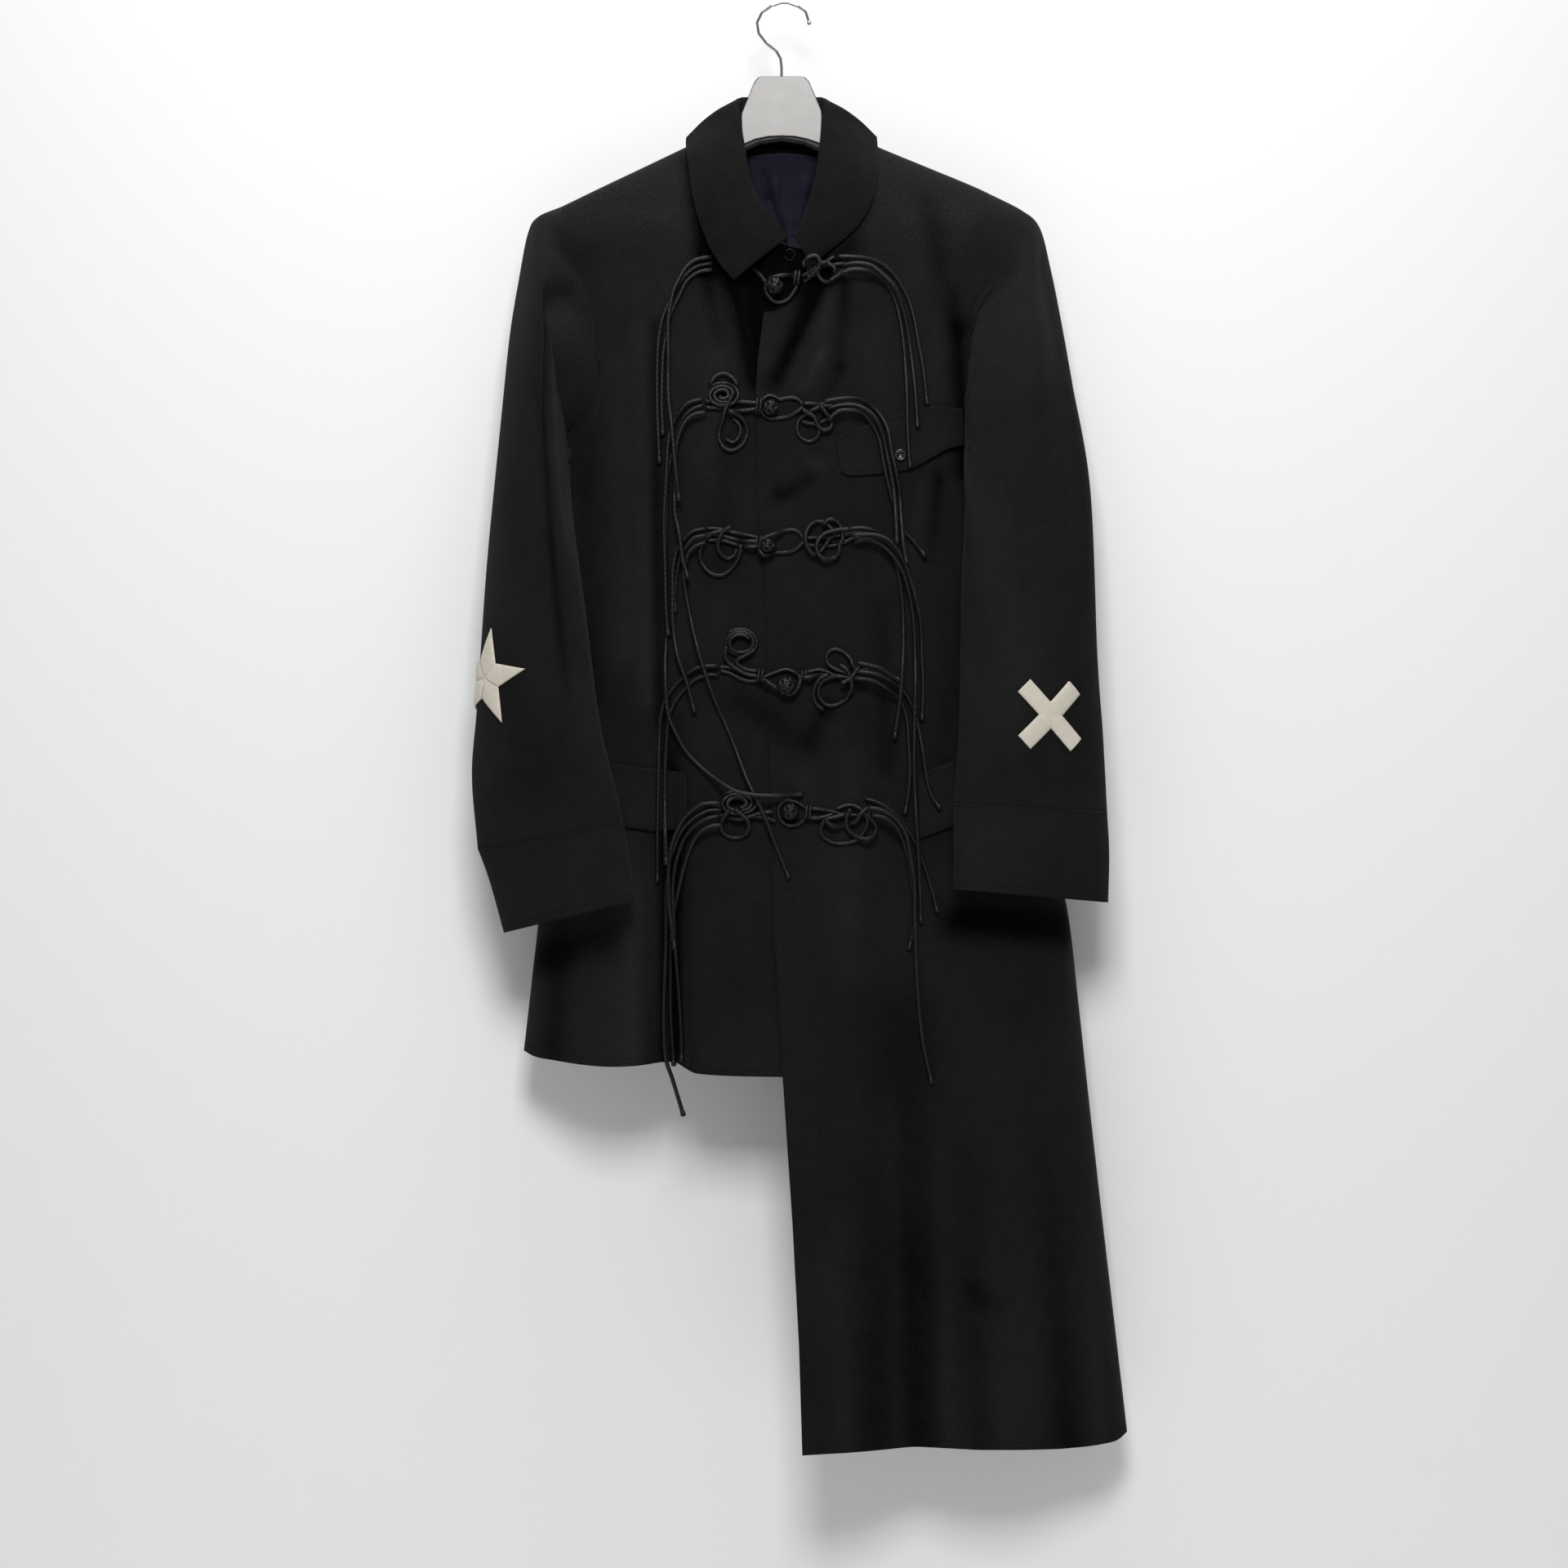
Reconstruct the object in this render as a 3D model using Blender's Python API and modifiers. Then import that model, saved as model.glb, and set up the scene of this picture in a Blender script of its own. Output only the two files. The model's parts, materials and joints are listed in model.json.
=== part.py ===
"""An asymmetric wool coat on a plain hanger, with a short right front, a long left front and five corded frogs.

The hook's inside top is the origin, +Z is up and the coat faces -Y. Tables are in millimetres, measured on a
straight-on front view at the depth of the chest, to the right of the hook and below its top; placed() carries
a place and its depth from that view to the real point.
"""

import bmesh
import bpy
import numpy as np
from mathutils.bvhtree import BVHTree

MM = 0.001
# Thicknesses and gaps of the cloth and the cords, in millimetres.
CLOTH = 2.0
COLLAR_CLOTH = 2.6
LINING = 1.0
GAP = 0.35
CORD_DIAMETER = 4.0
CORD_POINT_EVERY = 12.0
CORD_CLEARANCE = 0.6
LAP_HEIGHT = 4.0
CHEST_LEVEL = -420.0
SLEEVE_STEPS = 12
ARMHOLE_GAP = 0.8
CUFF_GAP = 0.5
ROW_CROWDING = 1.7
SHOULDER_END = -195.0
LAID_GAP = 0.9
LAY_STEP = 2.0
LOOP_POINT_EVERY = 9.0
HUMP_REACH = 7
BALL_STEPS = 10
DISC_STEPS = 12
COLLAR_FOLD = 2.9
COLLAR_LIE = 6.0
COLLAR_CLEAR = 5.8
SEAM_RISE = 2.2
LINING_ROWS = slice(1, 5)
LAID_REACH = 4.0
PATCH_CUT = 12.0
PATCH_GAP = 1.1
SLOPE_STEP = 2.0
STEEPEST = 6.0
SEAM_SCALE = 100.0
EYE_WIRE = 1.3
SETTLE_ROUNDS = 40
THINNER = 0.93
THINNEST = 0.5
FAR_IN_FRONT = 500.0

FOLD_FADE = 0.45
AT_SEAM = 0.995
NEAR_RIDGE = 0.9
UPPER_ROWS = 5
SHORT_ROWS = 8
LONG_ROWS = 10
BACK_ROWS = 5
LINING_COLUMNS = slice(8, 13)
SHORT_NECK = slice(13, 8, -1)
BACK_NECK = slice(12, 7, -1)
LONG_NECK = slice(8, 3, -1)
RIGHT_ARMHOLE = (list(range(6, -1, -1)), list(range(19, 14, -1)))
LEFT_ARMHOLE = (list(range(11, 18)), list(range(1, 6)))
UNDERARM = (4, 8)
UNDERARM_FADE = 3.0
SLEEVE_RISE = 0.4
SLEEVE_CLEARANCE = 5.0
SLEEVE_SHIFTS = (-12, -8, -4, 0, 4, 8, 12)
UNDER_ARMHOLE = -400.0
ROLL_DROP = 1.5
STAND_INSET = 2.2
FALL_RISE = 0.45
FALL_PLACES = (0.33, 0.67)
LIFT_STEP = 0.5
LIFT_ROUNDS = 40
PATCH_COLUMNS = (-3, -2, -1, 0, 1, 2, 3, 4)
TURN_BACK = 3.2
CROSSING_ROUNDS = 3
ROUTE_STEPS = 24
TINY = 1e-6

VIEW_DISTANCE = 3000.0
CHEST_DEPTH = -50.0
VIEW_CENTRE = (2.25, -716.25)

# Rings round the body: where its sides lie, how deep its front and back are, and how square the ring is.
BODY_COLUMNS = ("z", "left", "right", "front", "back", "side", "squareness")
BODY = (
    (-112, -46, 46, -4, 4, 0, 2.0),
    (-131, -87, 88, -24, 20, 0, 2.1),
    (-152, -131, 139, -36, 28, 0, 2.3),
    (-170, -169, 182, -44, 33, 0, 2.4),
    (-186, -202, 214, -49, 37, 0, 2.5),
    (-197, -226, 236, -52, 39, 0, 2.6),
    (-250, -222, 234, -58, 43, 0, 2.6),
    (-300, -212, 222, -62, 46, 1, 2.6),
    (-400, -199, 201, -66, 48, 2, 2.6),
    (-500, -200, 200, -65, 50, 3, 2.8),
    (-600, -205, 208, -64, 52, 4, 3.0),
    (-700, -212, 226, -64, 53, 5, 3.0),
    (-829, -222, 262, -64, 54, 6, 3.0),
    (-911, -231, 272, -63, 55, 7, 2.9),
    (-985, -239, 280, -62, 56, 8, 2.8),
    (-1084, -244, 291, -61, 58, 12, 2.6),
    (-1196, -250, 304, -60, 60, 16, 2.5),
    (-1333, -256, 320, -59, 62, 20, 2.4),
)

# Large folds: the line each follows, its half width, and how far it stands out at its start and its end.
# Columns: cloth, x0, z0, x1, z1, width, start, end.
FOLDS = (
    ("front", -166, -700, -166, -985, 34, 2, 14),
    ("front", -101, -640, -97, -985, 10, 0, -30),
    ("throat", -24, -262, -17, -345, 13, -11, -6),
    ("front", 36, -250, -8, -350, 9, -7, -4),
    ("front", 134, -184, 160, -300, 11, -6, -9),
    ("front", 160, -300, 166, -430, 11, -9, -5),
    ("front", 112, -940, 124, -1333, 30, -8, -20),
    ("front", 206, -980, 206, -1333, 36, 3, 8),
    ("front", -38, -640, 14, -676, 14, -3, -3),
    ("back", -105, -420, -120, -955, 26, -4, -12),
    ("back", 20, -520, 12, -955, 30, 3, 9),
    ("back", 128, -430, 150, -955, 28, -4, -12),
)
STRIP_LIP = ((-985, -85), (-800, -86), (-640, -91))
STRIP_HEIGHT = 12.0

# Vertical guides of each panel, from its front edge to its side seam: top end, then the chest and the hem.
# Columns: x_top, z_top, x_chest, x_hem.
SHORT_FRONT_GUIDES = (
    (21, -225, 38, 40),
    (7, -222, 22, 12),
    (-14, -212, 2, -18),
    (-32, -184, -20, -50),
    (-43, -150, -42, -76),
    (-46, -112, -66, -83),
    (-87, -131, -86, -89),
    (-131, -152, -102, -98),
    (-202, -186, -116, -110),
    (-197, -221, -128, -134),
    (-181, -258, -141, -160),
    (-169, -306, -164, -186),
    (-170, -350, -174, -208),
    (-185, -380, -188, -226),
    (-199, -395, -199, -240),
)
LONG_FRONT_GUIDES = (
    (-16, -283, -23, 19),
    (0, -280, -6, 40),
    (14, -270, 12, 60),
    (22, -258, 30, 80),
    (36, -243, 46, 100),
    (40, -214, 62, 121),
    (44, -180, 78, 142),
    (47, -150, 90, 162),
    (46, -112, 102, 182),
    (88, -131, 114, 201),
    (139, -152, 124, 219),
    (188, -173, 134, 236),
    (185, -205, 144, 252),
    (190, -240, 155, 267),
    (196, -285, 166, 281),
    (195, -330, 177, 294),
    (191, -366, 189, 308),
    (200, -392, 201, 320),
)
BACK_GUIDES = (
    (-199, -395, -199, -240),
    (-190, -380, -189, -219),
    (-181, -346, -177, -197),
    (-177, -306, -165, -174),
    (-183, -260, -151, -150),
    (-195, -219, -137, -127),
    (-202, -186, -122, -104),
    (-131, -152, -92, -76),
    (-46, -112, -58, -48),
    (-28, -129, -28, -24),
    (0, -133, 0, 6),
    (28, -129, 30, 38),
    (46, -112, 60, 72),
    (139, -152, 96, 108),
    (188, -173, 124, 144),
    (184, -208, 139, 168),
    (175, -256, 152, 192),
    (170, -306, 165, 214),
    (174, -348, 178, 236),
    (189, -380, 190, 258),
    (200, -392, 201, 279),
)

LONG_FRONT_EDGE = (
    (-283, -16), (-326, -22), (-366, -24), (-446, -23), (-484, -20), (-521, -15), (-596, -14),
    (-671, -11), (-791, -9), (-859, -7), (-896, -4), (-986, 1), (-1121, 10), (-1234, 16), (-1333, 19),
)
SHORT_FRONT_EDGE = ((-225, 21), (-300, 31), (-420, 38), (-986, 40))
SHORT_HEM = (
    (-240, -961), (-230, -966), (-193, -973), (-166, -976), (-140, -976), (-118, -973), (-106, -971),
    (-96, -972), (-86, -979), (-80, -982), (-65, -984), (-28, -985), (40, -986),
)
LONG_HEM = (
    (19, -1333), (70, -1330), (100, -1327), (122, -1325), (145, -1326), (182, -1328), (220, -1328),
    (257, -1327), (287, -1324), (302, -1321), (314, -1317), (320, -1311),
)
BACK_HEM = ((-240, -955), (-100, -951), (0, -950), (150, -951), (279, -952))

# Sleeves, from just outside the armhole to the wrist: outer and inner edge of each ring and its half depth.
# Columns: outer_x, outer_y, outer_z, inner_x, inner_y, inner_z, half_depth.
RIGHT_SLEEVE = (
    (-224, 0, -196, -209, -2, -399, 47),
    (-233, -3, -212, -211, -10, -411, 46),
    (-241, -6, -252, -209, -22, -430, 43),
    (-250, -9, -304, -206, -34, -456, 40),
    (-257, -12, -370, -200, -46, -486, 37),
    (-270, -21, -508, -184, -66, -558, 31),
    (-279, -34, -642, -167, -80, -656, 27),
    (-284, -41, -708, -154, -84, -712, 25),
    (-279, -47, -776, -145, -88, -752, 24),
)
RIGHT_CUFF = (
    (-268, -51, -806, -139, -90, -790, 24),
    (-255, -53, -853, -134, -92, -823, 24),
)
LEFT_SLEEVE = (
    (221, 0, -190, 211, -2, -397, 47),
    (237, -3, -206, 212, -10, -411, 46),
    (247, -6, -243, 210, -22, -431, 43),
    (257, -9, -290, 204, -34, -457, 40),
    (268, -12, -350, 189, -50, -488, 37),
    (284, -21, -446, 169, -70, -546, 31),
    (290, -32, -600, 163, -80, -642, 28),
    (295, -38, -672, 161, -84, -690, 27),
    (299, -44, -742, 158, -87, -734, 25),
)
LEFT_CUFF = (
    (301, -47, -780, 158, -89, -776, 25),
    (300, -49, -825, 158, -91, -813, 25),
)

# The collar from its wearer's right front end round the neck: roll line, then how far its free edge lies out.
# Columns: roll_x, roll_y, roll_z, edge_x, edge_z, lie, bulge.
COLLAR = (
    (5, -60, -213, -44, -253, 1, 1.5),
    (-9, -60, -197, -58, -237, 1, 3),
    (-24, -54, -176, -69, -217, 1, 4),
    (-32, -45, -154, -80, -184, 1, 5),
    (-36, -33, -130, -86, -144, 1, 6),
    (-40.8, -12, -104, -88, -127, 0, 6),
    (-41, 6, -88, -84, -122, 0, 5),
    (-33, 24, -87, -62, -132, -1, 5),
    (-15, 32, -88, -28, -140, -1, 4),
    (15, 32, -88, 28, -140, -1, 4),
    (33, 24, -87, 62, -132, -1, 5),
    (41, 6, -88, 84, -122, 0, 5),
    (40.8, -12, -104, 88, -127, 0, 6),
    (37, -38, -130, 88, -154, 1, 6),
    (34, -53, -154, 83, -180, 1, 5),
    (28, -58, -176, 73, -200, 1, 4),
    (20, -62, -198, 58, -215, 1, 3),
    (12, -63, -213, 27, -240, 1, 1.5),
)
# Where the stand meets the neckline, at the same stations as the collar.
NECKLINE = (
    (7, -222), (-14, -212), (-32, -184), (-38, -165.5), (-43, -150), (-45, -128), (-46, -112), (-34, -124.6),
    (-15, -130.9), (15, -130.9), (34, -124.6), (46, -112), (46.5, -128), (47, -150), (44, -180), (41, -198),
    (38, -214), (35, -238),
)
FROG_LOOPS = {
    "frog_5_loops": (
        (-50, -738), (-53, -730), (-48, -723), (-39, -722), (-30, -725), (-27, -734), (-32, -742),
        (-41, -747), (-51, -750), (-57, -757), (-53, -766), (-44, -769), (-34, -765), (-28, -756),
        (-20, -747), (-12, -743), (-6, -749), (1, -756), (10, -757), (20, -749), (29, -746),
        (35, -752), (34, -763), (42, -771), (53, -772), (62, -766), (67, -755), (74, -747),
        (71, -737), (62, -734), (54, -740), (57, -749),
    ),
    "frog_4_loops": (
        (-52, -613), (-55, -601), (-51, -587), (-42, -578), (-32, -575), (-23, -580), (-20, -590),
        (-23, -602), (-17, -613), (-11, -620), (-10, -631), (-2, -638), (8, -640), (18, -634),
        (21, -623), (28, -614), (37, -616), (32, -626), (32, -638), (40, -646), (50, -645),
        (58, -638), (60, -627), (54, -618), (50, -609), (56, -601), (62, -605),
    ),
    "frog_3_loops": (
        (-64, -484), (-55, -488), (-45, -489), (-39, -498), (-40, -510), (-46, -521), (-57, -526),
        (-68, -521), (-73, -511), (-69, -500), (-59, -496), (-48, -496), (-35, -494), (-26, -500),
        (-23, -509), (-14, -512), (-5, -508), (-1, -498), (7, -491), (16, -493), (20, -502),
        (29, -508), (38, -505), (43, -494), (37, -484), (27, -481), (20, -474), (23, -466),
        (33, -463), (41, -468), (41, -478), (49, -484), (56, -480),
    ),
    "frog_2_loops": (
        (-67, -362), (-69, -352), (-63, -343), (-52, -339), (-42, -343), (-38, -352), (-40, -363),
        (-37, -374), (-31, -382), (-28, -394), (-32, -405), (-42, -411), (-52, -408), (-58, -399),
        (-58, -387), (-53, -376), (-43, -370), (-32, -370), (-23, -374), (-17, -381), (-8, -382),
        (2, -377), (9, -369), (17, -367), (22, -374), (16, -383), (17, -394), (25, -402),
        (34, -399), (38, -389), (36, -380),
    ),
    "frog_1_loops": (
        (-24, -242), (-18, -253), (-18, -265), (-11, -274), (0, -276), (10, -270), (14, -260),
        (14, -249), (20, -241), (29, -236), (38, -239), (38, -249), (42, -256), (49, -252),
        (51, -244),
    ),
}
CORDS = {
    "cord_5_left_c": (
        (83, -745), (95, -747), (106, -756), (112, -769), (117, -788), (120, -810), (122, -832),
        (120, -853), (117, -868),
    ),
    "cord_5_left_a": (
        (77, -730), (88, -733), (100, -740), (111, -751), (121, -766), (128, -782), (134, -800),
        (140, -820), (143, -834),
    ),
    "cord_5_left_b": (
        (80, -738), (92, -740), (105, -748), (114, -761), (118, -780), (122, -806), (122, -832),
        (123, -859), (124, -890), (126, -920), (130, -954), (135, -977), (138, -991),
    ),
    "cord_4_left_c": (
        (68, -619), (83, -621), (97, -628), (109, -639), (115, -656), (117, -682), (118, -706),
        (116, -728), (113, -744),
    ),
    "cord_4_left_b": (
        (70, -613), (86, -615), (98, -620), (110, -628), (118, -640), (124, -657), (129, -682),
        (134, -714), (139, -729), (146, -739),
    ),
    "cord_4_left_a": (
        (70, -605), (80, -607), (91, -610), (101, -616), (110, -622),
    ),
    "cord_3_left_a": (
        (62, -482), (74, -481), (86, -484), (95, -491), (103, -506), (108, -526), (111, -551),
        (112, -582), (111, -610), (109, -636), (106, -658), (104, -674),
    ),
    "cord_3_left_c": (
        (67, -494), (79, -492), (91, -496), (101, -505), (110, -518), (116, -535), (120, -555),
        (122, -578), (123, -619), (122, -666), (122, -706), (124, -752), (126, -786), (128, -844),
    ),
    "cord_3_left_b": (
        (65, -488), (77, -487), (89, -488), (101, -494), (111, -508), (118, -526), (124, -548),
        (128, -570), (129, -602), (130, -626), (129, -658),
    ),
    "cord_2_left_c": (
        (43, -382), (52, -374), (62, -373), (74, -375), (83, -385), (90, -400), (94, -422),
        (99, -444), (105, -465), (112, -482), (122, -494), (132, -507),
    ),
    "cord_2_left_b": (
        (43, -371), (57, -368), (71, -369), (84, -377), (92, -392), (97, -413), (103, -446),
        (105, -472), (106, -495),
    ),
    "cord_2_left_a": (
        (39, -365), (50, -363), (63, -362), (75, -364), (88, -374), (97, -389), (101, -410),
        (105, -428), (108, -446), (110, -474), (112, -496), (115, -514),
    ),
    "cord_1_left_c": (
        (55, -248), (63, -244), (74, -244), (86, -247), (97, -257), (105, -274), (110, -296),
        (113, -322), (115, -356), (116, -396), (118, -426),
    ),
    "cord_1_left_b": (
        (56, -240), (68, -238), (82, -240), (94, -249), (104, -260), (111, -278), (116, -300),
        (120, -330), (123, -358), (125, -389),
    ),
    "cord_1_left_a": (
        (52, -232), (63, -232), (80, -234), (94, -240), (106, -252), (116, -270), (122, -290),
        (126, -312), (130, -334), (134, -368),
    ),
    "cord_5_right_d": (
        (-55, -754), (-65, -755), (-76, -761), (-83, -773), (-89, -790), (-94, -810), (-99, -836),
        (-102, -859), (-102, -878), (-102, -924), (-100, -958), (-99, -975),
    ),
    "cord_5_right_c": (
        (-58, -746), (-68, -748), (-79, -754), (-88, -764), (-94, -777), (-98, -793), (-100, -814),
        (-99, -844), (-97, -872), (-94, -913), (-92, -947), (-92, -971),
    ),
    "cord_5_right_b": (
        (-56, -740), (-68, -741), (-81, -748), (-92, -759), (-99, -775), (-104, -793), (-106, -814),
        (-106, -855), (-108, -913), (-108, -947), (-106, -970), (-100, -988), (-90, -1021),
    ),
    "cord_5_right_a": (
        (-56, -734), (-67, -734), (-76, -736), (-89, -747), (-98, -764), (-103, -782), (-104, -809),
        (-102, -837), (-98, -868),
    ),
    "cord_4_right_b": (
        (-58, -616), (-68, -616), (-79, -620), (-88, -628), (-97, -639), (-103, -652), (-105, -666),
        (-107, -706), (-107, -752), (-106, -790),
    ),
    "cord_4_right_a": (
        (-59, -608), (-68, -608), (-79, -610), (-89, -617), (-99, -627), (-106, -638), (-110, -649),
        (-112, -666), (-113, -706), (-114, -763), (-114, -806),
    ),
    "cord_3_right_b": (
        (-69, -488), (-80, -490), (-86, -496), (-92, -506), (-96, -521), (-98, -540), (-98, -559),
    ),
    "cord_3_right_a": (
        (-70, -482), (-81, -484), (-88, -490), (-94, -497), (-98, -508), (-100, -521), (-100, -542),
        (-100, -566), (-96, -596), (-88, -620), (-84, -634), (-80, -650),
    ),
    "cord_3_right_c": (
        (-70, -495), (-78, -497), (-85, -503), (-88, -512), (-90, -523), (-89, -534), (-86, -552),
        (-79, -584), (-69, -618), (-58, -646), (-46, -674), (-33, -709), (-24, -728), (-15, -747),
        (-4, -775), (7, -803),
    ),
    "cord_2_right_b": (
        (-72, -369), (-82, -372), (-90, -380), (-95, -391), (-99, -405), (-104, -431), (-106, -476),
        (-106, -521), (-106, -566), (-106, -586), (-107, -606), (-106, -636), (-103, -656),
        (-96, -671), (-87, -687), (-68, -706), (-46, -721), (-27, -726), (-4, -727), (19, -726),
    ),
    "cord_2_right_c": (
        (-70, -375), (-81, -377), (-89, -384), (-94, -395), (-97, -409), (-98, -439), (-98, -466),
        (-94, -486), (-91, -508), (-86, -527),
    ),
    "cord_2_right_a": (
        (-73, -363), (-85, -366), (-94, -375), (-100, -387), (-104, -402), (-106, -436),
        (-108, -474), (-107, -514), (-106, -556), (-104, -580),
    ),
    "cord_1_right_b": (
        (-64, -238), (-78, -241), (-89, -250), (-100, -267), (-108, -285), (-112, -302),
        (-114, -326), (-114, -371), (-112, -422),
    ),
    "cord_1_right_c": (
        (-64, -244), (-76, -246), (-87, -254), (-94, -268), (-102, -285), (-106, -304),
        (-109, -326), (-110, -364), (-109, -396),
    ),
    "cord_1_right_a": (
        (-65, -232), (-79, -235), (-88, -242), (-95, -254), (-100, -266), (-104, -290),
        (-104, -318), (-104, -358), (-101, -386), (-98, -420), (-94, -456),
    ),
}
FROG_KNOTS = {
    "frog_5_knot": (8, -741, 9.0),
    "frog_4_knot": (4, -625, 9.0),
    "frog_3_knot": (-15, -497, 7.5),
    "frog_2_knot": (-10, -369, 8.2),
    "frog_1_knot": (-3, -260, 8.2),
}

# Flat things that lie on a panel: corners in order, as seen from the front.
CHEST_FLAP_TOP = ((49, -398), (62, -392), (85, -384), (107, -376), (130, -370), (150, -370), (166, -372))
CHEST_FLAP_EDGE = ((55, -430), (65, -433), (92, -431), (118, -427), (137, -417), (152, -409), (168, -405))
RIGHT_HIP_TOP = ((-156, -698), (-143, -699), (-130, -701), (-117, -702), (-106, -704), (-97, -705), (-88, -707))
RIGHT_HIP_EDGE = ((-158, -754), (-144, -756), (-130, -758), (-117, -760), (-106, -759), (-97, -758), (-88, -757))
LEFT_HIP_TOP = ((126, -709), (145, -700), (166, -694), (183, -693), (200, -692))
LEFT_HIP_EDGE = ((126, -767), (145, -760), (163, -754), (182, -752), (200, -752))
BUTTON = (109, -414)
BUTTON_DIAMETER = 10.4
BUTTON_THICKNESS = 2.2
BUTTON_ROUNDING = 0.4
STAR_CENTRE = (10, -619)
STAR_RADIUS = 46.0
STAR_TURN = -0.06
STAR_INNER = 0.42
CROSS_CENTRE = (54, -653)
CROSS_BAR = (74.0, 17.0)
CROSS_TURN = 0.83
NECK_EYE = ((3, -231), (5, -235), (9, -235), (12, -231), (11, -227), (7, -225), (4, -227))
APPLIQUE = 1.6

HOOK_WIRE = 3.0
HOOK_ROUTE = (
    (25, -16), (22, -7), (15, -2), (6, 1.3), (0, 1.475), (-9, -1.5), (-18, -8), (-22.5, -17), (-21, -27),
    (-14, -36), (-5, -43), (-1, -50), (0, -58), (0, -66.6),
)
PLATE = (
    (-20, -67), (20, -67), (26, -74), (31, -86), (36, -98), (36.6, -104), (35.6, -128), (24, -124),
    (12, -121.5), (0, -121), (-12, -121.5), (-24, -124), (-35.6, -129), (-36.6, -104), (-36, -100),
    (-31, -88), (-26, -75),
)
PLATE_THICKNESS = 3.0
PLATE_FRONT = -7.4
PLATE_ROUNDING = 0.5
HANGER_BACK = 4.6
HANGER_ROUNDING = 2.5
# Half of the hanger's outline, from the middle of its lower edge to the end of an arm and back to the top.
HANGER_HALF = (
    (0, -126), (20, -129), (40, -138), (80, -160), (140, -188), (184, -208), (189, -202), (188, -190),
    (184, -187), (169, -179), (135, -162.5), (88, -140), (43, -120), (36, -110), (35, -101), (30, -88),
    (25, -76), (19, -67.6),
)

CLOTH_BLACK = (0.012, 0.012, 0.0125)
PIECES = {
    "coat_cloth": (CLOTH_BLACK, 0.85, 0.0),
    "neck_lining": ((0.019, 0.021, 0.034), 0.55, 0.0),
    "cord": ((0.006, 0.006, 0.006), 0.45, 0.0),
    "patch_thread": ((0.76, 0.72, 0.62), 0.5, 0.0),
    "button_horn": ((0.012, 0.011, 0.010), 0.3, 0.0),
    "hook_steel": ((0.62, 0.62, 0.62), 0.25, 1.0),
    "hanger_body": ((0.74, 0.72, 0.70), 0.45, 0.0),
}


def smoothstep(t):
    t = np.clip(t, 0.0, 1.0)
    return t * t * (3 - 2 * t)


def smooth(places, values, at):
    """A smooth curve through (places, values), read at each place in at."""
    order = np.argsort(places)
    places = np.asarray(places, float)[order]
    values = np.asarray(values, float)[order]
    slopes = np.gradient(values, places)
    at = np.clip(at, places[0], places[-1])
    i = np.clip(np.searchsorted(places, at) - 1, 0, len(places) - 2)
    step = places[i + 1] - places[i]
    t = (at - places[i]) / step
    start = (1 + 2 * t) * (1 - t) ** 2 * values[i] + t * (1 - t) ** 2 * step * slopes[i]
    end = t * t * (3 - 2 * t) * values[i + 1] + t * t * (t - 1) * step * slopes[i + 1]
    return start + end


def body(name, z):
    """A named column of BODY at height z."""
    heights = [row[0] for row in BODY]
    values = [row[BODY_COLUMNS.index(name)] for row in BODY]
    return smooth(heights, values, z)


def along(pairs, at):
    """Straight-line reading of a short table of (place, value) pairs."""
    ordered = sorted(pairs)
    return np.interp(at, [p[0] for p in ordered], [p[1] for p in ordered])


def placed(points):
    """Carries (x, z) on the front view at depth y, in mm, to the real point in metres."""
    p = np.asarray(points, float)
    x, y, z = p[..., 0], p[..., 1], p[..., 2]
    spread = (VIEW_DISTANCE + y) / (VIEW_DISTANCE + CHEST_DEPTH)
    at_hook = VIEW_DISTANCE / (VIEW_DISTANCE + CHEST_DEPTH)
    real_x = spread * x + VIEW_CENTRE[0] * (at_hook - spread)
    real_z = spread * z + VIEW_CENTRE[1] * (at_hook - spread)
    return np.stack([real_x, y, real_z], axis=-1) * MM


def across(x, z):
    """Where x lies across the body at height z: -1 at the left side seam, 1 at the right one."""
    left, right = body("left", z), body("right", z)
    return np.clip((2 * x - left - right) / (right - left), -1, 1)


def bow(x, z):
    """How far round the ring has left the side seam: 0 at a side, 1 in the middle."""
    return np.sqrt(np.clip(1 - np.abs(across(x, z)) ** body("squareness", z), 0, 1))


def folds(x, z, cloths):
    """Height of the large folds of the named cloths at (x, z)."""
    total = np.zeros(np.broadcast(x, z).shape)
    for cloth, x0, z0, x1, z1, width, start, end in FOLDS:
        if cloth not in cloths:
            continue
        run = np.hypot(x1 - x0, z1 - z0)
        t = np.clip(((x - x0) * (x1 - x0) + (z - z0) * (z1 - z0)) / run**2, 0, 1)
        off = np.hypot(x - x0 - t * (x1 - x0), z - z0 - t * (z1 - z0))
        total += (start + (end - start) * t) * np.exp(-((off / width) ** 2))
    return total


def strip(x, z):
    """Height of the strip beside the front edge, which stands out over the deep fold."""
    lip = along(STRIP_LIP, z)
    grown = smoothstep((-590 - z) / 300)
    return STRIP_HEIGHT * grown * smoothstep((x - lip + 6) / 8) * (1 - smoothstep((x - 45) / 80))


def front_y(x, z, cloths=("front",)):
    """Depth of the front at (x, z), as its outer face."""
    curve = bow(x, z)
    flat = body("side", z) + (body("front", z) - body("side", z)) * curve
    return flat - (folds(x, z, cloths) + strip(x, z)) * smoothstep(curve / FOLD_FADE)


def lap(x):
    """How far the long front stands out over the short one that it overlaps."""
    return LAP_HEIGHT * (1 - smoothstep((x - 55) / 50))


def short_front_y(x, z):
    return np.minimum(front_y(x, z, ("front", "throat")), body("side", z) - GAP / 2)


def long_front_y(x, z):
    over = lap(x) * smoothstep(bow(x, z) / FOLD_FADE)
    return np.minimum(front_y(x, z) - over, body("side", z) - GAP / 2)


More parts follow.
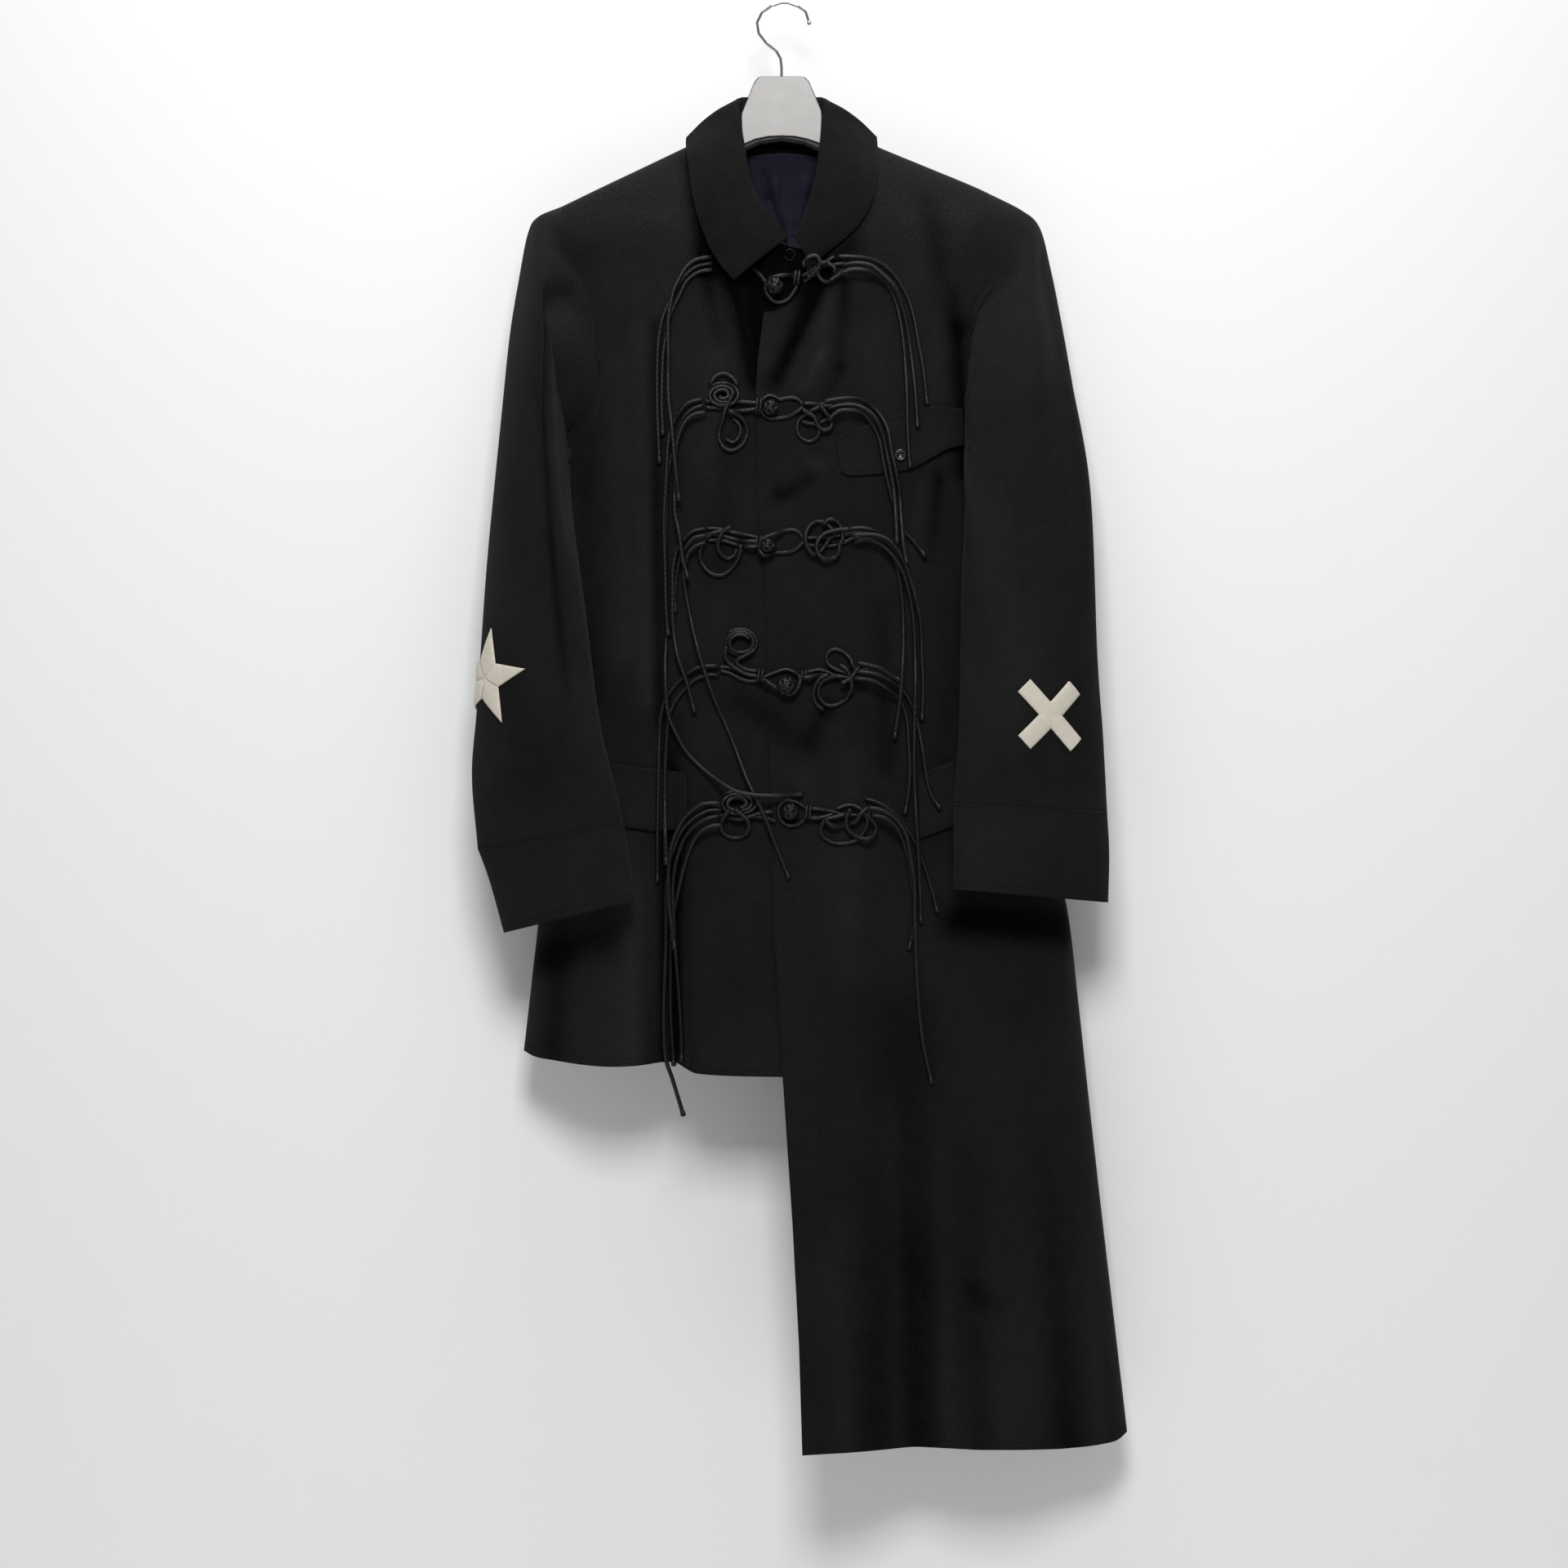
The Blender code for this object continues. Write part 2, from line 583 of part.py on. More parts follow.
def back_y(x, z):
    curve = bow(x, z)
    flat = body("side", z) + (body("back", z) - body("side", z)) * curve
    return np.maximum(flat + folds(x, z, ("back",)) * smoothstep(curve / FOLD_FADE), body("side", z) + GAP / 2)


def on_ridge(x, z):
    """Carries a place close to the shoulder ridge onto it."""
    if z < SHOULDER_END or abs(across(x, z)) < NEAR_RIDGE:
        return x
    return body("left" if x < 0 else "right", z)


def guide(row, hem, lower, follow=None):
    """The (x, z) places down one guide. follow gives x at a height, for a guide that is an edge."""
    x_top, z_top, x_chest, x_hem = row
    x_top = on_ridge(x_top, z_top)
    z_hem = along(hem, x_hem)
    z = z_top + (CHEST_LEVEL - z_top) * np.linspace(0, 1, UPPER_ROWS + 1) ** ROW_CROWDING
    pull = (z - CHEST_LEVEL) / (z_top - CHEST_LEVEL)
    x = x_chest + (x_top - x_chest) * pull**2
    low_z = np.linspace(CHEST_LEVEL, z_hem, lower + 1)[1:]
    t = (low_z - CHEST_LEVEL) / (z_hem - CHEST_LEVEL)
    turn = np.arcsin(across(x_chest, CHEST_LEVEL)) * (1 - t) + np.arcsin(across(x_hem, z_hem)) * t
    left, right = body("left", low_z), body("right", low_z)
    low_x = (left + right) / 2 + (right - left) / 2 * np.sin(turn)
    x, z = np.concatenate([x, low_x]), np.concatenate([z, low_z])
    if follow is not None:
        x = follow(z)
    return np.stack([x, z], axis=-1)


def panel(guides, hem, depth, edges, lower):
    """Grid of outer points of a panel, rows from the top down and columns along its guides."""
    followed = [edges[0]] + [None] * (len(guides) - 2) + [edges[1]]
    columns = [guide(row, hem, lower, follow) for row, follow in zip(guides, followed)]
    xz = np.stack(columns, axis=1)
    x, z = xz[..., 0], xz[..., 1]
    return np.stack([x, depth(x, z), z], axis=-1)


def normals(grid, closed=False):
    """Unit normals of a grid whose rows go down and whose columns go round to the viewer's right."""
    if closed:
        step_across = np.roll(grid, -1, axis=1) - np.roll(grid, 1, axis=1)
    else:
        step_across = np.gradient(grid, axis=1)
    step_down = np.gradient(grid, axis=0)
    n = np.cross(step_down, step_across)
    return n / np.linalg.norm(n, axis=-1, keepdims=True)


def panel_normals(grid, depth, facing):
    """Outward normals of a panel, facing -1 for a front and 1 for the back. At side and shoulder seams they lie
    in the seam's own plane, so that two panels meet edge to edge."""
    x, z = grid[..., 0], grid[..., 2]

    def slopes(height):
        step = SLOPE_STEP
        by_x = (height(x + step, z) - height(x - step, z)) / (2 * step)
        by_z = (height(x, z + step) - height(x, z - step)) / (2 * step)
        return np.clip(by_x, -STEEPEST, STEEPEST), np.clip(by_z, -STEEPEST, STEEPEST)

    by_x, by_z = slopes(depth)
    n = facing * np.stack([-by_x, np.ones_like(by_x), -by_z], axis=-1)
    seam_x, seam_z = slopes(lambda x, z: np.abs((2 * x - body("left", z) - body("right", z)) / SEAM_SCALE))
    seam_z = seam_z - slopes(lambda x, z: (body("right", z) - body("left", z)) / SEAM_SCALE)[1]
    in_seam = np.stack([seam_x, np.zeros_like(seam_x), seam_z], axis=-1)
    at_seam = np.abs(across(x, z)) > AT_SEAM
    n = np.where(at_seam[..., None], in_seam, n)
    return n / np.linalg.norm(n, axis=-1, keepdims=True)


def material(name):
    found = bpy.data.materials.get(name)
    if found:
        return found
    colour, roughness, metallic = PIECES[name]
    made = bpy.data.materials.new(name)
    made.use_nodes = True
    shader = made.node_tree.nodes["Principled BSDF"]
    shader.inputs["Base Color"].default_value = (*colour, 1.0)
    shader.inputs["Roughness"].default_value = roughness
    shader.inputs["Metallic"].default_value = metallic
    return made


def add_object(name, data, look):
    data.materials.append(material(look))
    made = bpy.data.objects.new(name, data)
    bpy.data.collections["asymmetric_coat"].objects.link(made)
    return made


def mesh_object(name, vertices, faces, look):
    mesh = bpy.data.meshes.new(name)
    mesh.from_pydata([tuple(v) for v in placed(vertices)], [], faces)
    bm = bmesh.new()
    bm.from_mesh(mesh)
    bmesh.ops.recalc_face_normals(bm, faces=bm.faces)
    bmesh.ops.triangulate(bm, faces=bm.faces)
    if bm.calc_volume(signed=True) < 0:
        bmesh.ops.reverse_faces(bm, faces=bm.faces)
    bm.to_mesh(mesh)
    bm.free()
    mesh.shade_smooth()
    return add_object(name, mesh, look)


def wall_faces(rows, columns, closed):
    """The quads of a closed wall whose outer points come before its inner ones."""
    behind = rows * columns
    spans = columns if closed else columns - 1
    faces = []
    for r in range(rows - 1):
        for c in range(spans):
            a, b = r * columns + c, r * columns + (c + 1) % columns
            faces.append((a, a + columns, b + columns, b))
            faces.append((a + behind, b + behind, b + columns + behind, a + columns + behind))
    for c in range(spans):
        for r in (0, rows - 1):
            a, b = r * columns + c, r * columns + (c + 1) % columns
            faces.append((a, b, b + behind, a + behind))
    if not closed:
        for r in range(rows - 1):
            for c in (0, columns - 1):
                a = r * columns + c
                faces.append((a, a + columns, a + columns + behind, a + behind))
    return faces


def split_faces(faces, outer):
    """Each quad as two triangles along its shorter diagonal, the same one on the outer and the inner face."""
    count = len(outer)
    parts = []
    for a, b, c, d in faces:
        first = np.linalg.norm(outer[a % count] - outer[c % count])
        second = np.linalg.norm(outer[b % count] - outer[d % count])
        parts += [(a, b, c), (a, c, d)] if first <= second else [(a, b, d), (b, c, d)]
    return parts


def crossing_points(vertices, faces):
    """The points of the faces that cut through others which they don't share a point with."""
    tree = BVHTree.FromPolygons([tuple(v) for v in vertices], faces)
    found = set()
    for i, j in tree.overlap(tree):
        if i < j and not set(faces[i]) & set(faces[j]):
            found.update(faces[i] + faces[j])
    return found


def wall(name, outer, inner, look, closed=False):
    """A closed wall between an outer and an inner grid, a loft between unlike sections that no primitive makes.
    Where its faces would cut each other, the wall gets thinner and its direction evens out."""
    rows, columns = outer.shape[:2]
    start = outer.reshape(-1, 3)
    faces = split_faces(wall_faces(rows, columns, closed), start)
    way = (inner - outer).reshape(-1, 3)
    thickness = np.linalg.norm(way, axis=1)[0]
    for _ in range(SETTLE_ROUNDS):
        crossing = crossing_points(np.concatenate([start, start + way]), faces)
        if not crossing:
            break
        size = np.linalg.norm(way, axis=1, keepdims=True)
        grid_way = (way / size).reshape(rows, columns, 3)
        spread = np.pad(grid_way, ((1, 1), (0, 0), (0, 0)), mode="edge")
        even = spread[:-2] + spread[2:] + 2 * grid_way
        if closed:
            even += np.roll(grid_way, 1, axis=1) + np.roll(grid_way, -1, axis=1)
        else:
            beside = np.pad(grid_way, ((0, 0), (1, 1), (0, 0)), mode="edge")
            even += beside[:, :-2] + beside[:, 2:]
        even = even.reshape(-1, 3)
        even /= np.linalg.norm(even, axis=1, keepdims=True)
        for k in {i % (rows * columns) for i in crossing}:
            row, column = divmod(k, columns)
            at_seam = row in (0, rows - 1) or (not closed and column in (0, columns - 1))
            turned = way[k] / size[k] if at_seam else even[k]
            way[k] = turned * max(size[k, 0] * THINNER, THINNEST * thickness)
    return mesh_object(name, np.concatenate([start, start + way]), faces, look)


def cloth(name, grid, n):
    return wall(name, grid, grid - n * CLOTH, "coat_cloth")


def side_at(name):
    """A function giving the x of one side of the body at a height."""
    return lambda z: body(name, z)


def sleeve_ring(row):
    """Outer points of one ring of a sleeve: from its outer edge round the front to its inner edge and back."""
    outer, inner = np.array(row[0:3], float), np.array(row[3:6], float)
    centre, reach = (outer + inner) / 2, (outer - inner) / 2
    turn = 2 * np.pi * np.arange(SLEEVE_STEPS) / SLEEVE_STEPS
    ring = centre + np.outer(np.cos(turn), reach) + np.outer(np.sin(turn), [0.0, -row[6], 0.0])
    return clear_of_body(ring)


def clear_of_body(points):
    """Keeps points that hang over the body in front of it."""
    p = points.copy()
    x, z = p[:, 0], p[:, 2]
    for shift in SLEEVE_SHIFTS:
        over = (np.abs(across(x + shift, z)) < 1) & (z < UNDER_ARMHOLE)
        limit = long_front_y(x + shift, z) - SLEEVE_CLEARANCE
        p[:, 1] = np.where(over, np.minimum(p[:, 1], limit), p[:, 1])
    return p


def tube_inward(grid, n):
    """Directions into a tube's wall: against its normals, or to its own centre line where they disagree."""
    middle = grid.mean(axis=1)
    run = np.gradient(middle, axis=0)
    run /= np.linalg.norm(run, axis=-1, keepdims=True)
    to_line = []
    for points in grid:
        offset = points[:, None, :] - middle[None, :, :]
        along_line = np.sum(offset * run[None], axis=-1)
        nearest = np.argmin(np.abs(along_line), axis=1)
        to_line.append(middle[nearest] - points)
    to_line = np.stack(to_line)
    to_line /= np.linalg.norm(to_line, axis=-1, keepdims=True)
    agree = np.clip(np.sum(-n * to_line, axis=-1, keepdims=True), 0, 1)
    inward = -n * agree + to_line * (1 - agree)
    return inward / np.linalg.norm(inward, axis=-1, keepdims=True)


def sleeve(name, armhole_points, armhole_inward, rows, outward):
    """A sleeve wall from the armhole's own points, moved out by the seam gap, to the cuff seam."""
    rise = np.cross(np.roll(armhole_points, -1, axis=0) - np.roll(armhole_points, 1, axis=0), armhole_inward)
    rise *= np.where(np.sum(rise * np.array([outward, 0, SLEEVE_RISE]), axis=1) < 0, -1, 1)[:, None]
    rise /= np.linalg.norm(rise, axis=1, keepdims=True)
    rings = [armhole_points + rise * ARMHOLE_GAP]
    rings += [sleeve_ring(row) for row in rows]
    grid = np.stack(rings)
    if outward > 0:
        grid, armhole_inward = grid[:, ::-1], armhole_inward[::-1]
    inward = tube_inward(grid, normals(grid, True))
    place = np.arange(SLEEVE_STEPS)
    low = np.clip((place - UNDERARM[0]) * (UNDERARM[1] - place) / UNDERARM_FADE, 0, 1)
    if outward > 0:
        low = low[::-1]
    inward[0] = armhole_inward * (1 - low[:, None]) + inward[0] * low[:, None]
    inward[0] /= np.linalg.norm(inward[0], axis=-1, keepdims=True)
    wall(name, grid, grid + inward * CLOTH, "coat_cloth", True)
    return grid, inward


def cuff(name, sleeve_grid, sleeve_inward, rows, outward):
    """A cuff wall that starts the seam gap below the sleeve's last ring."""
    run = sleeve_grid[-1].mean(axis=0) - sleeve_grid[-2].mean(axis=0)
    rings = [sleeve_ring(row) for row in rows]
    if outward > 0:
        rings = [ring[::-1] for ring in rings]
    grid = np.stack([sleeve_grid[-1] + run / np.linalg.norm(run) * CUFF_GAP] + rings)
    inward = -normals(grid, True)
    inward[0] = sleeve_inward[-1]
    wall(name, grid, grid + inward * CLOTH, "coat_cloth", True)


def armhole(front, front_n, front_columns, back, back_n, back_columns):
    """The armhole's points, down the front from the shoulder and up the back, and the wall's directions."""
    down, up = front[0, front_columns], back[0, back_columns]
    down[0, 1] = 0.0
    down[-1, 1] = body("side", down[-1, 2])
    return np.concatenate([down, up]), -np.concatenate([front_n[0, front_columns], back_n[0, back_columns]])


def build_body():
    """The two fronts and the back; returns their grids and the armholes that the sleeves start from."""
    edges = [lambda z: along(SHORT_FRONT_EDGE, z), side_at("left")]
    short = panel(SHORT_FRONT_GUIDES, SHORT_HEM, short_front_y, edges, SHORT_ROWS)
    edges = [lambda z: along(LONG_FRONT_EDGE, z), side_at("right")]
    long = panel(LONG_FRONT_GUIDES, LONG_HEM, long_front_y, edges, LONG_ROWS)
    back = panel(BACK_GUIDES, BACK_HEM, back_y, [side_at("left"), side_at("right")], BACK_ROWS)
    short, back = short[:, ::-1], back[:, ::-1]
    short_n = panel_normals(short, short_front_y, -1)
    long_n = panel_normals(long, long_front_y, -1)
    back_n = panel_normals(back, back_y, 1)
    cloth("front_right_short", short, short_n)
    cloth("front_left_long", long, long_n)
    cloth("back", back, back_n)
    right = armhole(short, short_n, RIGHT_ARMHOLE[0], back, back_n, RIGHT_ARMHOLE[1])
    left = armhole(long, long_n, LEFT_ARMHOLE[0], back, back_n, LEFT_ARMHOLE[1])
    lining(back[LINING_ROWS, LINING_COLUMNS], back_n[LINING_ROWS, LINING_COLUMNS])
    return short, long, back, right, left


def surface(grid):
    """The faces of a grid of points, to be met by lines that run along y."""
    rows, columns = grid.shape[:2]
    faces = []
    for r in range(rows - 1):
        for c in range(columns - 1):
            a, b = r * columns + c, r * columns + c + 1
            faces += [(a, a + columns, b + columns), (a, b + columns, b)]
    return BVHTree.FromPolygons([tuple(p) for p in grid.reshape(-1, 3)], faces)


def front_of(surfaces, x, z, reach=0.0):
    """Depth of the foremost of the surfaces at (x, z) and up to reach beside it; NaN beside them all."""
    depths = [np.nan]
    for shift in (-reach, 0.0, reach) if reach else (0.0,):
        for met in surfaces:
            hit = met.ray_cast((x + shift, -FAR_IN_FRONT, z), (0.0, 1.0, 0.0))[0]
            if hit is not None:
                depths.append(hit[1])
    return np.nanmin(depths) if len(depths) > 1 else np.nan


def filled(values):
    """Depths with the ones that are missing read between their neighbours."""
    known = ~np.isnan(values)
    return np.interp(np.arange(len(values)), np.nonzero(known)[0], values[known])


def between(upper, lower, rows):
    """A grid of (x, z) places between an upper and a lower edge, rows from the top down."""
    upper, lower = np.array(upper, float), np.array(lower, float)
    return np.stack([upper + (lower - upper) * t for t in np.linspace(0, 1, rows)])


def laid_on(name, surfaces, places, thickness):
    """A flat piece laid on the surfaces: its own points, moved out."""
    y = np.array([filled(np.array([front_of(surfaces, x, z, LAID_REACH) for x, z in row])) for row in places])
    inner = np.stack([places[..., 0], y - LAID_GAP, places[..., 1]], axis=-1)
    outer = inner - np.array([0.0, thickness, 0.0])
    wall(name, outer, inner, "coat_cloth")
    return outer


def neck_rim(short, back, long):
    """The neck edge of the two fronts and the back as they are built, from front to front round the neck."""
    return np.concatenate([short[0, SHORT_NECK], back[0, BACK_NECK], long[0, LONG_NECK]])


def on_line(line, x, z):
    """The depth of the place nearest to (x, z) on a line of points."""
    a, b = line[:-1], line[1:]
    run = b - a
    flat = run[:, [0, 2]]
    reached = (x - a[:, 0]) * flat[:, 0] + (z - a[:, 2]) * flat[:, 1]
    t = np.clip(reached / np.maximum(np.sum(flat**2, axis=1), TINY), 0, 1)
    nearest = a + run * t[:, None]
    return nearest[np.argmin(np.hypot(nearest[:, 0] - x, nearest[:, 2] - z)), 1]


def collar(rim):
    """One folded piece: up from the neckline inside the neck, over the roll and down onto the shoulders."""
    columns = []
    for (roll_x, roll_y, roll_z, edge_x, edge_z, lie, bulge), (neck_x, neck_z) in zip(COLLAR, NECKLINE):
        roll = np.array([roll_x, roll_y, roll_z], float)
        toward = np.array([-roll_x, -roll_y, 0.0])
        toward *= COLLAR_FOLD / np.linalg.norm(toward)
        drop = np.array([0.0, 0.0, -ROLL_DROP])
        neck_y = on_line(rim, neck_x, neck_z) + lie * STAND_INSET
        if lie > 0:
            edge_y = long_front_y(edge_x, edge_z) - COLLAR_LIE
        elif lie < 0:
            edge_y = back_y(edge_x, edge_z) + COLLAR_LIE
        else:
            edge_y = roll_y * 0.5
        up = np.array([roll_x - neck_x, 0.0, roll_z - neck_z])
        rise = SEAM_RISE if lie else 2 * SEAM_RISE
        neck = np.array([neck_x, neck_y, neck_z]) + up / np.linalg.norm(up) * rise
        edge = np.array([edge_x, edge_y, edge_z])
        fall = roll - toward + drop
        out = np.array([0.0, -lie, FALL_RISE if lie else 1.0])
        rest = [fall + (edge - fall) * t + out * bulge * np.sin(np.pi * t) for t in FALL_PLACES]
        rest = [lifted_clear(p, out) for p in [*rest, edge]]
        columns.append([neck, roll + toward + drop, roll, fall] + rest)
    grid = np.array(columns).transpose(1, 0, 2)
    wall("collar", grid, grid + normals(grid) * COLLAR_CLOTH, "coat_cloth")
    return grid[2:]


def lifted_clear(point, out):
    """Moves a point of the collar out until the wall under it clears the shoulders."""
    p = np.array(point, float)
    for _ in range(LIFT_ROUNDS):
        x, y, z = p
        low = z - COLLAR_CLEAR
        beside = abs(across(x, z)) < 1 and long_front_y(x, z) - COLLAR_CLEAR < y < back_y(x, z) + COLLAR_CLEAR
        above = abs(across(x, low)) < 1 and long_front_y(x, low) < y < back_y(x, low)
        if not beside and not above:
            return p
        p = p + out * LIFT_STEP
    return p


def lining(grid, n):
    """The lining that shows inside the neck: the back's own points, moved in."""
    outer = grid - n * (CLOTH + GAP)
    wall("neck_lining", outer, outer - n * LINING, "neck_lining")


def star_outline():
    """Corners of a five-pointed star, as developed on the sleeve: round from its outer edge, and down."""
    turn = STAR_TURN + np.pi / 2 + np.pi * np.arange(10) / 5
    radius = np.where(np.arange(10) % 2 == 0, STAR_RADIUS, STAR_RADIUS * STAR_INNER)
    return np.stack([STAR_CENTRE[0] + radius * np.cos(turn), STAR_CENTRE[1] + radius * np.sin(turn)], axis=-1)


def cross_outline():
    """Corners of two bars that cross at right angles."""
    reach, half = CROSS_BAR[0] / 2, CROSS_BAR[1] / 2
    corners = [(half, half), (reach, half), (reach, -half)]
    places = []
    for quarter in range(4):
        turn = CROSS_TURN - quarter * np.pi / 2
        for u, v in corners:
            places.append((u * np.cos(turn) - v * np.sin(turn), u * np.sin(turn) + v * np.cos(turn)))
    return np.array(places) + np.array(CROSS_CENTRE)


def on_sleeve(grid, s, z):
    """The place on a sleeve s round its front from its outer edge, at height z, with the way out there."""
    count = grid.shape[1]
    outward = normals(grid, True)
    step = 1 if grid[4, 1, 1] < grid[4, -1, 1] else -1
    if step < 0:
        grid, outward = grid[:, ::-1], outward[:, ::-1]
        grid, outward = np.roll(grid, 1, axis=1), np.roll(outward, 1, axis=1)
    line, ways = [], []
    for c in PATCH_COLUMNS:
        heights = grid[:, c % count, 2]
        line.append([np.interp(-z, -heights, grid[:, c % count, k]) for k in range(3)])
        ways.append([np.interp(-z, -heights, outward[:, c % count, k]) for k in range(3)])
    line, ways = np.array(line), np.array(ways)
    run = np.concatenate([[0], np.cumsum(np.linalg.norm(np.diff(line, axis=0), axis=1))])
    run -= run[PATCH_COLUMNS.index(0)]
    point = np.array([np.interp(s, run, line[:, k]) for k in range(3)])
    way = np.array([np.interp(s, run, ways[:, k]) for k in range(3)])
    return point, way / np.linalg.norm(way), run


def cut_outline(name, outline, grid):
    """A raised patch: its outline cut along the sleeve's own creases, laid on the sleeve and moved out."""
    bm = bmesh.new()
    bm.faces.new([bm.verts.new((s, z, 0.0)) for s, z in outline])
    middle = outline.mean(axis=0)
    creases = on_sleeve(grid, 0.0, middle[1])[2]
    for place in [*creases, *(creases + PATCH_CUT)]:
        parts = bm.verts[:] + bm.edges[:] + bm.faces[:]
        bmesh.ops.bisect_plane(bm, geom=parts, plane_co=(place, 0, 0), plane_no=(1, 0, 0))
    for height in (middle[1] - PATCH_CUT, middle[1] + PATCH_CUT):
        parts = bm.verts[:] + bm.edges[:] + bm.faces[:]
        bmesh.ops.bisect_plane(bm, geom=parts, plane_co=(0, height, 0), plane_no=(0, 1, 0))
    bm.verts.index_update()
    flat = [tuple(v.co) for v in bm.verts]
    faces = [tuple(v.index for v in f.verts) for f in bm.faces]
    edges = [tuple(v.index for v in e.verts) for e in bm.edges if e.is_boundary]
    bm.free()
    under, over = [], []
    for s, z, _ in flat:
        point, way, _ = on_sleeve(grid, s, z)
        under.append(point + way * PATCH_GAP)
        over.append(point + way * (PATCH_GAP + APPLIQUE))
    count = len(flat)
    solid = faces + [tuple(i + count for i in f[::-1]) for f in faces]
    solid += [(a, b, b + count, a + count) for a, b in edges]
    return mesh_object(name, np.array(under + over), solid, "patch_thread")


def flat_outline(name, outline, front, back, rounding, look):
    """A plate with an outline in (x, z) between two depths, with its two rims rounded off."""
    curve = bpy.data.curves.new(name, "CURVE")
    curve.dimensions = "2D"
    curve.fill_mode = "BOTH"
    spline = curve.splines.new("POLY")
    spline.points.add(len(outline) - 1)
    middle = (front + back) / 2
    for knot, p in zip(spline.points, placed([(x, middle, z) for x, z in outline])):
        knot.co = (p[0], p[2], 0.0, 1.0)
    spline.use_cyclic_u = True
    curve.extrude = ((back - front) / 2 - rounding) * MM
    curve.bevel_depth = rounding * MM
    curve.bevel_resolution = 0
    curve.offset = -rounding * MM
    made = add_object(name, curve, look)
    made.rotation_euler.x = np.pi / 2
    made.location.y = middle * MM
    return made


def disc(name, centre, radius, front, back, rounding, look):
    """A round plate that faces forward, with rounded rims."""
    mesh = bpy.data.meshes.new(name)
    bm = bmesh.new()
    radius, depth = radius * MM, (back - front) * MM
    bmesh.ops.create_cone(bm, cap_ends=True, segments=DISC_STEPS, radius1=radius, radius2=radius, depth=depth)
    bm.to_mesh(mesh)
    bm.free()
    made = add_object(name, mesh, look)
    made.location = placed((centre[0], (front + back) / 2, centre[1]))
    made.rotation_euler.x = np.pi / 2
    bevel = made.modifiers.new("rim", "BEVEL")
    bevel.width = rounding * MM
    bevel.segments = 1
    return made


def tube(name, points, radius, look, roundness=2):
    """A round tube along points on the front view, with filled caps."""
    curve = bpy.data.curves.new(name, "CURVE")
    curve.dimensions = "3D"
    spline = curve.splines.new("POLY")
    spline.points.add(len(points) - 1)
    for knot, p in zip(spline.points, placed(points)):
        knot.co = (*p, 1.0)
    curve.bevel_depth = radius * MM
    curve.bevel_resolution = roundness
    curve.use_fill_caps = True
    return add_object(name, curve, look)


def ball(name, centre, radius, look):
    """A stuffed knot as a ball."""
    mesh = bpy.data.meshes.new(name)
    bm = bmesh.new()
    bmesh.ops.create_uvsphere(bm, u_segments=BALL_STEPS, v_segments=BALL_STEPS // 2, radius=radius * MM)
    bmesh.ops.translate(bm, verts=bm.verts, vec=placed(centre))
    bm.to_mesh(mesh)
    bm.free()
    mesh.shade_smooth()
    return add_object(name, mesh, look)


def rounded_route(route, every):
    """A smooth curve through a route's own points, with points spread evenly along it."""
    p = np.array(route, float)
    padded = np.concatenate([2 * p[:1] - p[1:2], p, 2 * p[-1:] - p[-2:-1]])
    fine = []
    for i in range(len(p) - 1):
        a, b, c, d = padded[i:i + 4]
        t = np.linspace(0, 1, ROUTE_STEPS, endpoint=False)[:, None]
        curved = (2 * a - 5 * b + 4 * c - d) * t**2 + (3 * b - a - 3 * c + d) * t**3
        fine.append(0.5 * (2 * b + (c - a) * t + curved))
    fine = np.concatenate(fine + [p[-1:]])
    run = np.concatenate([[0], np.cumsum(np.linalg.norm(np.diff(fine, axis=0), axis=1))])
    count = max(int(round(run[-1] / every)), 2)
    at = np.linspace(0, run[-1], count + 1)
    return np.stack([np.interp(at, run, fine[:, i]) for i in (0, 1)], axis=-1)


class Laying:
    """Cords laid on the front one after another, each over what lies there already."""

    def __init__(self, surfaces, balls):
        self.surfaces = surfaces
        self.balls = balls
        self.laid = np.zeros((0, 3))

    def lay(self, route, every):
        """Points of one cord: on the cloth, over each earlier cord it crosses, in one long low hump."""
        fine = rounded_route(route, LAY_STEP)
        floor = filled(np.array([front_of(self.surfaces, x, z, CORD_DIAMETER / 2) for x, z in fine]))
        floor = spread_min(floor, 2)
        need = floor - CORD_DIAMETER / 2 - CORD_CLEARANCE
        pitch = CORD_DIAMETER + CORD_CLEARANCE
        for i, (x, z) in enumerate(fine):
            near = np.hypot(self.laid[:, 0] - x, self.laid[:, 2] - z)
            for k in np.nonzero(near < pitch)[0]:
                need[i] = min(need[i], self.laid[k, 1] - np.sqrt(pitch**2 - near[k] ** 2))
            for ball_x, ball_y, ball_z, radius in self.balls:
                off = np.hypot(ball_x - x, ball_z - z)
                reach = radius + CORD_DIAMETER / 2 + CORD_CLEARANCE
                if off < reach:
                    need[i] = min(need[i], ball_y - np.sqrt(reach**2 - off**2))
        need = self.over_itself(fine, need, pitch)
        y = soft_hump(need)
        for _ in range(CROSSING_ROUNDS):
            y = self.over_itself(fine, y, pitch)
            y = soft_hump(y)
        path = np.stack([fine[:, 0], y, fine[:, 1]], axis=-1)
        self.laid = np.concatenate([self.laid, path])
        count = int(np.ceil(LAY_STEP * len(path) / every)) + 1
        return path[np.unique(np.round(np.linspace(0, len(path) - 1, count)).astype(int))]

    def over_itself(self, fine, y, pitch):
        """Lifts the later run of a cord over its own earlier run where they cross."""
        y = y.copy()
        apart = int(TURN_BACK * pitch / LAY_STEP)
        for i in range(apart, len(fine)):
            near = np.hypot(*(fine[: i - apart] - fine[i]).T)
            for k in np.nonzero(near < pitch)[0]:
                y[i] = min(y[i], y[k] - np.sqrt(pitch**2 - near[k] ** 2))
        return y


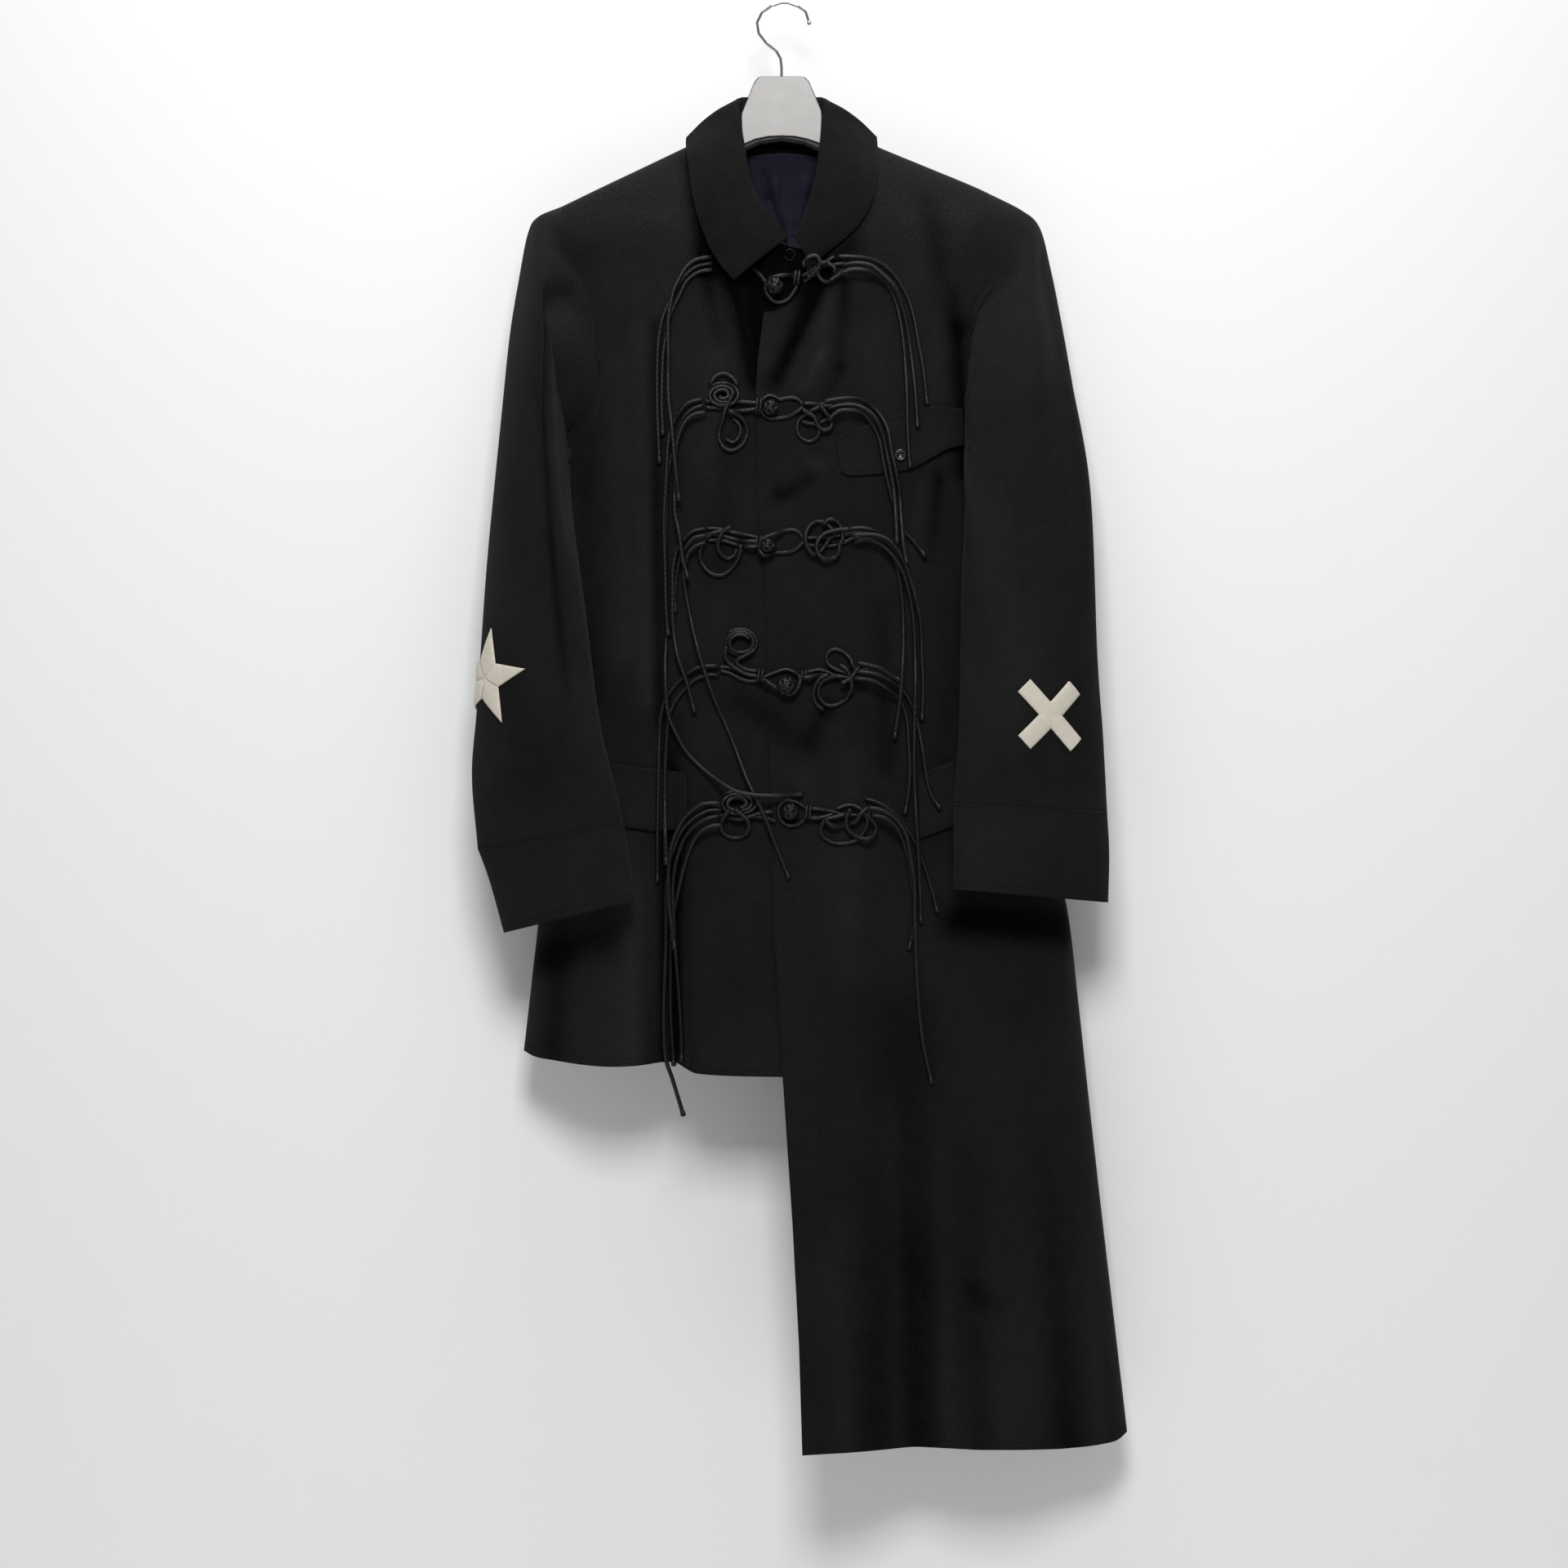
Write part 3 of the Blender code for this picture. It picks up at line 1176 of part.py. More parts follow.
def spread_min(values, reach):
    """The least of each value and its neighbours up to reach places away."""
    padded = np.pad(values, reach, mode="edge")
    return np.min([padded[i:i + len(values)] for i in range(2 * reach + 1)], axis=0)


def soft_hump(values):
    """A smoother line that never lies behind the given one."""
    wide = spread_min(values, HUMP_REACH)
    padded = np.pad(wide, HUMP_REACH, mode="edge")
    weights = np.hanning(2 * HUMP_REACH + 3)[1:-1]
    line = np.convolve(padded, weights / weights.sum(), mode="valid")
    return np.minimum(line, values)


def frogs(surfaces):
    """The five frogs: their balls, the curled cord round each, and the free strands."""
    balls = []
    for name, (x, z, radius) in FROG_KNOTS.items():
        y = min(front_of(surfaces, x + dx, z) for dx in (-radius / 2, 0, radius / 2)) - radius - GAP
        balls.append((x, y, z, radius))
        ball(name, (x, y, z), radius, "cord")
    laying = Laying(surfaces, balls)
    for name, route in FROG_LOOPS.items():
        tube(name, laying.lay(route, LOOP_POINT_EVERY), CORD_DIAMETER / 2, "cord", 1)
    for name, route in CORDS.items():
        tube(name, laying.lay(route, CORD_POINT_EVERY), CORD_DIAMETER / 2, "cord")


def build():
    for old in list(bpy.data.objects):
        bpy.data.objects.remove(old)
    group = bpy.data.collections.new("asymmetric_coat")
    bpy.context.scene.collection.children.link(group)
    short, long, back, right_armhole, left_armhole = build_body()
    right_grid, right_inward = sleeve("sleeve_right", *right_armhole, RIGHT_SLEEVE, -1)
    left_grid, left_inward = sleeve("sleeve_left", *left_armhole, LEFT_SLEEVE, 1)
    cuff("cuff_right", right_grid, right_inward, RIGHT_CUFF, -1)
    cuff("cuff_left", left_grid, left_inward, LEFT_CUFF, 1)
    fall = collar(neck_rim(short, back, long))
    tube("hanger_hook", [(x, 0, z) for x, z in HOOK_ROUTE], HOOK_WIRE / 2, "hook_steel")
    plate_back = PLATE_FRONT + PLATE_THICKNESS
    flat_outline("hanger_plate", PLATE, PLATE_FRONT, plate_back, PLATE_ROUNDING, "hanger_body")
    body_outline = list(HANGER_HALF) + [(-x, z) for x, z in HANGER_HALF[::-1] if x > 0]
    flat_outline("hanger_body", body_outline, plate_back + GAP, HANGER_BACK, HANGER_ROUNDING, "hanger_body")
    panels = [surface(short), surface(long), surface(fall)]
    chest = laid_on("chest_flap", panels, between(CHEST_FLAP_TOP, CHEST_FLAP_EDGE, 4), CLOTH)
    right_hip = laid_on("hip_flap_right", panels, between(RIGHT_HIP_TOP, RIGHT_HIP_EDGE, 3), CLOTH)
    left_hip = laid_on("hip_flap_left", panels, between(LEFT_HIP_TOP, LEFT_HIP_EDGE, 3), CLOTH)
    panels += [surface(chest), surface(right_hip), surface(left_hip)]
    y = front_of(panels, *BUTTON, BUTTON_DIAMETER / 2) - LAID_GAP
    disc("chest_button", BUTTON, BUTTON_DIAMETER / 2, y - BUTTON_THICKNESS, y, BUTTON_ROUNDING, "button_horn")
    cut_outline("star_patch", star_outline(), right_grid)
    cut_outline("cross_patch", cross_outline(), left_grid)
    eye = [(x, front_of(panels, x, z, 1.0) - EYE_WIRE, z) for x, z in rounded_route(NECK_EYE, 2 * EYE_WIRE)]
    tube("neck_hook", eye, EYE_WIRE / 2, "hook_steel")
    frogs(panels)


build()
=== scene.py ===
# %% [markdown]
# An asymmetric coat on a hanger, rebuilt from the front. The wearer's right front ends at the hip and the left
# one at the calf, and five corded frogs close them. The measured solids come in as a fixed frame, and this file
# dresses them: cloth, cords, patches, stitches and the pale wall behind.
#
# Places are written as a straight-on front view shows them, on a plane at the depth of the chest: x in
# millimetres to the right of the hook, and z in millimetres above its inside top, so mostly below 0. One
# function, placed(), carries such a place and its depth to the real point in metres, so a table can be checked
# against the view with a ruler.

import json
import math

import bmesh
import bpy
import numpy as np
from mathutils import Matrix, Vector
from mathutils.bvhtree import BVHTree

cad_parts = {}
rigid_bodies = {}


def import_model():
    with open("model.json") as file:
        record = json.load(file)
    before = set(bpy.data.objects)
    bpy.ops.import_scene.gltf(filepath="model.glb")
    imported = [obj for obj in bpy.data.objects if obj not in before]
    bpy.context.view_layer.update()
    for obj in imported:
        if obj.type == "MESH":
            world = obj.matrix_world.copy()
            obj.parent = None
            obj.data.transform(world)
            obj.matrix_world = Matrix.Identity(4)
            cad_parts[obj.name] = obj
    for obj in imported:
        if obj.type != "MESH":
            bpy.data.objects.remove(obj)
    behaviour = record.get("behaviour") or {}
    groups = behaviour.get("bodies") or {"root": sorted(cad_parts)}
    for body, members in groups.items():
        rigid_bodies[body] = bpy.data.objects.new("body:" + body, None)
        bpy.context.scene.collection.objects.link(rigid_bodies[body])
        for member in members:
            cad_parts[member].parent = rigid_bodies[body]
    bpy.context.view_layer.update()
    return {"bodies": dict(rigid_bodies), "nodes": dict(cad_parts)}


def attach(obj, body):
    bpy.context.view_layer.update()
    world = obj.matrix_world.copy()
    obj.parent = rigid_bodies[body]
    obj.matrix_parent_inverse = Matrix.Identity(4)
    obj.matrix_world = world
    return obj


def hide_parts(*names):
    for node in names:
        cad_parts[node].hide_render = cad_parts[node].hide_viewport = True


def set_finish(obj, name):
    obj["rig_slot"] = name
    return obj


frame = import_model()
root = next(iter(frame["bodies"]))
print("frame loaded:", len(frame["nodes"]), "solids, riding on", root)

# %% [markdown]
# The camera stands three metres in front of the hook's plane, level and square on, as the view shows neither
# the top of the shoulders from above nor the hems from below. A long lens keeps the sleeves upright. Its frame
# is square: 1.44 m wide where the chest is.

# %% Camera
VIEW_DISTANCE = 3000.0
CHEST_DEPTH = -50.0
VIEW_CENTRE = (2.25, -716.25)
VIEW_WIDTH = 1440.0
SENSOR_WIDTH = 36
MM = 0.001
# How much more the frame takes in at the hook's depth than at the chest's.
AT_HOOK = VIEW_DISTANCE / (VIEW_DISTANCE + CHEST_DEPTH)


def placed(points):
    """Carries points (x, y, z), on the front view at (x, z) and at depth y, in mm, to real ones in metres."""
    p = np.asarray(points, float)
    x, y, z = p[..., 0], p[..., 1], p[..., 2]
    spread = (VIEW_DISTANCE + y) / (VIEW_DISTANCE + CHEST_DEPTH)
    real_x = spread * x + VIEW_CENTRE[0] * (AT_HOOK - spread)
    real_z = spread * z + VIEW_CENTRE[1] * (AT_HOOK - spread)
    return np.stack([real_x, y, real_z], axis=-1) * MM


bpy.ops.object.camera_add(
    location=(VIEW_CENTRE[0] * AT_HOOK * MM, -VIEW_DISTANCE * MM, VIEW_CENTRE[1] * AT_HOOK * MM),
    rotation=(math.pi / 2, 0, 0),
)
camera = bpy.context.object
camera.name = "front_camera"
camera.data.sensor_width = SENSOR_WIDTH
camera.data.lens = SENSOR_WIDTH * (VIEW_DISTANCE + CHEST_DEPTH) / VIEW_WIDTH
bpy.context.scene.camera = camera
print("lens", round(camera.data.lens, 2), "mm")

# %% [markdown]
# Cloth has no thickness worth drawing in a table, so the coat is kept as one rule: how deep the front and the
# back lie at any place on the view. BODY gives rings round the coat from the collar down. Between them a
# smooth curve is read, and across a ring the depth falls away to the sides as on a squarish oval.

# %% The rings round the body
BODY_COLUMNS = ("z", "left", "right", "front", "back", "side", "squareness")
BODY = (
    (-112, -46, 46, -4, 4, 0, 2.0),
    (-131, -87, 88, -24, 20, 0, 2.1),
    (-152, -131, 139, -36, 28, 0, 2.3),
    (-170, -169, 182, -44, 33, 0, 2.4),
    (-186, -202, 214, -49, 37, 0, 2.5),
    (-197, -226, 236, -52, 39, 0, 2.6),
    (-250, -222, 234, -58, 43, 0, 2.6),
    (-300, -212, 222, -62, 46, 1, 2.6),
    (-400, -199, 201, -66, 48, 2, 2.6),
    (-500, -200, 200, -65, 50, 3, 2.8),
    (-600, -205, 208, -64, 52, 4, 3.0),
    (-700, -212, 226, -64, 53, 5, 3.0),
    (-829, -222, 262, -64, 54, 6, 3.0),
    (-911, -231, 272, -63, 55, 7, 2.9),
    (-985, -239, 280, -62, 56, 8, 2.8),
    (-1084, -244, 291, -61, 58, 12, 2.6),
    (-1196, -250, 304, -60, 60, 16, 2.5),
    (-1333, -256, 320, -59, 62, 20, 2.4),
)


def smoothstep(t):
    t = np.clip(t, 0.0, 1.0)
    return t * t * (3 - 2 * t)


def smooth(places, values, at):
    """A smooth curve through (places, values), read at each place in at. Rows of values are read together."""
    order = np.argsort(places)
    places = np.asarray(places, float)[order]
    values = np.asarray(values, float)[order]
    slopes = np.gradient(values, places, axis=0)
    at = np.clip(at, places[0], places[-1])
    i = np.clip(np.searchsorted(places, at) - 1, 0, len(places) - 2)
    step = places[i + 1] - places[i]
    t = (at - places[i]) / step
    if values.ndim > 1:
        extra = (slice(None),) + (None,) * (values.ndim - 1)
        step, t = step[extra], t[extra]
    start = (1 + 2 * t) * (1 - t) ** 2 * values[i] + t * (1 - t) ** 2 * step * slopes[i]
    end = t * t * (3 - 2 * t) * values[i + 1] + t * t * (t - 1) * step * slopes[i + 1]
    return start + end


def run_of(points):
    """How far along a line each of its points lies."""
    return np.concatenate([[0], np.cumsum(np.linalg.norm(np.diff(points, axis=0), axis=1))])


def read_line(at, run, line):
    """The points at some places along a line whose own points lie at run."""
    return np.stack([np.interp(at, run, line[:, k]) for k in range(line.shape[1])], axis=-1)


def body(name, z):
    """A named column of BODY at height z."""
    return smooth([row[0] for row in BODY], [row[BODY_COLUMNS.index(name)] for row in BODY], z)


def along(pairs, at):
    """Straight-line reading of a short table of (place, value) pairs."""
    ordered = sorted(pairs)
    return np.interp(at, [p[0] for p in ordered], [p[1] for p in ordered])


def across(x, z):
    """Where x lies across the body at height z: -1 at the left side seam, 1 at the right one."""
    left, right = body("left", z), body("right", z)
    return np.clip((2 * x - left - right) / (right - left), -1, 1)


def bow(x, z):
    """How far round the ring has left the side seam: 0 at a side, 1 in the middle."""
    return np.sqrt(np.clip(1 - np.abs(across(x, z)) ** body("squareness", z), 0, 1))


print("rings:", len(BODY), "and the chest is", round(float(body("right", -500.0) - body("left", -500.0))), "mm wide")

# %% [markdown]
# Folds are the coat's own handwriting. Each is a soft ridge or valley along a line: FOLDS holds the large ones
# that the solids carry too, and CREASES the finer ones that only the cloth here has: drag lines from the
# armholes, the soft gathers over the frogs, and the ripples that run down to the hems.

# %% Large folds, fine creases and places of painted shade
# Each row: the cloth, x and z where the fold starts and where it ends, its width, and its height at both ends.
FOLDS = (
    ("front", -166, -700, -166, -985, 34, 2, 14),
    ("front", -101, -640, -97, -985, 10, 0, -30),
    ("throat", -24, -262, -17, -345, 13, -11, -6),
    ("front", 36, -250, -8, -350, 9, -7, -4),
    ("front", 134, -184, 160, -300, 11, -3, -4.5),
    ("front", 160, -300, 168, -430, 8, -4.5, -8),
    ("front", 112, -940, 124, -1333, 30, -8, -20),
    ("front", 206, -980, 206, -1333, 36, 3, 8),
    ("front", -38, -640, 14, -676, 14, -3, -3),
    ("back", -105, -420, -120, -955, 26, -4, -12),
    ("back", 20, -520, 12, -955, 30, 3, 9),
    ("back", 128, -430, 150, -955, 28, -4, -12),
)
CREASES = (
    ("throat", -30, -246, -20, -340, 15, -10, -6),
    ("front", 26, -436, 2, -452, 7, -4.2, -3.2),
    ("front", -4, -450, -14, -462, 6, -2.4, -0.6),
    ("front", 34, -424, 22, -440, 9, 2.4, 1.2),
    ("front", -117, -295, -111, -660, 6, -3.0, -5.0),
    ("front", -129, -300, -126, -640, 9, 1.6, 2.6),
    ("front", -150, -330, -145, -600, 12, 1.5, 2.0),
    ("front", 144, -436, 137, -512, 7, -4.4, -1.6),
    ("front", 130, -450, 122, -520, 9, 1.6, 1.2),
    ("front", 152, -250, 140, -380, 8, 1.6, 1.0),
    ("front", 88, -300, 80, -470, 14, 1.4, 0.6),
    ("front", 58, -262, 52, -330, 7, -4.0, -2.2),
    ("front", 44, -266, 36, -330, 8, 2.2, 1.2),
    ("front", 55, -335, 42, -364, 6, -3.0, -1.6),
    ("front", 36, -325, 21, -356, 6, 2.6, 1.4),
    ("front", 30, -272, -2, -344, 6, -3.4, -2.6),
    ("front", 40, -648, 21, -694, 9, -4.0, -2.2),
    ("front", 21, -694, 24, -740, 9, 2.0, 0.8),
    ("front", -70, -250, -58, -310, 6, -3.6, -1.8),
    ("front", -62, -330, -72, -420, 12, 1.6, 0.8),
    ("front", -47, -410, -60, -520, 12, -1.4, -1.0),
    ("front", 66, -690, 60, -900, 12, 1.4, 1.8),
    ("front", 92, -560, 98, -700, 10, -1.8, -2.6),
    ("front", -190, -330, -172, -420, 9, -2.0, -1.0),
    ("front", -180, -430, -172, -640, 10, -1.6, -2.6),
    ("front", -190, -560, -186, -760, 9, 1.4, 2.2),
    ("front", -198, -770, -206, -960, 12, -1.0, -3.6),
    ("front", -140, -740, -136, -975, 12, 1.4, 3.0),
    ("front", -122, -820, -120, -975, 7, -1.0, -2.4),
    ("front", 100, -1010, 108, -1325, 9, 1.2, 2.6),
    ("front", 78, -1080, 84, -1325, 14, -0.8, -2.6),
    ("front", 50, -1130, 56, -1328, 12, 0.6, 1.8),
    ("front", 144, -1020, 152, -1325, 9, 1.0, 2.8),
    ("front", 172, -1060, 184, -1325, 14, -1.2, -3.2),
    ("front", 240, -1060, 262, -1320, 15, -1.2, -4.0),
    ("front", 276, -1120, 292, -1318, 9, 0.8, 2.4),
    ("front", 178, -1184, 204, -1194, 10, -2.4, -1.6),
    # Hollows under the cuffs. Being narrow, they also put painted shade into the wool's colour there.
    ("front", -232, -878, -160, -862, 19, -6.0, -5.0),
    ("front", 162, -842, 270, -846, 19, -6.0, -6.5),
    ("front", 160, -560, 150, -700, 16, -1.4, -2.0),
    ("front", 184, -480, 180, -640, 12, 1.2, 1.8),
    ("back", -150, -230, -80, -330, 16, -1.6, -0.8),
    ("back", 140, -225, 84, -330, 16, -1.6, -0.8),
    ("back", -60, -470, -66, -950, 15, 1.4, 3.4),
    ("back", 66, -450, 82, -950, 17, -1.2, -4.0),
    ("back", -160, -520, -176, -950, 15, 1.2, 4.0),
    ("back", 178, -560, 208, -950, 16, 1.0, 3.6),
    ("back", -24, -600, -28, -950, 12, -1.0, -2.8),
)
# Places that light hardly reaches: painted shade darkens the wool's colour there, while the cloth keeps its shape.
PAINTED_SHADE_PLACES = (
    ("front", -82, -146, -68, -236, 10, -7.0, -7.0),
    ("throat", -60, -236, -30, -262, 15, -7.0, -7.0),
    ("front", -45, -222, 22, -226, 17, -8.0, -8.0),
    ("front", -14, -262, 28, -252, 15, -7.0, -7.0),
    ("front", 44, -238, 66, -222, 9, -4.0, -4.0),
)
# The strip beside the short front's edge: where its lip runs, and where it starts, ends and fades.
STRIP_LIP = ((-985, -85), (-800, -86), (-640, -91))
STRIP_HEIGHT, STRIP_TOP, STRIP_GROWTH = 12.0, -590, 300
STRIP_BANK, STRIP_END, STRIP_FADE = 8, 45, 80
# The long front laps over the short one up to here.
LAP_HEIGHT, LAP_END, LAP_FADE = 4.0, 55, 50
# Folds fade out towards the side seams, over this share of the bow.
SIDE_FADE = 0.45
SEAM_GAP = -0.2
# Worn cloth: how fast each wave turns across and down, in radians to the mm, where it starts, and its height.
WAVES = (
    (0.031, 0.012, 0.0, 0.30), (-0.017, 0.023, 1.3, 0.26), (0.052, -0.019, 2.1, 0.14), (0.011, 0.041, 4.0, 0.18),
)


def folds(x, z, cloths, rows=FOLDS + CREASES):
    """Height of the folds and creases of the named cloths at (x, z)."""
    total = np.zeros(np.broadcast(x, z).shape)
    for cloth, x0, z0, x1, z1, width, start, end in rows:
        if cloth not in cloths:
            continue
        run = np.hypot(x1 - x0, z1 - z0)
        t = np.clip(((x - x0) * (x1 - x0) + (z - z0) * (z1 - z0)) / run**2, 0, 1)
        off = np.hypot(x - x0 - t * (x1 - x0), z - z0 - t * (z1 - z0))
        total += (start + (end - start) * t) * np.exp(-((off / width) ** 2))
    return total


def ripple(x, z):
    """The slight unevenness of worn cloth: a few long slanting waves of under half a millimetre."""
    return sum(high * np.sin(along_x * x + along_z * z + shift) for along_x, along_z, shift, high in WAVES)


def strip(x, z):
    """Height of the strip beside the front edge, which stands out over the deep fold."""
    grown = smoothstep((STRIP_TOP - z) / STRIP_GROWTH)
    bank = smoothstep((x - along(STRIP_LIP, z) + 6) / STRIP_BANK)
    return STRIP_HEIGHT * grown * bank * (1 - smoothstep((x - STRIP_END) / STRIP_FADE))


def front_y(x, z, cloths=("front",)):
    """Depth of the front at (x, z), as its outer face."""
    curve = bow(x, z)
    flat = body("side", z) + (body("front", z) - body("side", z)) * curve
    return flat - (folds(x, z, cloths) + ripple(x, z) + strip(x, z)) * smoothstep(curve / SIDE_FADE)


def short_front_y(x, z):
    """Depth of the short front's outer face, never behind the side seam."""
    return np.minimum(front_y(x, z, ("front", "throat")), body("side", z) - SEAM_GAP / 2)


def long_front_y(x, z):
    """Depth of the long front's outer face, which laps over the short one."""
    over = LAP_HEIGHT * (1 - smoothstep((x - LAP_END) / LAP_FADE)) * smoothstep(bow(x, z) / SIDE_FADE)
    return np.minimum(front_y(x, z) - over, body("side", z) - SEAM_GAP / 2)


def back_y(x, z):
    """Depth of the back's outer face."""
    curve = bow(x, z)
    flat = body("side", z) + (body("back", z) - body("side", z)) * curve
    raised = folds(x, z, ("back",)) + ripple(x + 90, z)
    return np.maximum(flat + raised * smoothstep(curve / SIDE_FADE), body("side", z) + SEAM_GAP / 2)


print("folds:", len(FOLDS), "large and", len(CREASES), "fine")

# %% [markdown]
# Each front is cut from a pattern, so its outline is given by guides: lines that run from the neck, shoulder or
# armhole down to the hem. A guide names where it starts, where it crosses the chest and where it meets the hem.
# The cloth is then a grid whose columns follow the guides. Corners of the pattern are kept sharp by reading the
# guides between them as separate smooth runs.

# %% The pattern of the body
CHEST_LEVEL = -420.0
SHOULDER_END = -195.0
UPPER_ROWS = 5
ROW_CROWDING = 1.7
# A panel's true edge is eased in over this many columns, and its shoulder's ridge over this many rows.
EDGE_COLUMNS, RIDGE_ROWS = 12.0, 9.0
# Each guide: x and z of its top end, x at the chest, x at the hem.
SHORT_FRONT_GUIDES = (
    (21, -225, 38, 40), (7, -222, 22, 12), (-14, -212, 2, -18), (-32, -184, -20, -50), (-43, -150, -42, -76),
    (-46, -112, -66, -83), (-87, -131, -86, -89), (-131, -152, -102, -98), (-202, -186, -116, -110),
    (-197, -221, -128, -134), (-181, -258, -141, -160), (-169, -306, -164, -186), (-170, -350, -174, -208),
    (-185, -380, -188, -226), (-199, -395, -199, -240),
)
LONG_FRONT_GUIDES = (
    (-16, -283, -23, 19), (0, -280, -6, 40), (14, -270, 12, 60), (22, -258, 30, 80), (36, -243, 46, 100),
    (40, -214, 62, 121), (44, -180, 78, 142), (47, -150, 90, 162), (46, -112, 102, 182), (88, -131, 114, 201),
    (139, -152, 124, 219), (188, -173, 134, 236), (185, -205, 144, 252), (190, -240, 155, 267),
    (196, -285, 166, 281), (195, -330, 177, 294), (191, -366, 189, 308), (200, -392, 201, 320),
)
BACK_GUIDES = (
    (-199, -395, -199, -240), (-190, -380, -189, -219), (-181, -346, -177, -197), (-177, -306, -165, -174),
    (-183, -260, -151, -150), (-195, -219, -137, -127), (-202, -186, -122, -104), (-131, -152, -92, -76),
    (-46, -112, -58, -48), (-28, -129, -28, -24), (0, -133, 0, 6), (28, -129, 30, 38), (46, -112, 60, 72),
    (139, -152, 96, 108), (188, -173, 124, 144), (184, -208, 139, 168), (175, -256, 152, 192),
    (170, -306, 165, 214), (174, -348, 178, 236), (189, -380, 190, 258), (200, -392, 201, 279),
)
LONG_FRONT_EDGE = (
    (-283, -16), (-326, -22), (-366, -24), (-446, -23), (-484, -20), (-521, -15), (-596, -14),
    (-671, -11), (-791, -9), (-859, -7), (-896, -4), (-986, 1), (-1121, 10), (-1234, 16), (-1333, 19),
)
SHORT_FRONT_EDGE = ((-225, 21), (-300, 31), (-420, 38), (-986, 40))
SHORT_HEM = (
    (-240, -961), (-230, -966), (-193, -973), (-166, -976), (-140, -976), (-118, -973), (-106, -971),
    (-96, -972), (-86, -979), (-80, -982), (-65, -984), (-28, -985), (40, -986),
)
LONG_HEM = (
    (19, -1333), (70, -1330), (100, -1327), (122, -1325), (145, -1326), (182, -1328), (220, -1328),
    (257, -1327), (287, -1324), (302, -1321), (314, -1317), (320, -1311),
)
BACK_HEM = ((-240, -955), (-100, -951), (0, -950), (150, -951), (279, -952))


def on_ridge(x, z):
    """Carries a place close to the shoulder ridge onto it."""
    if z < SHOULDER_END or abs(across(x, z)) < 0.9:
        return x
    return body("left" if x < 0 else "right", z)


def guide(row, hem, lower, follow=None):
    """The (x, z) places down one guide. follow gives x at a height, for a guide that is an edge."""
    x_top, z_top, x_chest, x_hem = row
    x_top = on_ridge(x_top, z_top)
    z_hem = along(hem, x_hem)
    z = z_top + (CHEST_LEVEL - z_top) * np.linspace(0, 1, UPPER_ROWS + 1) ** ROW_CROWDING
    x = x_chest + (x_top - x_chest) * ((z - CHEST_LEVEL) / (z_top - CHEST_LEVEL)) ** 2
    low_z = np.linspace(CHEST_LEVEL, z_hem, lower + 1)[1:]
    t = (low_z - CHEST_LEVEL) / (z_hem - CHEST_LEVEL)
    turn = np.arcsin(across(x_chest, CHEST_LEVEL)) * (1 - t) + np.arcsin(across(x_hem, z_hem)) * t
    left, right = body("left", low_z), body("right", low_z)
    low_x = (left + right) / 2 + (right - left) / 2 * np.sin(turn)
    x, z = np.concatenate([x, low_x]), np.concatenate([z, low_z])
    if follow is not None:
        x = follow(z)
    return np.stack([x, z], axis=-1)


def finer(values, count, corners=()):
    """Reads a row of points at count even places, in smooth runs that meet at the corners."""
    last = len(values) - 1
    stops = sorted({0, last, *corners})
    at = np.linspace(0, last, count)
    out = np.zeros((count,) + values.shape[1:])
    for a, b in zip(stops[:-1], stops[1:]):
        inside = (at >= a) & (at <= b)
        places = np.arange(a, b + 1)
        if b - a < 2:
            t = (at[inside] - a).reshape((-1,) + (1,) * (values.ndim - 1))
            out[inside] = values[a] + (values[b] - values[a]) * t
        else:
            out[inside] = smooth(places, values[a:b + 1], at[inside])
    return out


def pattern_lines(cut):
    """Points down each guide of a panel's cut, whose first and last guide follow its edges."""
    guides, hem, edges, lower = cut
    followed = [edges[0]] + [None] * (len(guides) - 2) + [edges[1]]
    return np.stack([guide(row, hem, lower, follow) for row, follow in zip(guides, followed)], axis=1)


def panel(cut, depth, rows, columns, corners, shoulders):
    """Grid of outer points of a panel, rows from the top down and columns from its first guide to its last.

    shoulders gives the guides between which the top edge is a shoulder seam, which runs on the ridge.
    """
    guides, _, edges, _ = cut
    fine = finer(pattern_lines(cut), rows, (UPPER_ROWS,))
    fine = finer(fine.transpose(1, 0, 2), columns, corners).transpose(1, 0, 2)
    x, z = fine[..., 0], fine[..., 1]
    for edge, follow, way in ((0, edges[0], 1), (columns - 1, edges[1], -1)):
        away = way * (np.arange(columns) - edge)
        x = x + (follow(z[:, edge]) - x[:, edge])[:, None] * (1 - smoothstep(away / EDGE_COLUMNS))
    place = np.linspace(0, len(guides) - 1, columns)
    for first, last in shoulders:
        ridge = body("left" if guides[last][0] < 0 else "right", z[0])
        on_seam = (place >= first) & (place <= last)
        x = x + (ridge - x[0]) * on_seam * (1 - smoothstep(np.arange(rows) / RIDGE_ROWS))[:, None]
    return np.stack([x, depth(x, z), z], axis=-1)


def side(name):
    """A function giving the x of one side of the body at a height."""
    return lambda z: body(name, z)


def drawn(line):
    """A function giving the x of a drawn edge at a height."""
    return lambda z: along(line, z)


# Each cut: its guides, its hem, its two edges, and the rows of points below the chest.
short_cut = (SHORT_FRONT_GUIDES, SHORT_HEM, (drawn(SHORT_FRONT_EDGE), side("left")), 8)
long_cut = (LONG_FRONT_GUIDES, LONG_HEM, (drawn(LONG_FRONT_EDGE), side("right")), 10)
back_cut = (BACK_GUIDES, BACK_HEM, (side("left"), side("right")), 5)
short = panel(short_cut, short_front_y, 210, 99, (5, 8), ((5, 8),))[:, ::-1]
long = panel(long_cut, long_front_y, 270, 103, (4, 8, 11), ((8, 11),))
back = panel(back_cut, back_y, 190, 121, (6, 8, 12, 14), ((6, 8), (12, 14)))[:, ::-1]
print("grids:", short.shape[:2], long.shape[:2], back.shape[:2])

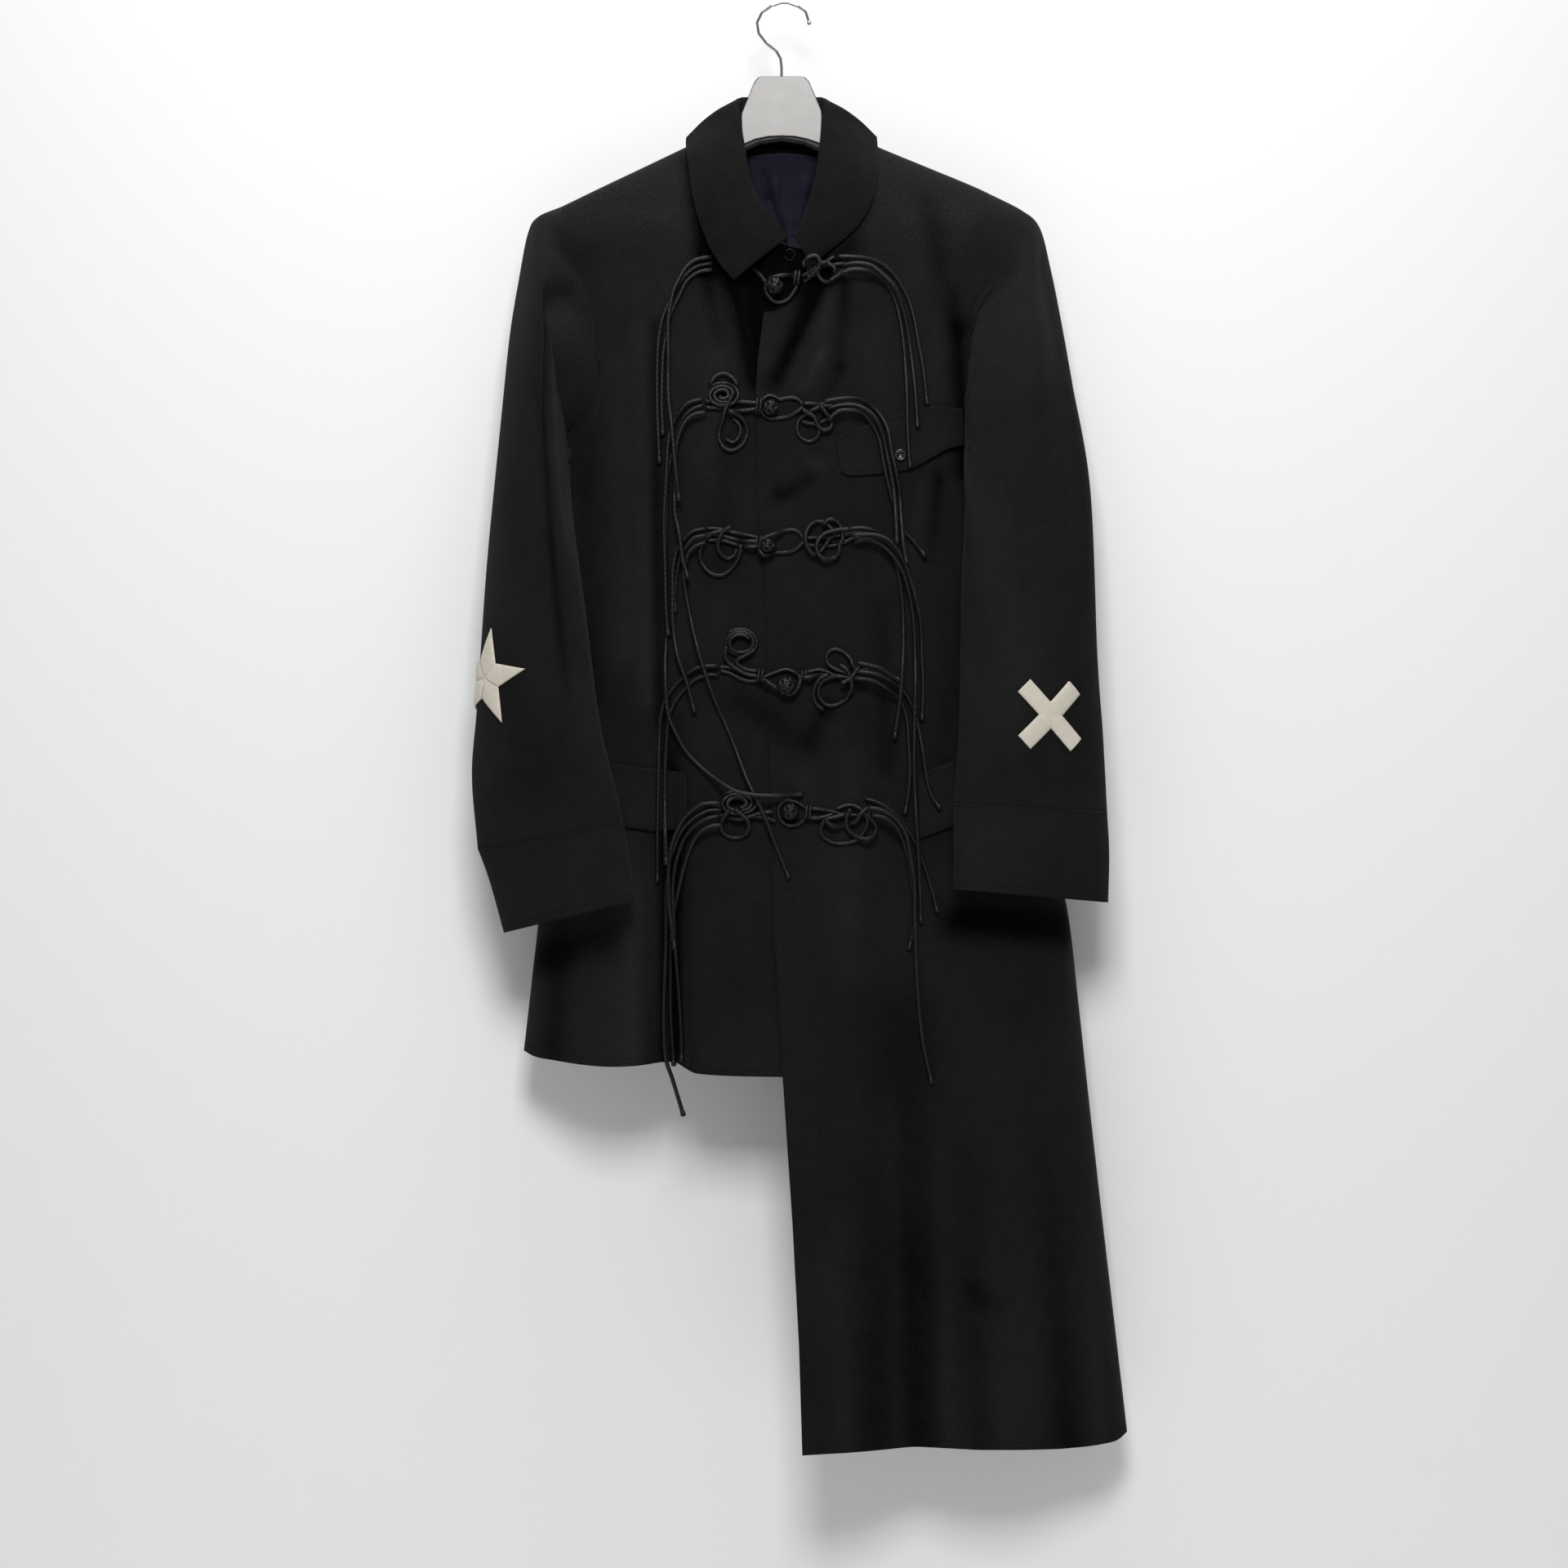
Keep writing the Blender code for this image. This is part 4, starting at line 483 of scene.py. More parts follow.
# %% [markdown]
# A wool cloth has two faces and a cut edge. Each panel therefore starts as Blender's own grid, with as many
# lines as the pattern needs, and its points are carried to their places. That leaves the grid's UV map, which
# is scaled to metres so the twill follows the cut, not the world. Solidify then gives the cloth its thickness
# towards the wearer. Its rim takes the same finish, so a hem never shows as a paper edge.

# %% Cloth from a grid
CLOTH = 2.0
# Folds at least this wide, in mm, get this many times less painted shade and light than narrow ones.
WIDE_FOLD, WIDE_SHADE = 20, 4


def deselect_all():
    bpy.ops.object.select_all(action="DESELECT")


def apply_modifiers(piece):
    """Applies every modifier on a piece, in order."""
    deselect_all()
    bpy.context.view_layer.objects.active = piece
    piece.select_set(True)
    for modifier in list(piece.modifiers):
        bpy.ops.object.modifier_apply(modifier=modifier.name)


def lengths(grid):
    """How far each point lies along its row and its column, in metres, at the middle line of each."""
    step_across = np.linalg.norm(np.diff(grid, axis=1), axis=-1).mean(axis=0)
    step_down = np.linalg.norm(np.diff(grid, axis=0), axis=-1).mean(axis=1)
    return np.concatenate([[0], np.cumsum(step_across)]) * MM, np.concatenate([[0], np.cumsum(step_down)]) * MM


def fit(piece, slot, node=None):
    """Hands a piece to the frame: its body, the solid that it stands for, and its finish."""
    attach(piece, root)
    if node:
        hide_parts(node)
    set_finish(piece, slot)


def cloth_piece(name, grid, node, closed=False, thickness=CLOTH, offset=1.0, slot="coat_cloth", folds_on=None):
    """A sheet of cloth from a grid of outer points, in mm, with its wall behind them, as it hangs on the hanger.

    closed joins its first and last column. folds_on gives the height of the folds, which the wool's colour takes as
    painted shade in valleys and painted light on ridges.
    """
    rows, columns = grid.shape[:2]
    deselect_all()
    bpy.ops.mesh.primitive_grid_add(x_subdivisions=columns - 1, y_subdivisions=rows - 1, size=1)
    piece = bpy.context.object
    piece.name = piece.data.name = name
    flat = np.zeros((rows * columns, 3))
    piece.data.vertices.foreach_get("co", flat.ravel())
    column = np.rint((flat[:, 0] + 0.5) * (columns - 1)).astype(int)
    row = np.rint((0.5 - flat[:, 1]) * (rows - 1)).astype(int)
    piece.data.vertices.foreach_set("co", placed(grid)[row, column].ravel())
    wide, deep = lengths(grid)
    corner = np.zeros(len(piece.data.loops), int)
    piece.data.loops.foreach_get("vertex_index", corner)
    uv = np.stack([wide[column[corner]], -deep[row[corner]]], axis=-1)
    piece.data.uv_layers[0].data.foreach_set("uv", uv.ravel())
    # The folds' heights, which the wool turns into painted shade and light.
    fold_shade = piece.data.attributes.new("fold_height", "FLOAT", "POINT")
    if folds_on is not None:
        fold_shade.data.foreach_set("value", folds_on[row, column].astype(np.float32))
    if closed:
        bpy.ops.object.mode_set(mode="EDIT")
        bpy.ops.mesh.select_all(action="SELECT")
        bpy.ops.mesh.remove_doubles(threshold=0.00001)
        bpy.ops.object.mode_set(mode="OBJECT")
    wall = piece.modifiers.new("wall", "SOLIDIFY")
    wall.thickness = thickness * MM
    wall.offset = -offset
    wall.use_even_offset = False
    wall.material_offset = 1
    wall.material_offset_rim = 0
    apply_modifiers(piece)
    bpy.ops.object.shade_smooth()
    fit(piece, slot, node)


def fold_heights(grid, cloths):
    """Fold heights on a panel's grid, in mm, which the wool takes as painted shade and light: below 0 in a valley
    and above 0 on a ridge. Wide folds count less, and the painted shade places count as valleys.
    """
    narrow = [row for row in FOLDS + CREASES + PAINTED_SHADE_PLACES if row[5] < WIDE_FOLD]
    wide = [row for row in FOLDS + CREASES if row[5] >= WIDE_FOLD]
    x, z = grid[..., 0], grid[..., 2]
    return folds(x, z, cloths, narrow) + folds(x, z, cloths, wide) / WIDE_SHADE


cloth_piece("short_front", short, "front_right_short", folds_on=fold_heights(short, ("front", "throat")))
cloth_piece("long_front", long, "front_left_long", folds_on=fold_heights(long, ("front",)))
cloth_piece("coat_back", back, "back", folds_on=fold_heights(back, ("back",)))

# %% [markdown]
# A sleeve is a bent tube. Its first ring is the armhole's own edge, tucked in a little as a sewn seam is, and
# each next ring is an oval between an outer and an inner place on the view. The inner half hangs over the coat's
# side, so any point that would sink into the body is kept in front of it.

# %% Sleeves and cuffs
SLEEVE_STEPS = 12
ARMHOLE_GAP = -0.8
CUFF_GAP = -0.6
SLEEVE_CLEARANCE = 5.0
# Each ring: x, y and z of its outer edge, the same of its inner edge, and half its depth.
RIGHT_SLEEVE = (
    (-224, 0, -196, -197, -2, -400, 47),
    (-233, -3, -212, -195, -12, -412, 46),
    (-241, -6, -252, -194, -26, -430, 43),
    (-250, -9, -304, -193, -40, -456, 40),
    (-257, -12, -370, -190, -52, -486, 37),
    (-270, -21, -508, -180, -68, -558, 31),
    (-279, -34, -642, -167, -80, -656, 27),
    (-284, -41, -708, -154, -84, -712, 25),
    (-279, -47, -776, -145, -88, -752, 24),
)
RIGHT_CUFF = ((-268, -51, -806, -139, -90, -790, 24), (-255, -53, -853, -134, -92, -823, 24))
LEFT_SLEEVE = (
    (221, 0, -190, 198, -2, -398, 47),
    (237, -3, -206, 195, -12, -411, 46),
    (247, -6, -243, 186, -30, -431, 43),
    (257, -9, -290, 174, -46, -457, 40),
    (268, -12, -350, 168, -60, -488, 37),
    (284, -21, -446, 165, -72, -546, 31),
    (290, -32, -600, 163, -80, -642, 28),
    (295, -38, -672, 161, -84, -690, 27),
    (299, -44, -742, 158, -87, -734, 25),
)
LEFT_CUFF = ((301, -47, -780, 158, -89, -776, 25), (300, -49, -825, 158, -91, -813, 25))
# Creases in the sleeves: turn round from the outer edge over the front at the start and at the end, start and
# end down the sleeve, width, height.
SLEEVE_CREASES = {
    "right": (
        (0.36, 0.68, 0.00, 0.80, 0.036, -3.6), (0.45, 0.77, 0.00, 0.70, 0.06, 1.8),
        (0.24, 0.30, 0.02, 0.50, 0.12, 2.0), (0.20, 0.20, 0.60, 0.98, 0.14, 1.4),
        (0.40, 0.40, 0.70, 1.00, 0.12, -1.4),
    ),
    "left": (
        (0.46, 0.52, 0.01, 0.26, 0.06, -2.8), (0.34, 0.34, 0.10, 0.55, 0.14, 2.2),
        (0.16, 0.16, 0.22, 0.80, 0.10, -3.0), (0.60, 0.60, 0.45, 0.95, 0.13, 1.5),
        (0.30, 0.30, 0.72, 1.00, 0.12, -1.2),
    ),
}


def clear_of_body(points):
    """Keeps points that hang over the body in front of it."""
    p = points.copy()
    x, z = p[..., 0], p[..., 2]
    for shift in (-12, -8, -4, 0, 4, 8, 12):
        over = (np.abs(across(x + shift, z)) < 1) & (z < -400)
        limit = long_front_y(x + shift, z) - SLEEVE_CLEARANCE
        p[..., 1] = np.where(over, np.minimum(p[..., 1], limit), p[..., 1])
    return p


def sleeve_ring(row):
    """Points of one ring: from its outer edge round the front to its inner edge and back."""
    outer, inner = np.array(row[0:3], float), np.array(row[3:6], float)
    turn = 2 * np.pi * np.arange(SLEEVE_STEPS) / SLEEVE_STEPS
    ring = (outer + inner) / 2 + np.outer(np.cos(turn), (outer - inner) / 2)
    return clear_of_body(ring + np.outer(np.sin(turn), [0.0, -row[6], 0.0]))


def normals(grid):
    """Unit normals of a grid whose rows go down and whose columns go round to the viewer's right."""
    n = np.cross(np.gradient(grid, axis=0), np.gradient(grid, axis=1))
    return n / np.maximum(np.linalg.norm(n, axis=-1, keepdims=True), 1e-9)


def closed_finer(ring, count):
    """Reads a closed ring of points at count even places."""
    wide = np.concatenate([ring[-3:], ring, ring[:4]])
    return smooth(np.arange(-3, len(ring) + 4), wide, np.linspace(0, len(ring), count, endpoint=False))


def top_edge(cut, depth):
    """Points of a panel's top edge, one to a guide."""
    x, z = pattern_lines(cut)[0].T
    return np.stack([x, depth(x, z), z], axis=-1)


short_top, long_top = top_edge(short_cut, short_front_y), top_edge(long_cut, long_front_y)
back_top = top_edge(back_cut, back_y)

SLEEVE_AROUND = 108
SLEEVE_ROWS, CUFF_ROWS = 190, 40
# Waves round the whole sleeve: how many, how they turn on the way down, and their height.
WAVES_ROUND, WAVE_TWIST, WAVE_HEIGHT = 5, 9, 0.5
# A crease starts over this share of the sleeve's length, and ends over that.
CREASE_START, CREASE_END = 0.08, 0.12


def spread_along(points, count):
    """Reads a line of points at count places spaced evenly by its own numbering."""
    return read_line(np.linspace(0, len(points) - 1, count), np.arange(len(points)), points)


def armhole(front_points, back_points):
    """The armhole's own edge as one ring: down the front from the shoulder, then up the back."""
    half = SLEEVE_AROUND // 2 + 1
    return np.concatenate([spread_along(front_points, half), spread_along(back_points, half)[1:-1]])


# Fine columns to a guide: 7 on the short front, 6 on the long front and on the back.
right_armhole = armhole(short[0, ::-1][56:99], back[0, ::-1][0:37])
left_armhole = armhole(long[0][66:103], back[0, ::-1][120:83:-1])


# On the viewer's right the sleeve's front falls over the armhole and hangs in front of the coat's side.
DRAPE_LINE = (
    (-225, 188), (-260, 181), (-300, 177), (-326, 173), (-360, 170), (-416, 169), (-470, 168), (-521, 166),
    (-634, 162), (-716, 159),
)
DRAPE_CLEARANCE = 4.0
# Where it is draped: turn round the sleeve and way down it, as where that starts, ends and how soft each is.
DRAPE_TURN, DRAPE_TURN_SOFT = (0.17, 0.50), (0.07, 0.06)
DRAPE_DOWN, DRAPE_DOWN_SOFT = (0.0, 0.5), (0.04, 0.3)


def draped(grid):
    """Lets the inner half of a sleeve's front hang forward of the body, to a line on the view."""
    turn = np.linspace(0, 1, grid.shape[1])[None, :]
    down = np.linspace(0, 1, grid.shape[0])[:, None]
    share = smoothstep((turn - DRAPE_TURN[0]) / DRAPE_TURN_SOFT[0])
    share = share * smoothstep((DRAPE_TURN[1] - turn) / DRAPE_TURN_SOFT[1])
    share = share * smoothstep((down - DRAPE_DOWN[0]) / DRAPE_DOWN_SOFT[0])
    share = share * (1 - smoothstep((down - DRAPE_DOWN[1]) / DRAPE_DOWN_SOFT[1]))
    x, y, z = grid[..., 0], grid[..., 1], grid[..., 2]
    x = x + np.minimum(along(DRAPE_LINE, z) - x, 0) * share
    clear = np.minimum(y, long_front_y(x, z) - DRAPE_CLEARANCE)
    return np.stack([x, y + (clear - y) * smoothstep(share * 6), z], axis=-1)


def sleeve_grid(name, armhole_points, rows):
    """The sleeve's outer points, down from the armhole and once round."""
    rings = [closed_finer(sleeve_ring(row), SLEEVE_AROUND) for row in rows]
    tangent = np.roll(armhole_points, -1, axis=0) - np.roll(armhole_points, 1, axis=0)
    tangent /= np.linalg.norm(tangent, axis=1, keepdims=True)
    rise = rings[0] - armhole_points
    rise -= tangent * np.sum(rise * tangent, axis=1, keepdims=True)
    rise /= np.linalg.norm(rise, axis=1, keepdims=True)
    coarse = np.stack([armhole_points + rise * ARMHOLE_GAP] + rings)
    grid = finer(coarse, SLEEVE_ROWS)
    grid = np.concatenate([grid, grid[:, :1]], axis=1)
    if name == "left":
        grid = draped(grid)
    out = normals(grid)
    out *= np.sign(np.sum(out * (grid - grid.mean(axis=1, keepdims=True)), axis=-1).mean())
    turn = np.linspace(0, 1, SLEEVE_AROUND + 1)[None, :]
    down = np.linspace(0, 1, SLEEVE_ROWS)[:, None]
    height = np.zeros(grid.shape[:2])
    for first, last, start, end, width, high in SLEEVE_CREASES[name]:
        place = first + (last - first) * np.clip((down - start) / (end - start), 0, 1)
        off = turn * 2 - place
        inside = smoothstep((down - start) / CREASE_START) * smoothstep((end - down) / CREASE_END)
        height += high * inside * np.exp(-((off / width) ** 2))
    waves = np.sin(turn * 2 * np.pi * WAVES_ROUND + WAVE_TWIST * down)
    height += WAVE_HEIGHT * waves * np.sin(np.pi * down) ** 0.5
    grid = grid + out * height[..., None]
    grid[:, -1] = grid[:, 0]
    return grid, height


right_sleeve, right_creases = sleeve_grid("right", right_armhole, RIGHT_SLEEVE)
left_sleeve, left_creases = sleeve_grid("left", left_armhole, LEFT_SLEEVE)


def cuff_grid(sleeve, rows):
    """A cuff from just below the sleeve's last ring to the wrist's edge."""
    run = sleeve[-1, :-1].mean(axis=0) - sleeve[-20, :-1].mean(axis=0)
    first = sleeve[-1] + run / np.linalg.norm(run) * CUFF_GAP
    rings = [first]
    for row in rows:
        ring = closed_finer(sleeve_ring(row), SLEEVE_AROUND)
        rings.append(np.concatenate([ring, ring[:1]]))
    return finer(np.stack(rings), CUFF_ROWS)


right_cuff, left_cuff = cuff_grid(right_sleeve, RIGHT_CUFF), cuff_grid(left_sleeve, LEFT_CUFF)
for name, grid, node, heights in (
    ("right_sleeve", right_sleeve, "sleeve_right", right_creases),
    ("left_sleeve", left_sleeve[:, ::-1], "sleeve_left", left_creases[:, ::-1]),
    ("right_cuff", right_cuff, "cuff_right", None),
    ("left_cuff", left_cuff[:, ::-1], "cuff_left", None),
):
    cloth_piece(name, grid, node, closed=True, folds_on=heights)

# %% [markdown]
# The collar is one folded piece. It rises from the neckline inside the neck, turns over at the roll and falls
# onto the shoulders, with a pointed leaf on each side of the throat. Eighteen stations round the neck give the
# roll and the free edge; between them a smooth curve is read, and the fall keeps clear of the cloth below.

# %% The collar
# How much painted shade darkens the collar's wool, how thick it is, how far it turns at the roll, and how far it
# lies off the cloth.
COLLAR_SHADE, COLLAR_CLOTH, COLLAR_FOLD, COLLAR_LIE, COLLAR_CLEAR = -2.4, 2.6, 2.9, 6.0, 5.8
# Its neck seam's rise and its step from the panel's edge; how far the roll sinks, and a step of clearing.
SEAM_RISE, SEAM_STEP, ROLL_SINK, CLEARING_STEP = 2.2, 2.2, 1.5, 0.5
# Each station: x, y and z of the roll, x and z of the free edge, which side it lies on, and how far it bulges.
COLLAR = (
    (5, -60, -213, -44, -253, 1, 1.5),
    (-9, -60, -197, -58, -237, 1, 3),
    (-24, -54, -176, -69, -217, 1, 4),
    (-32, -45, -154, -80, -184, 1, 5),
    (-36, -33, -130, -86, -144, 1, 6),
    (-40.8, -12, -104, -88, -127, 0, 6),
    (-41, 6, -88, -84, -122, 0, 5),
    (-33, 24, -87, -62, -132, -1, 5),
    (-15, 32, -88, -28, -140, -1, 4),
    (15, 32, -88, 28, -140, -1, 4),
    (33, 24, -87, 62, -132, -1, 5),
    (41, 6, -88, 84, -122, 0, 5),
    (40.8, -12, -104, 88, -127, 0, 6),
    (37, -38, -130, 88, -154, 1, 6),
    (34, -53, -154, 83, -180, 1, 5),
    (28, -58, -176, 73, -200, 1, 4),
    (20, -62, -198, 58, -215, 1, 3),
    (12, -63, -213, 27, -240, 1, 1.5),
)
NECKLINE = (
    (7, -222), (-14, -212), (-32, -184), (-38, -165.5), (-43, -150), (-45, -128), (-46, -112), (-34, -124.6),
    (-15, -130.9), (15, -130.9), (34, -124.6), (46, -112), (46.5, -128), (47, -150), (44, -180), (41, -198),
    (38, -214), (35, -238),
)


def on_line(line, x, z):
    """The depth of the place nearest to (x, z) on a line of points."""
    a, run = line[:-1], line[1:] - line[:-1]
    flat = run[:, [0, 2]]
    reached = (x - a[:, 0]) * flat[:, 0] + (z - a[:, 2]) * flat[:, 1]
    t = np.clip(reached / np.maximum(np.sum(flat**2, axis=1), 1e-6), 0, 1)
    nearest = a + run * t[:, None]
    return nearest[np.argmin(np.hypot(nearest[:, 0] - x, nearest[:, 2] - z)), 1]


def lifted_clear(point, out):
    """Moves a point of the collar out until the wall under it clears the shoulders."""
    p = np.array(point, float)
    for _ in range(40):
        x, y, z = p
        low = z - COLLAR_CLEAR
        beside = abs(across(x, z)) < 1 and long_front_y(x, z) - COLLAR_CLEAR < y < back_y(x, z) + COLLAR_CLEAR
        above = abs(across(x, low)) < 1 and long_front_y(x, low) < y < back_y(x, low)
        if not beside and not above:
            return p
        p = p + out * CLEARING_STEP
    return p


def collar_grid():
    """The collar's outer points, from its neck seam over the roll to its free edge."""
    rim = np.concatenate([short_top[1:6], back_top[8:13], long_top[8:3:-1]])
    columns = []
    for (roll_x, roll_y, roll_z, edge_x, edge_z, lie, bulge), (neck_x, neck_z) in zip(COLLAR, NECKLINE):
        roll = np.array([roll_x, roll_y, roll_z], float)
        toward = np.array([-roll_x, -roll_y, 0.0])
        toward *= COLLAR_FOLD / np.linalg.norm(toward)
        drop = np.array([0.0, 0.0, -ROLL_SINK])
        neck_y = on_line(rim, neck_x, neck_z) + lie * SEAM_STEP
        front, behind = long_front_y(edge_x, edge_z) - COLLAR_LIE, back_y(edge_x, edge_z) + COLLAR_LIE
        edge_y = front if lie > 0 else behind if lie < 0 else roll_y * 0.5
        up = np.array([roll_x - neck_x, 0.0, roll_z - neck_z])
        rise = SEAM_RISE if lie else 2 * SEAM_RISE
        neck = np.array([neck_x, neck_y, neck_z]) + up / np.linalg.norm(up) * rise
        edge = np.array([edge_x, edge_y, edge_z], float)
        fall = roll - toward + drop
        out = np.array([0.0, -lie, 0.45 if lie else 1.0])
        rest = [fall + (edge - fall) * t + out * bulge * np.sin(np.pi * t) for t in (0.33, 0.67, 1.0)]
        columns.append([neck, roll + toward + drop, roll, fall] + [lifted_clear(p, out) for p in rest])
    return np.array(columns).transpose(1, 0, 2)


fine_collar = finer(finer(collar_grid(), 61).transpose(1, 0, 2), 171).transpose(1, 0, 2)
shaded = np.full(fine_collar.shape[:2], COLLAR_SHADE)
cloth_piece("folded_collar", fine_collar, "collar", thickness=COLLAR_CLOTH, offset=-1.0, folds_on=shaded)

# %% [markdown]
# Inside the neck a navy lining hangs from the seam of the back. It only shows through the open throat, so it is
# made from the back's own points, moved in by the cloth's thickness.

# %% The neck lining
LINING = 1.0
LINING_SINK = 2.6
LINING_HALF_WIDTH, LINING_TOP, LINING_END, LINING_DIP, LINING_LINES = 46, -143, -296, 6, 60
# The centre seam and the soft V folds, as rows of folds.
LINING_FOLDS = (
    ("lining", 0, -143, 0, -220, 1.6, -1.0, -1.0), ("lining", -16, -158, -12, -178, 4, -2.0, -2.0),
    ("lining", -12, -178, 2, -214, 4, -2.4, -2.4), ("lining", 32, -158, 27, -178, 4, -2.0, -2.0),
    ("lining", 27, -178, 21, -210, 4, -2.2, -2.2), ("lining", -6, -166, 2, -200, 4, 1.6, 1.6),
    ("lining", 22, -164, 14, -200, 4, 1.6, 1.6),
)
grid_x, grid_z = np.meshgrid(
    np.linspace(-LINING_HALF_WIDTH, LINING_HALF_WIDTH, LINING_LINES),
    np.linspace(LINING_TOP, LINING_END, LINING_LINES),
)
top = LINING_DIP * (1 - (grid_x / LINING_HALF_WIDTH) ** 2)
grid_z = grid_z + top * (1 - np.linspace(0, 1, LINING_LINES)[:, None])
lining_depth = back_y(grid_x, grid_z) - CLOTH - SEAM_GAP - LINING_SINK
lining_depth = lining_depth - folds(grid_x, grid_z, ("lining",), LINING_FOLDS)
lining = np.stack([grid_x, lining_depth, grid_z], axis=-1)[:, ::-1]
cloth_piece("navy_lining", lining, "neck_lining", thickness=LINING, slot="neck_lining")

# %% [markdown]
# What lies on a panel is shaped by the panel. The faces of each grid become a surface that lines along the view
# meet, so a flap, a cord or a stitch asks for the depth at its own place and is laid just in front of it.

# %% Surfaces to lay things on
LAID_GAP = 0.9
FAR_IN_FRONT = 500.0


def surface(grid):
    """The faces of a grid of points, to be met by lines that run along y."""
    rows, columns = grid.shape[:2]
    faces = []
    for r in range(rows - 1):
        for c in range(columns - 1):
            a, b = r * columns + c, r * columns + c + 1
            faces.append((a, a + columns, b + columns, b))
    return BVHTree.FromPolygons([tuple(p) for p in grid.reshape(-1, 3)], faces)


def front_of(surfaces, x, z, reach=0.0):
    """Depth of the foremost of the surfaces at (x, z) and up to reach beside it; NaN beside them all."""
    depths = [np.nan]
    for shift in (-reach, 0.0, reach) if reach else (0.0,):
        for met in surfaces:
            hit = met.ray_cast((x + shift, -FAR_IN_FRONT, z), (0.0, 1.0, 0.0))[0]
            if hit is not None:
                depths.append(hit[1])
    return np.nanmin(depths) if len(depths) > 1 else np.nan


def filled(values):
    """Depths with the ones that are missing read between their neighbours."""
    known = ~np.isnan(values)
    return np.interp(np.arange(len(values)), np.nonzero(known)[0], values[known])


def between(upper, lower, rows, columns):
    """A fine grid of (x, z) places between an upper and a lower edge, rows from the top down."""
    upper, lower = finer(np.array(upper, float), columns), finer(np.array(lower, float), columns)
    return np.stack([upper + (lower - upper) * t for t in np.linspace(0, 1, rows)])


def laid_on(name, surfaces, places, node, lift):
    """A flat piece laid on the surfaces: its own points, moved out. lift adds height, by row and column."""
    y = np.array([filled(np.array([front_of(surfaces, x, z, 2.0) for x, z in row])) for row in places])
    outer = np.stack([places[..., 0], y - LAID_GAP - CLOTH - lift, places[..., 1]], axis=-1)
    cloth_piece(name, outer, node)
    return outer


FLAP_ROWS = 25
down, along_flap = np.linspace(0, 1, FLAP_ROWS)[:, None], np.linspace(0, 1, 61)[None, :]
chest_lift = 2.4 * down**2 * smoothstep((along_flap - 0.35) / 0.4) + 0.2 * down
hip_lift = 0.5 * down**2 * np.ones((1, 41))
# Each flap: its name and its solid, its top and its lower edge, and how its lower edge lifts.
FLAPS = (
    ("chest_pocket_flap", "chest_flap",
     ((49, -398), (62, -392), (85, -384), (107, -376), (130, -370), (150, -370), (166, -372)),
     ((55, -430), (65, -433), (92, -431), (118, -427), (137, -417), (152, -409), (168, -405)), chest_lift),
    ("right_pocket_flap", "hip_flap_right",
     ((-156, -698), (-143, -699), (-130, -701), (-117, -702), (-106, -704), (-97, -705), (-88, -707)),
     ((-158, -754), (-144, -756), (-130, -758), (-117, -760), (-106, -759), (-97, -758), (-88, -757)), hip_lift),
    ("left_pocket_flap", "hip_flap_left",
     ((126, -709), (145, -700), (166, -694), (183, -693), (200, -692)),
     ((126, -767), (145, -760), (163, -754), (182, -752), (200, -752)), hip_lift),
)
panels = [surface(short), surface(long), surface(fine_collar[20:])]
flaps = []
for name, node, upper, lower, lift in FLAPS:
    places = between(upper, lower, FLAP_ROWS, lift.shape[1])
    flaps.append(laid_on(name, panels, places, node, lift))
panels += [surface(flap) for flap in flaps]

# %% [markdown]
# Thirty free strands hang from the five frogs. Each is a braided cord of 4 mm, limp enough to lie where it falls.
# Its route is read on the view, and its depth is found by laying it: on the cloth, then over each strand that
# lies there already, in one long low hump.

# %% The cords' routes
CORD_DIAMETER, CORD_CLEARANCE, CORD_LIE = 4.0, 0.6, 0.3
CORD_POINT_EVERY = 4.0
LAY_STEP = 2.0
HUMP_REACH = 7
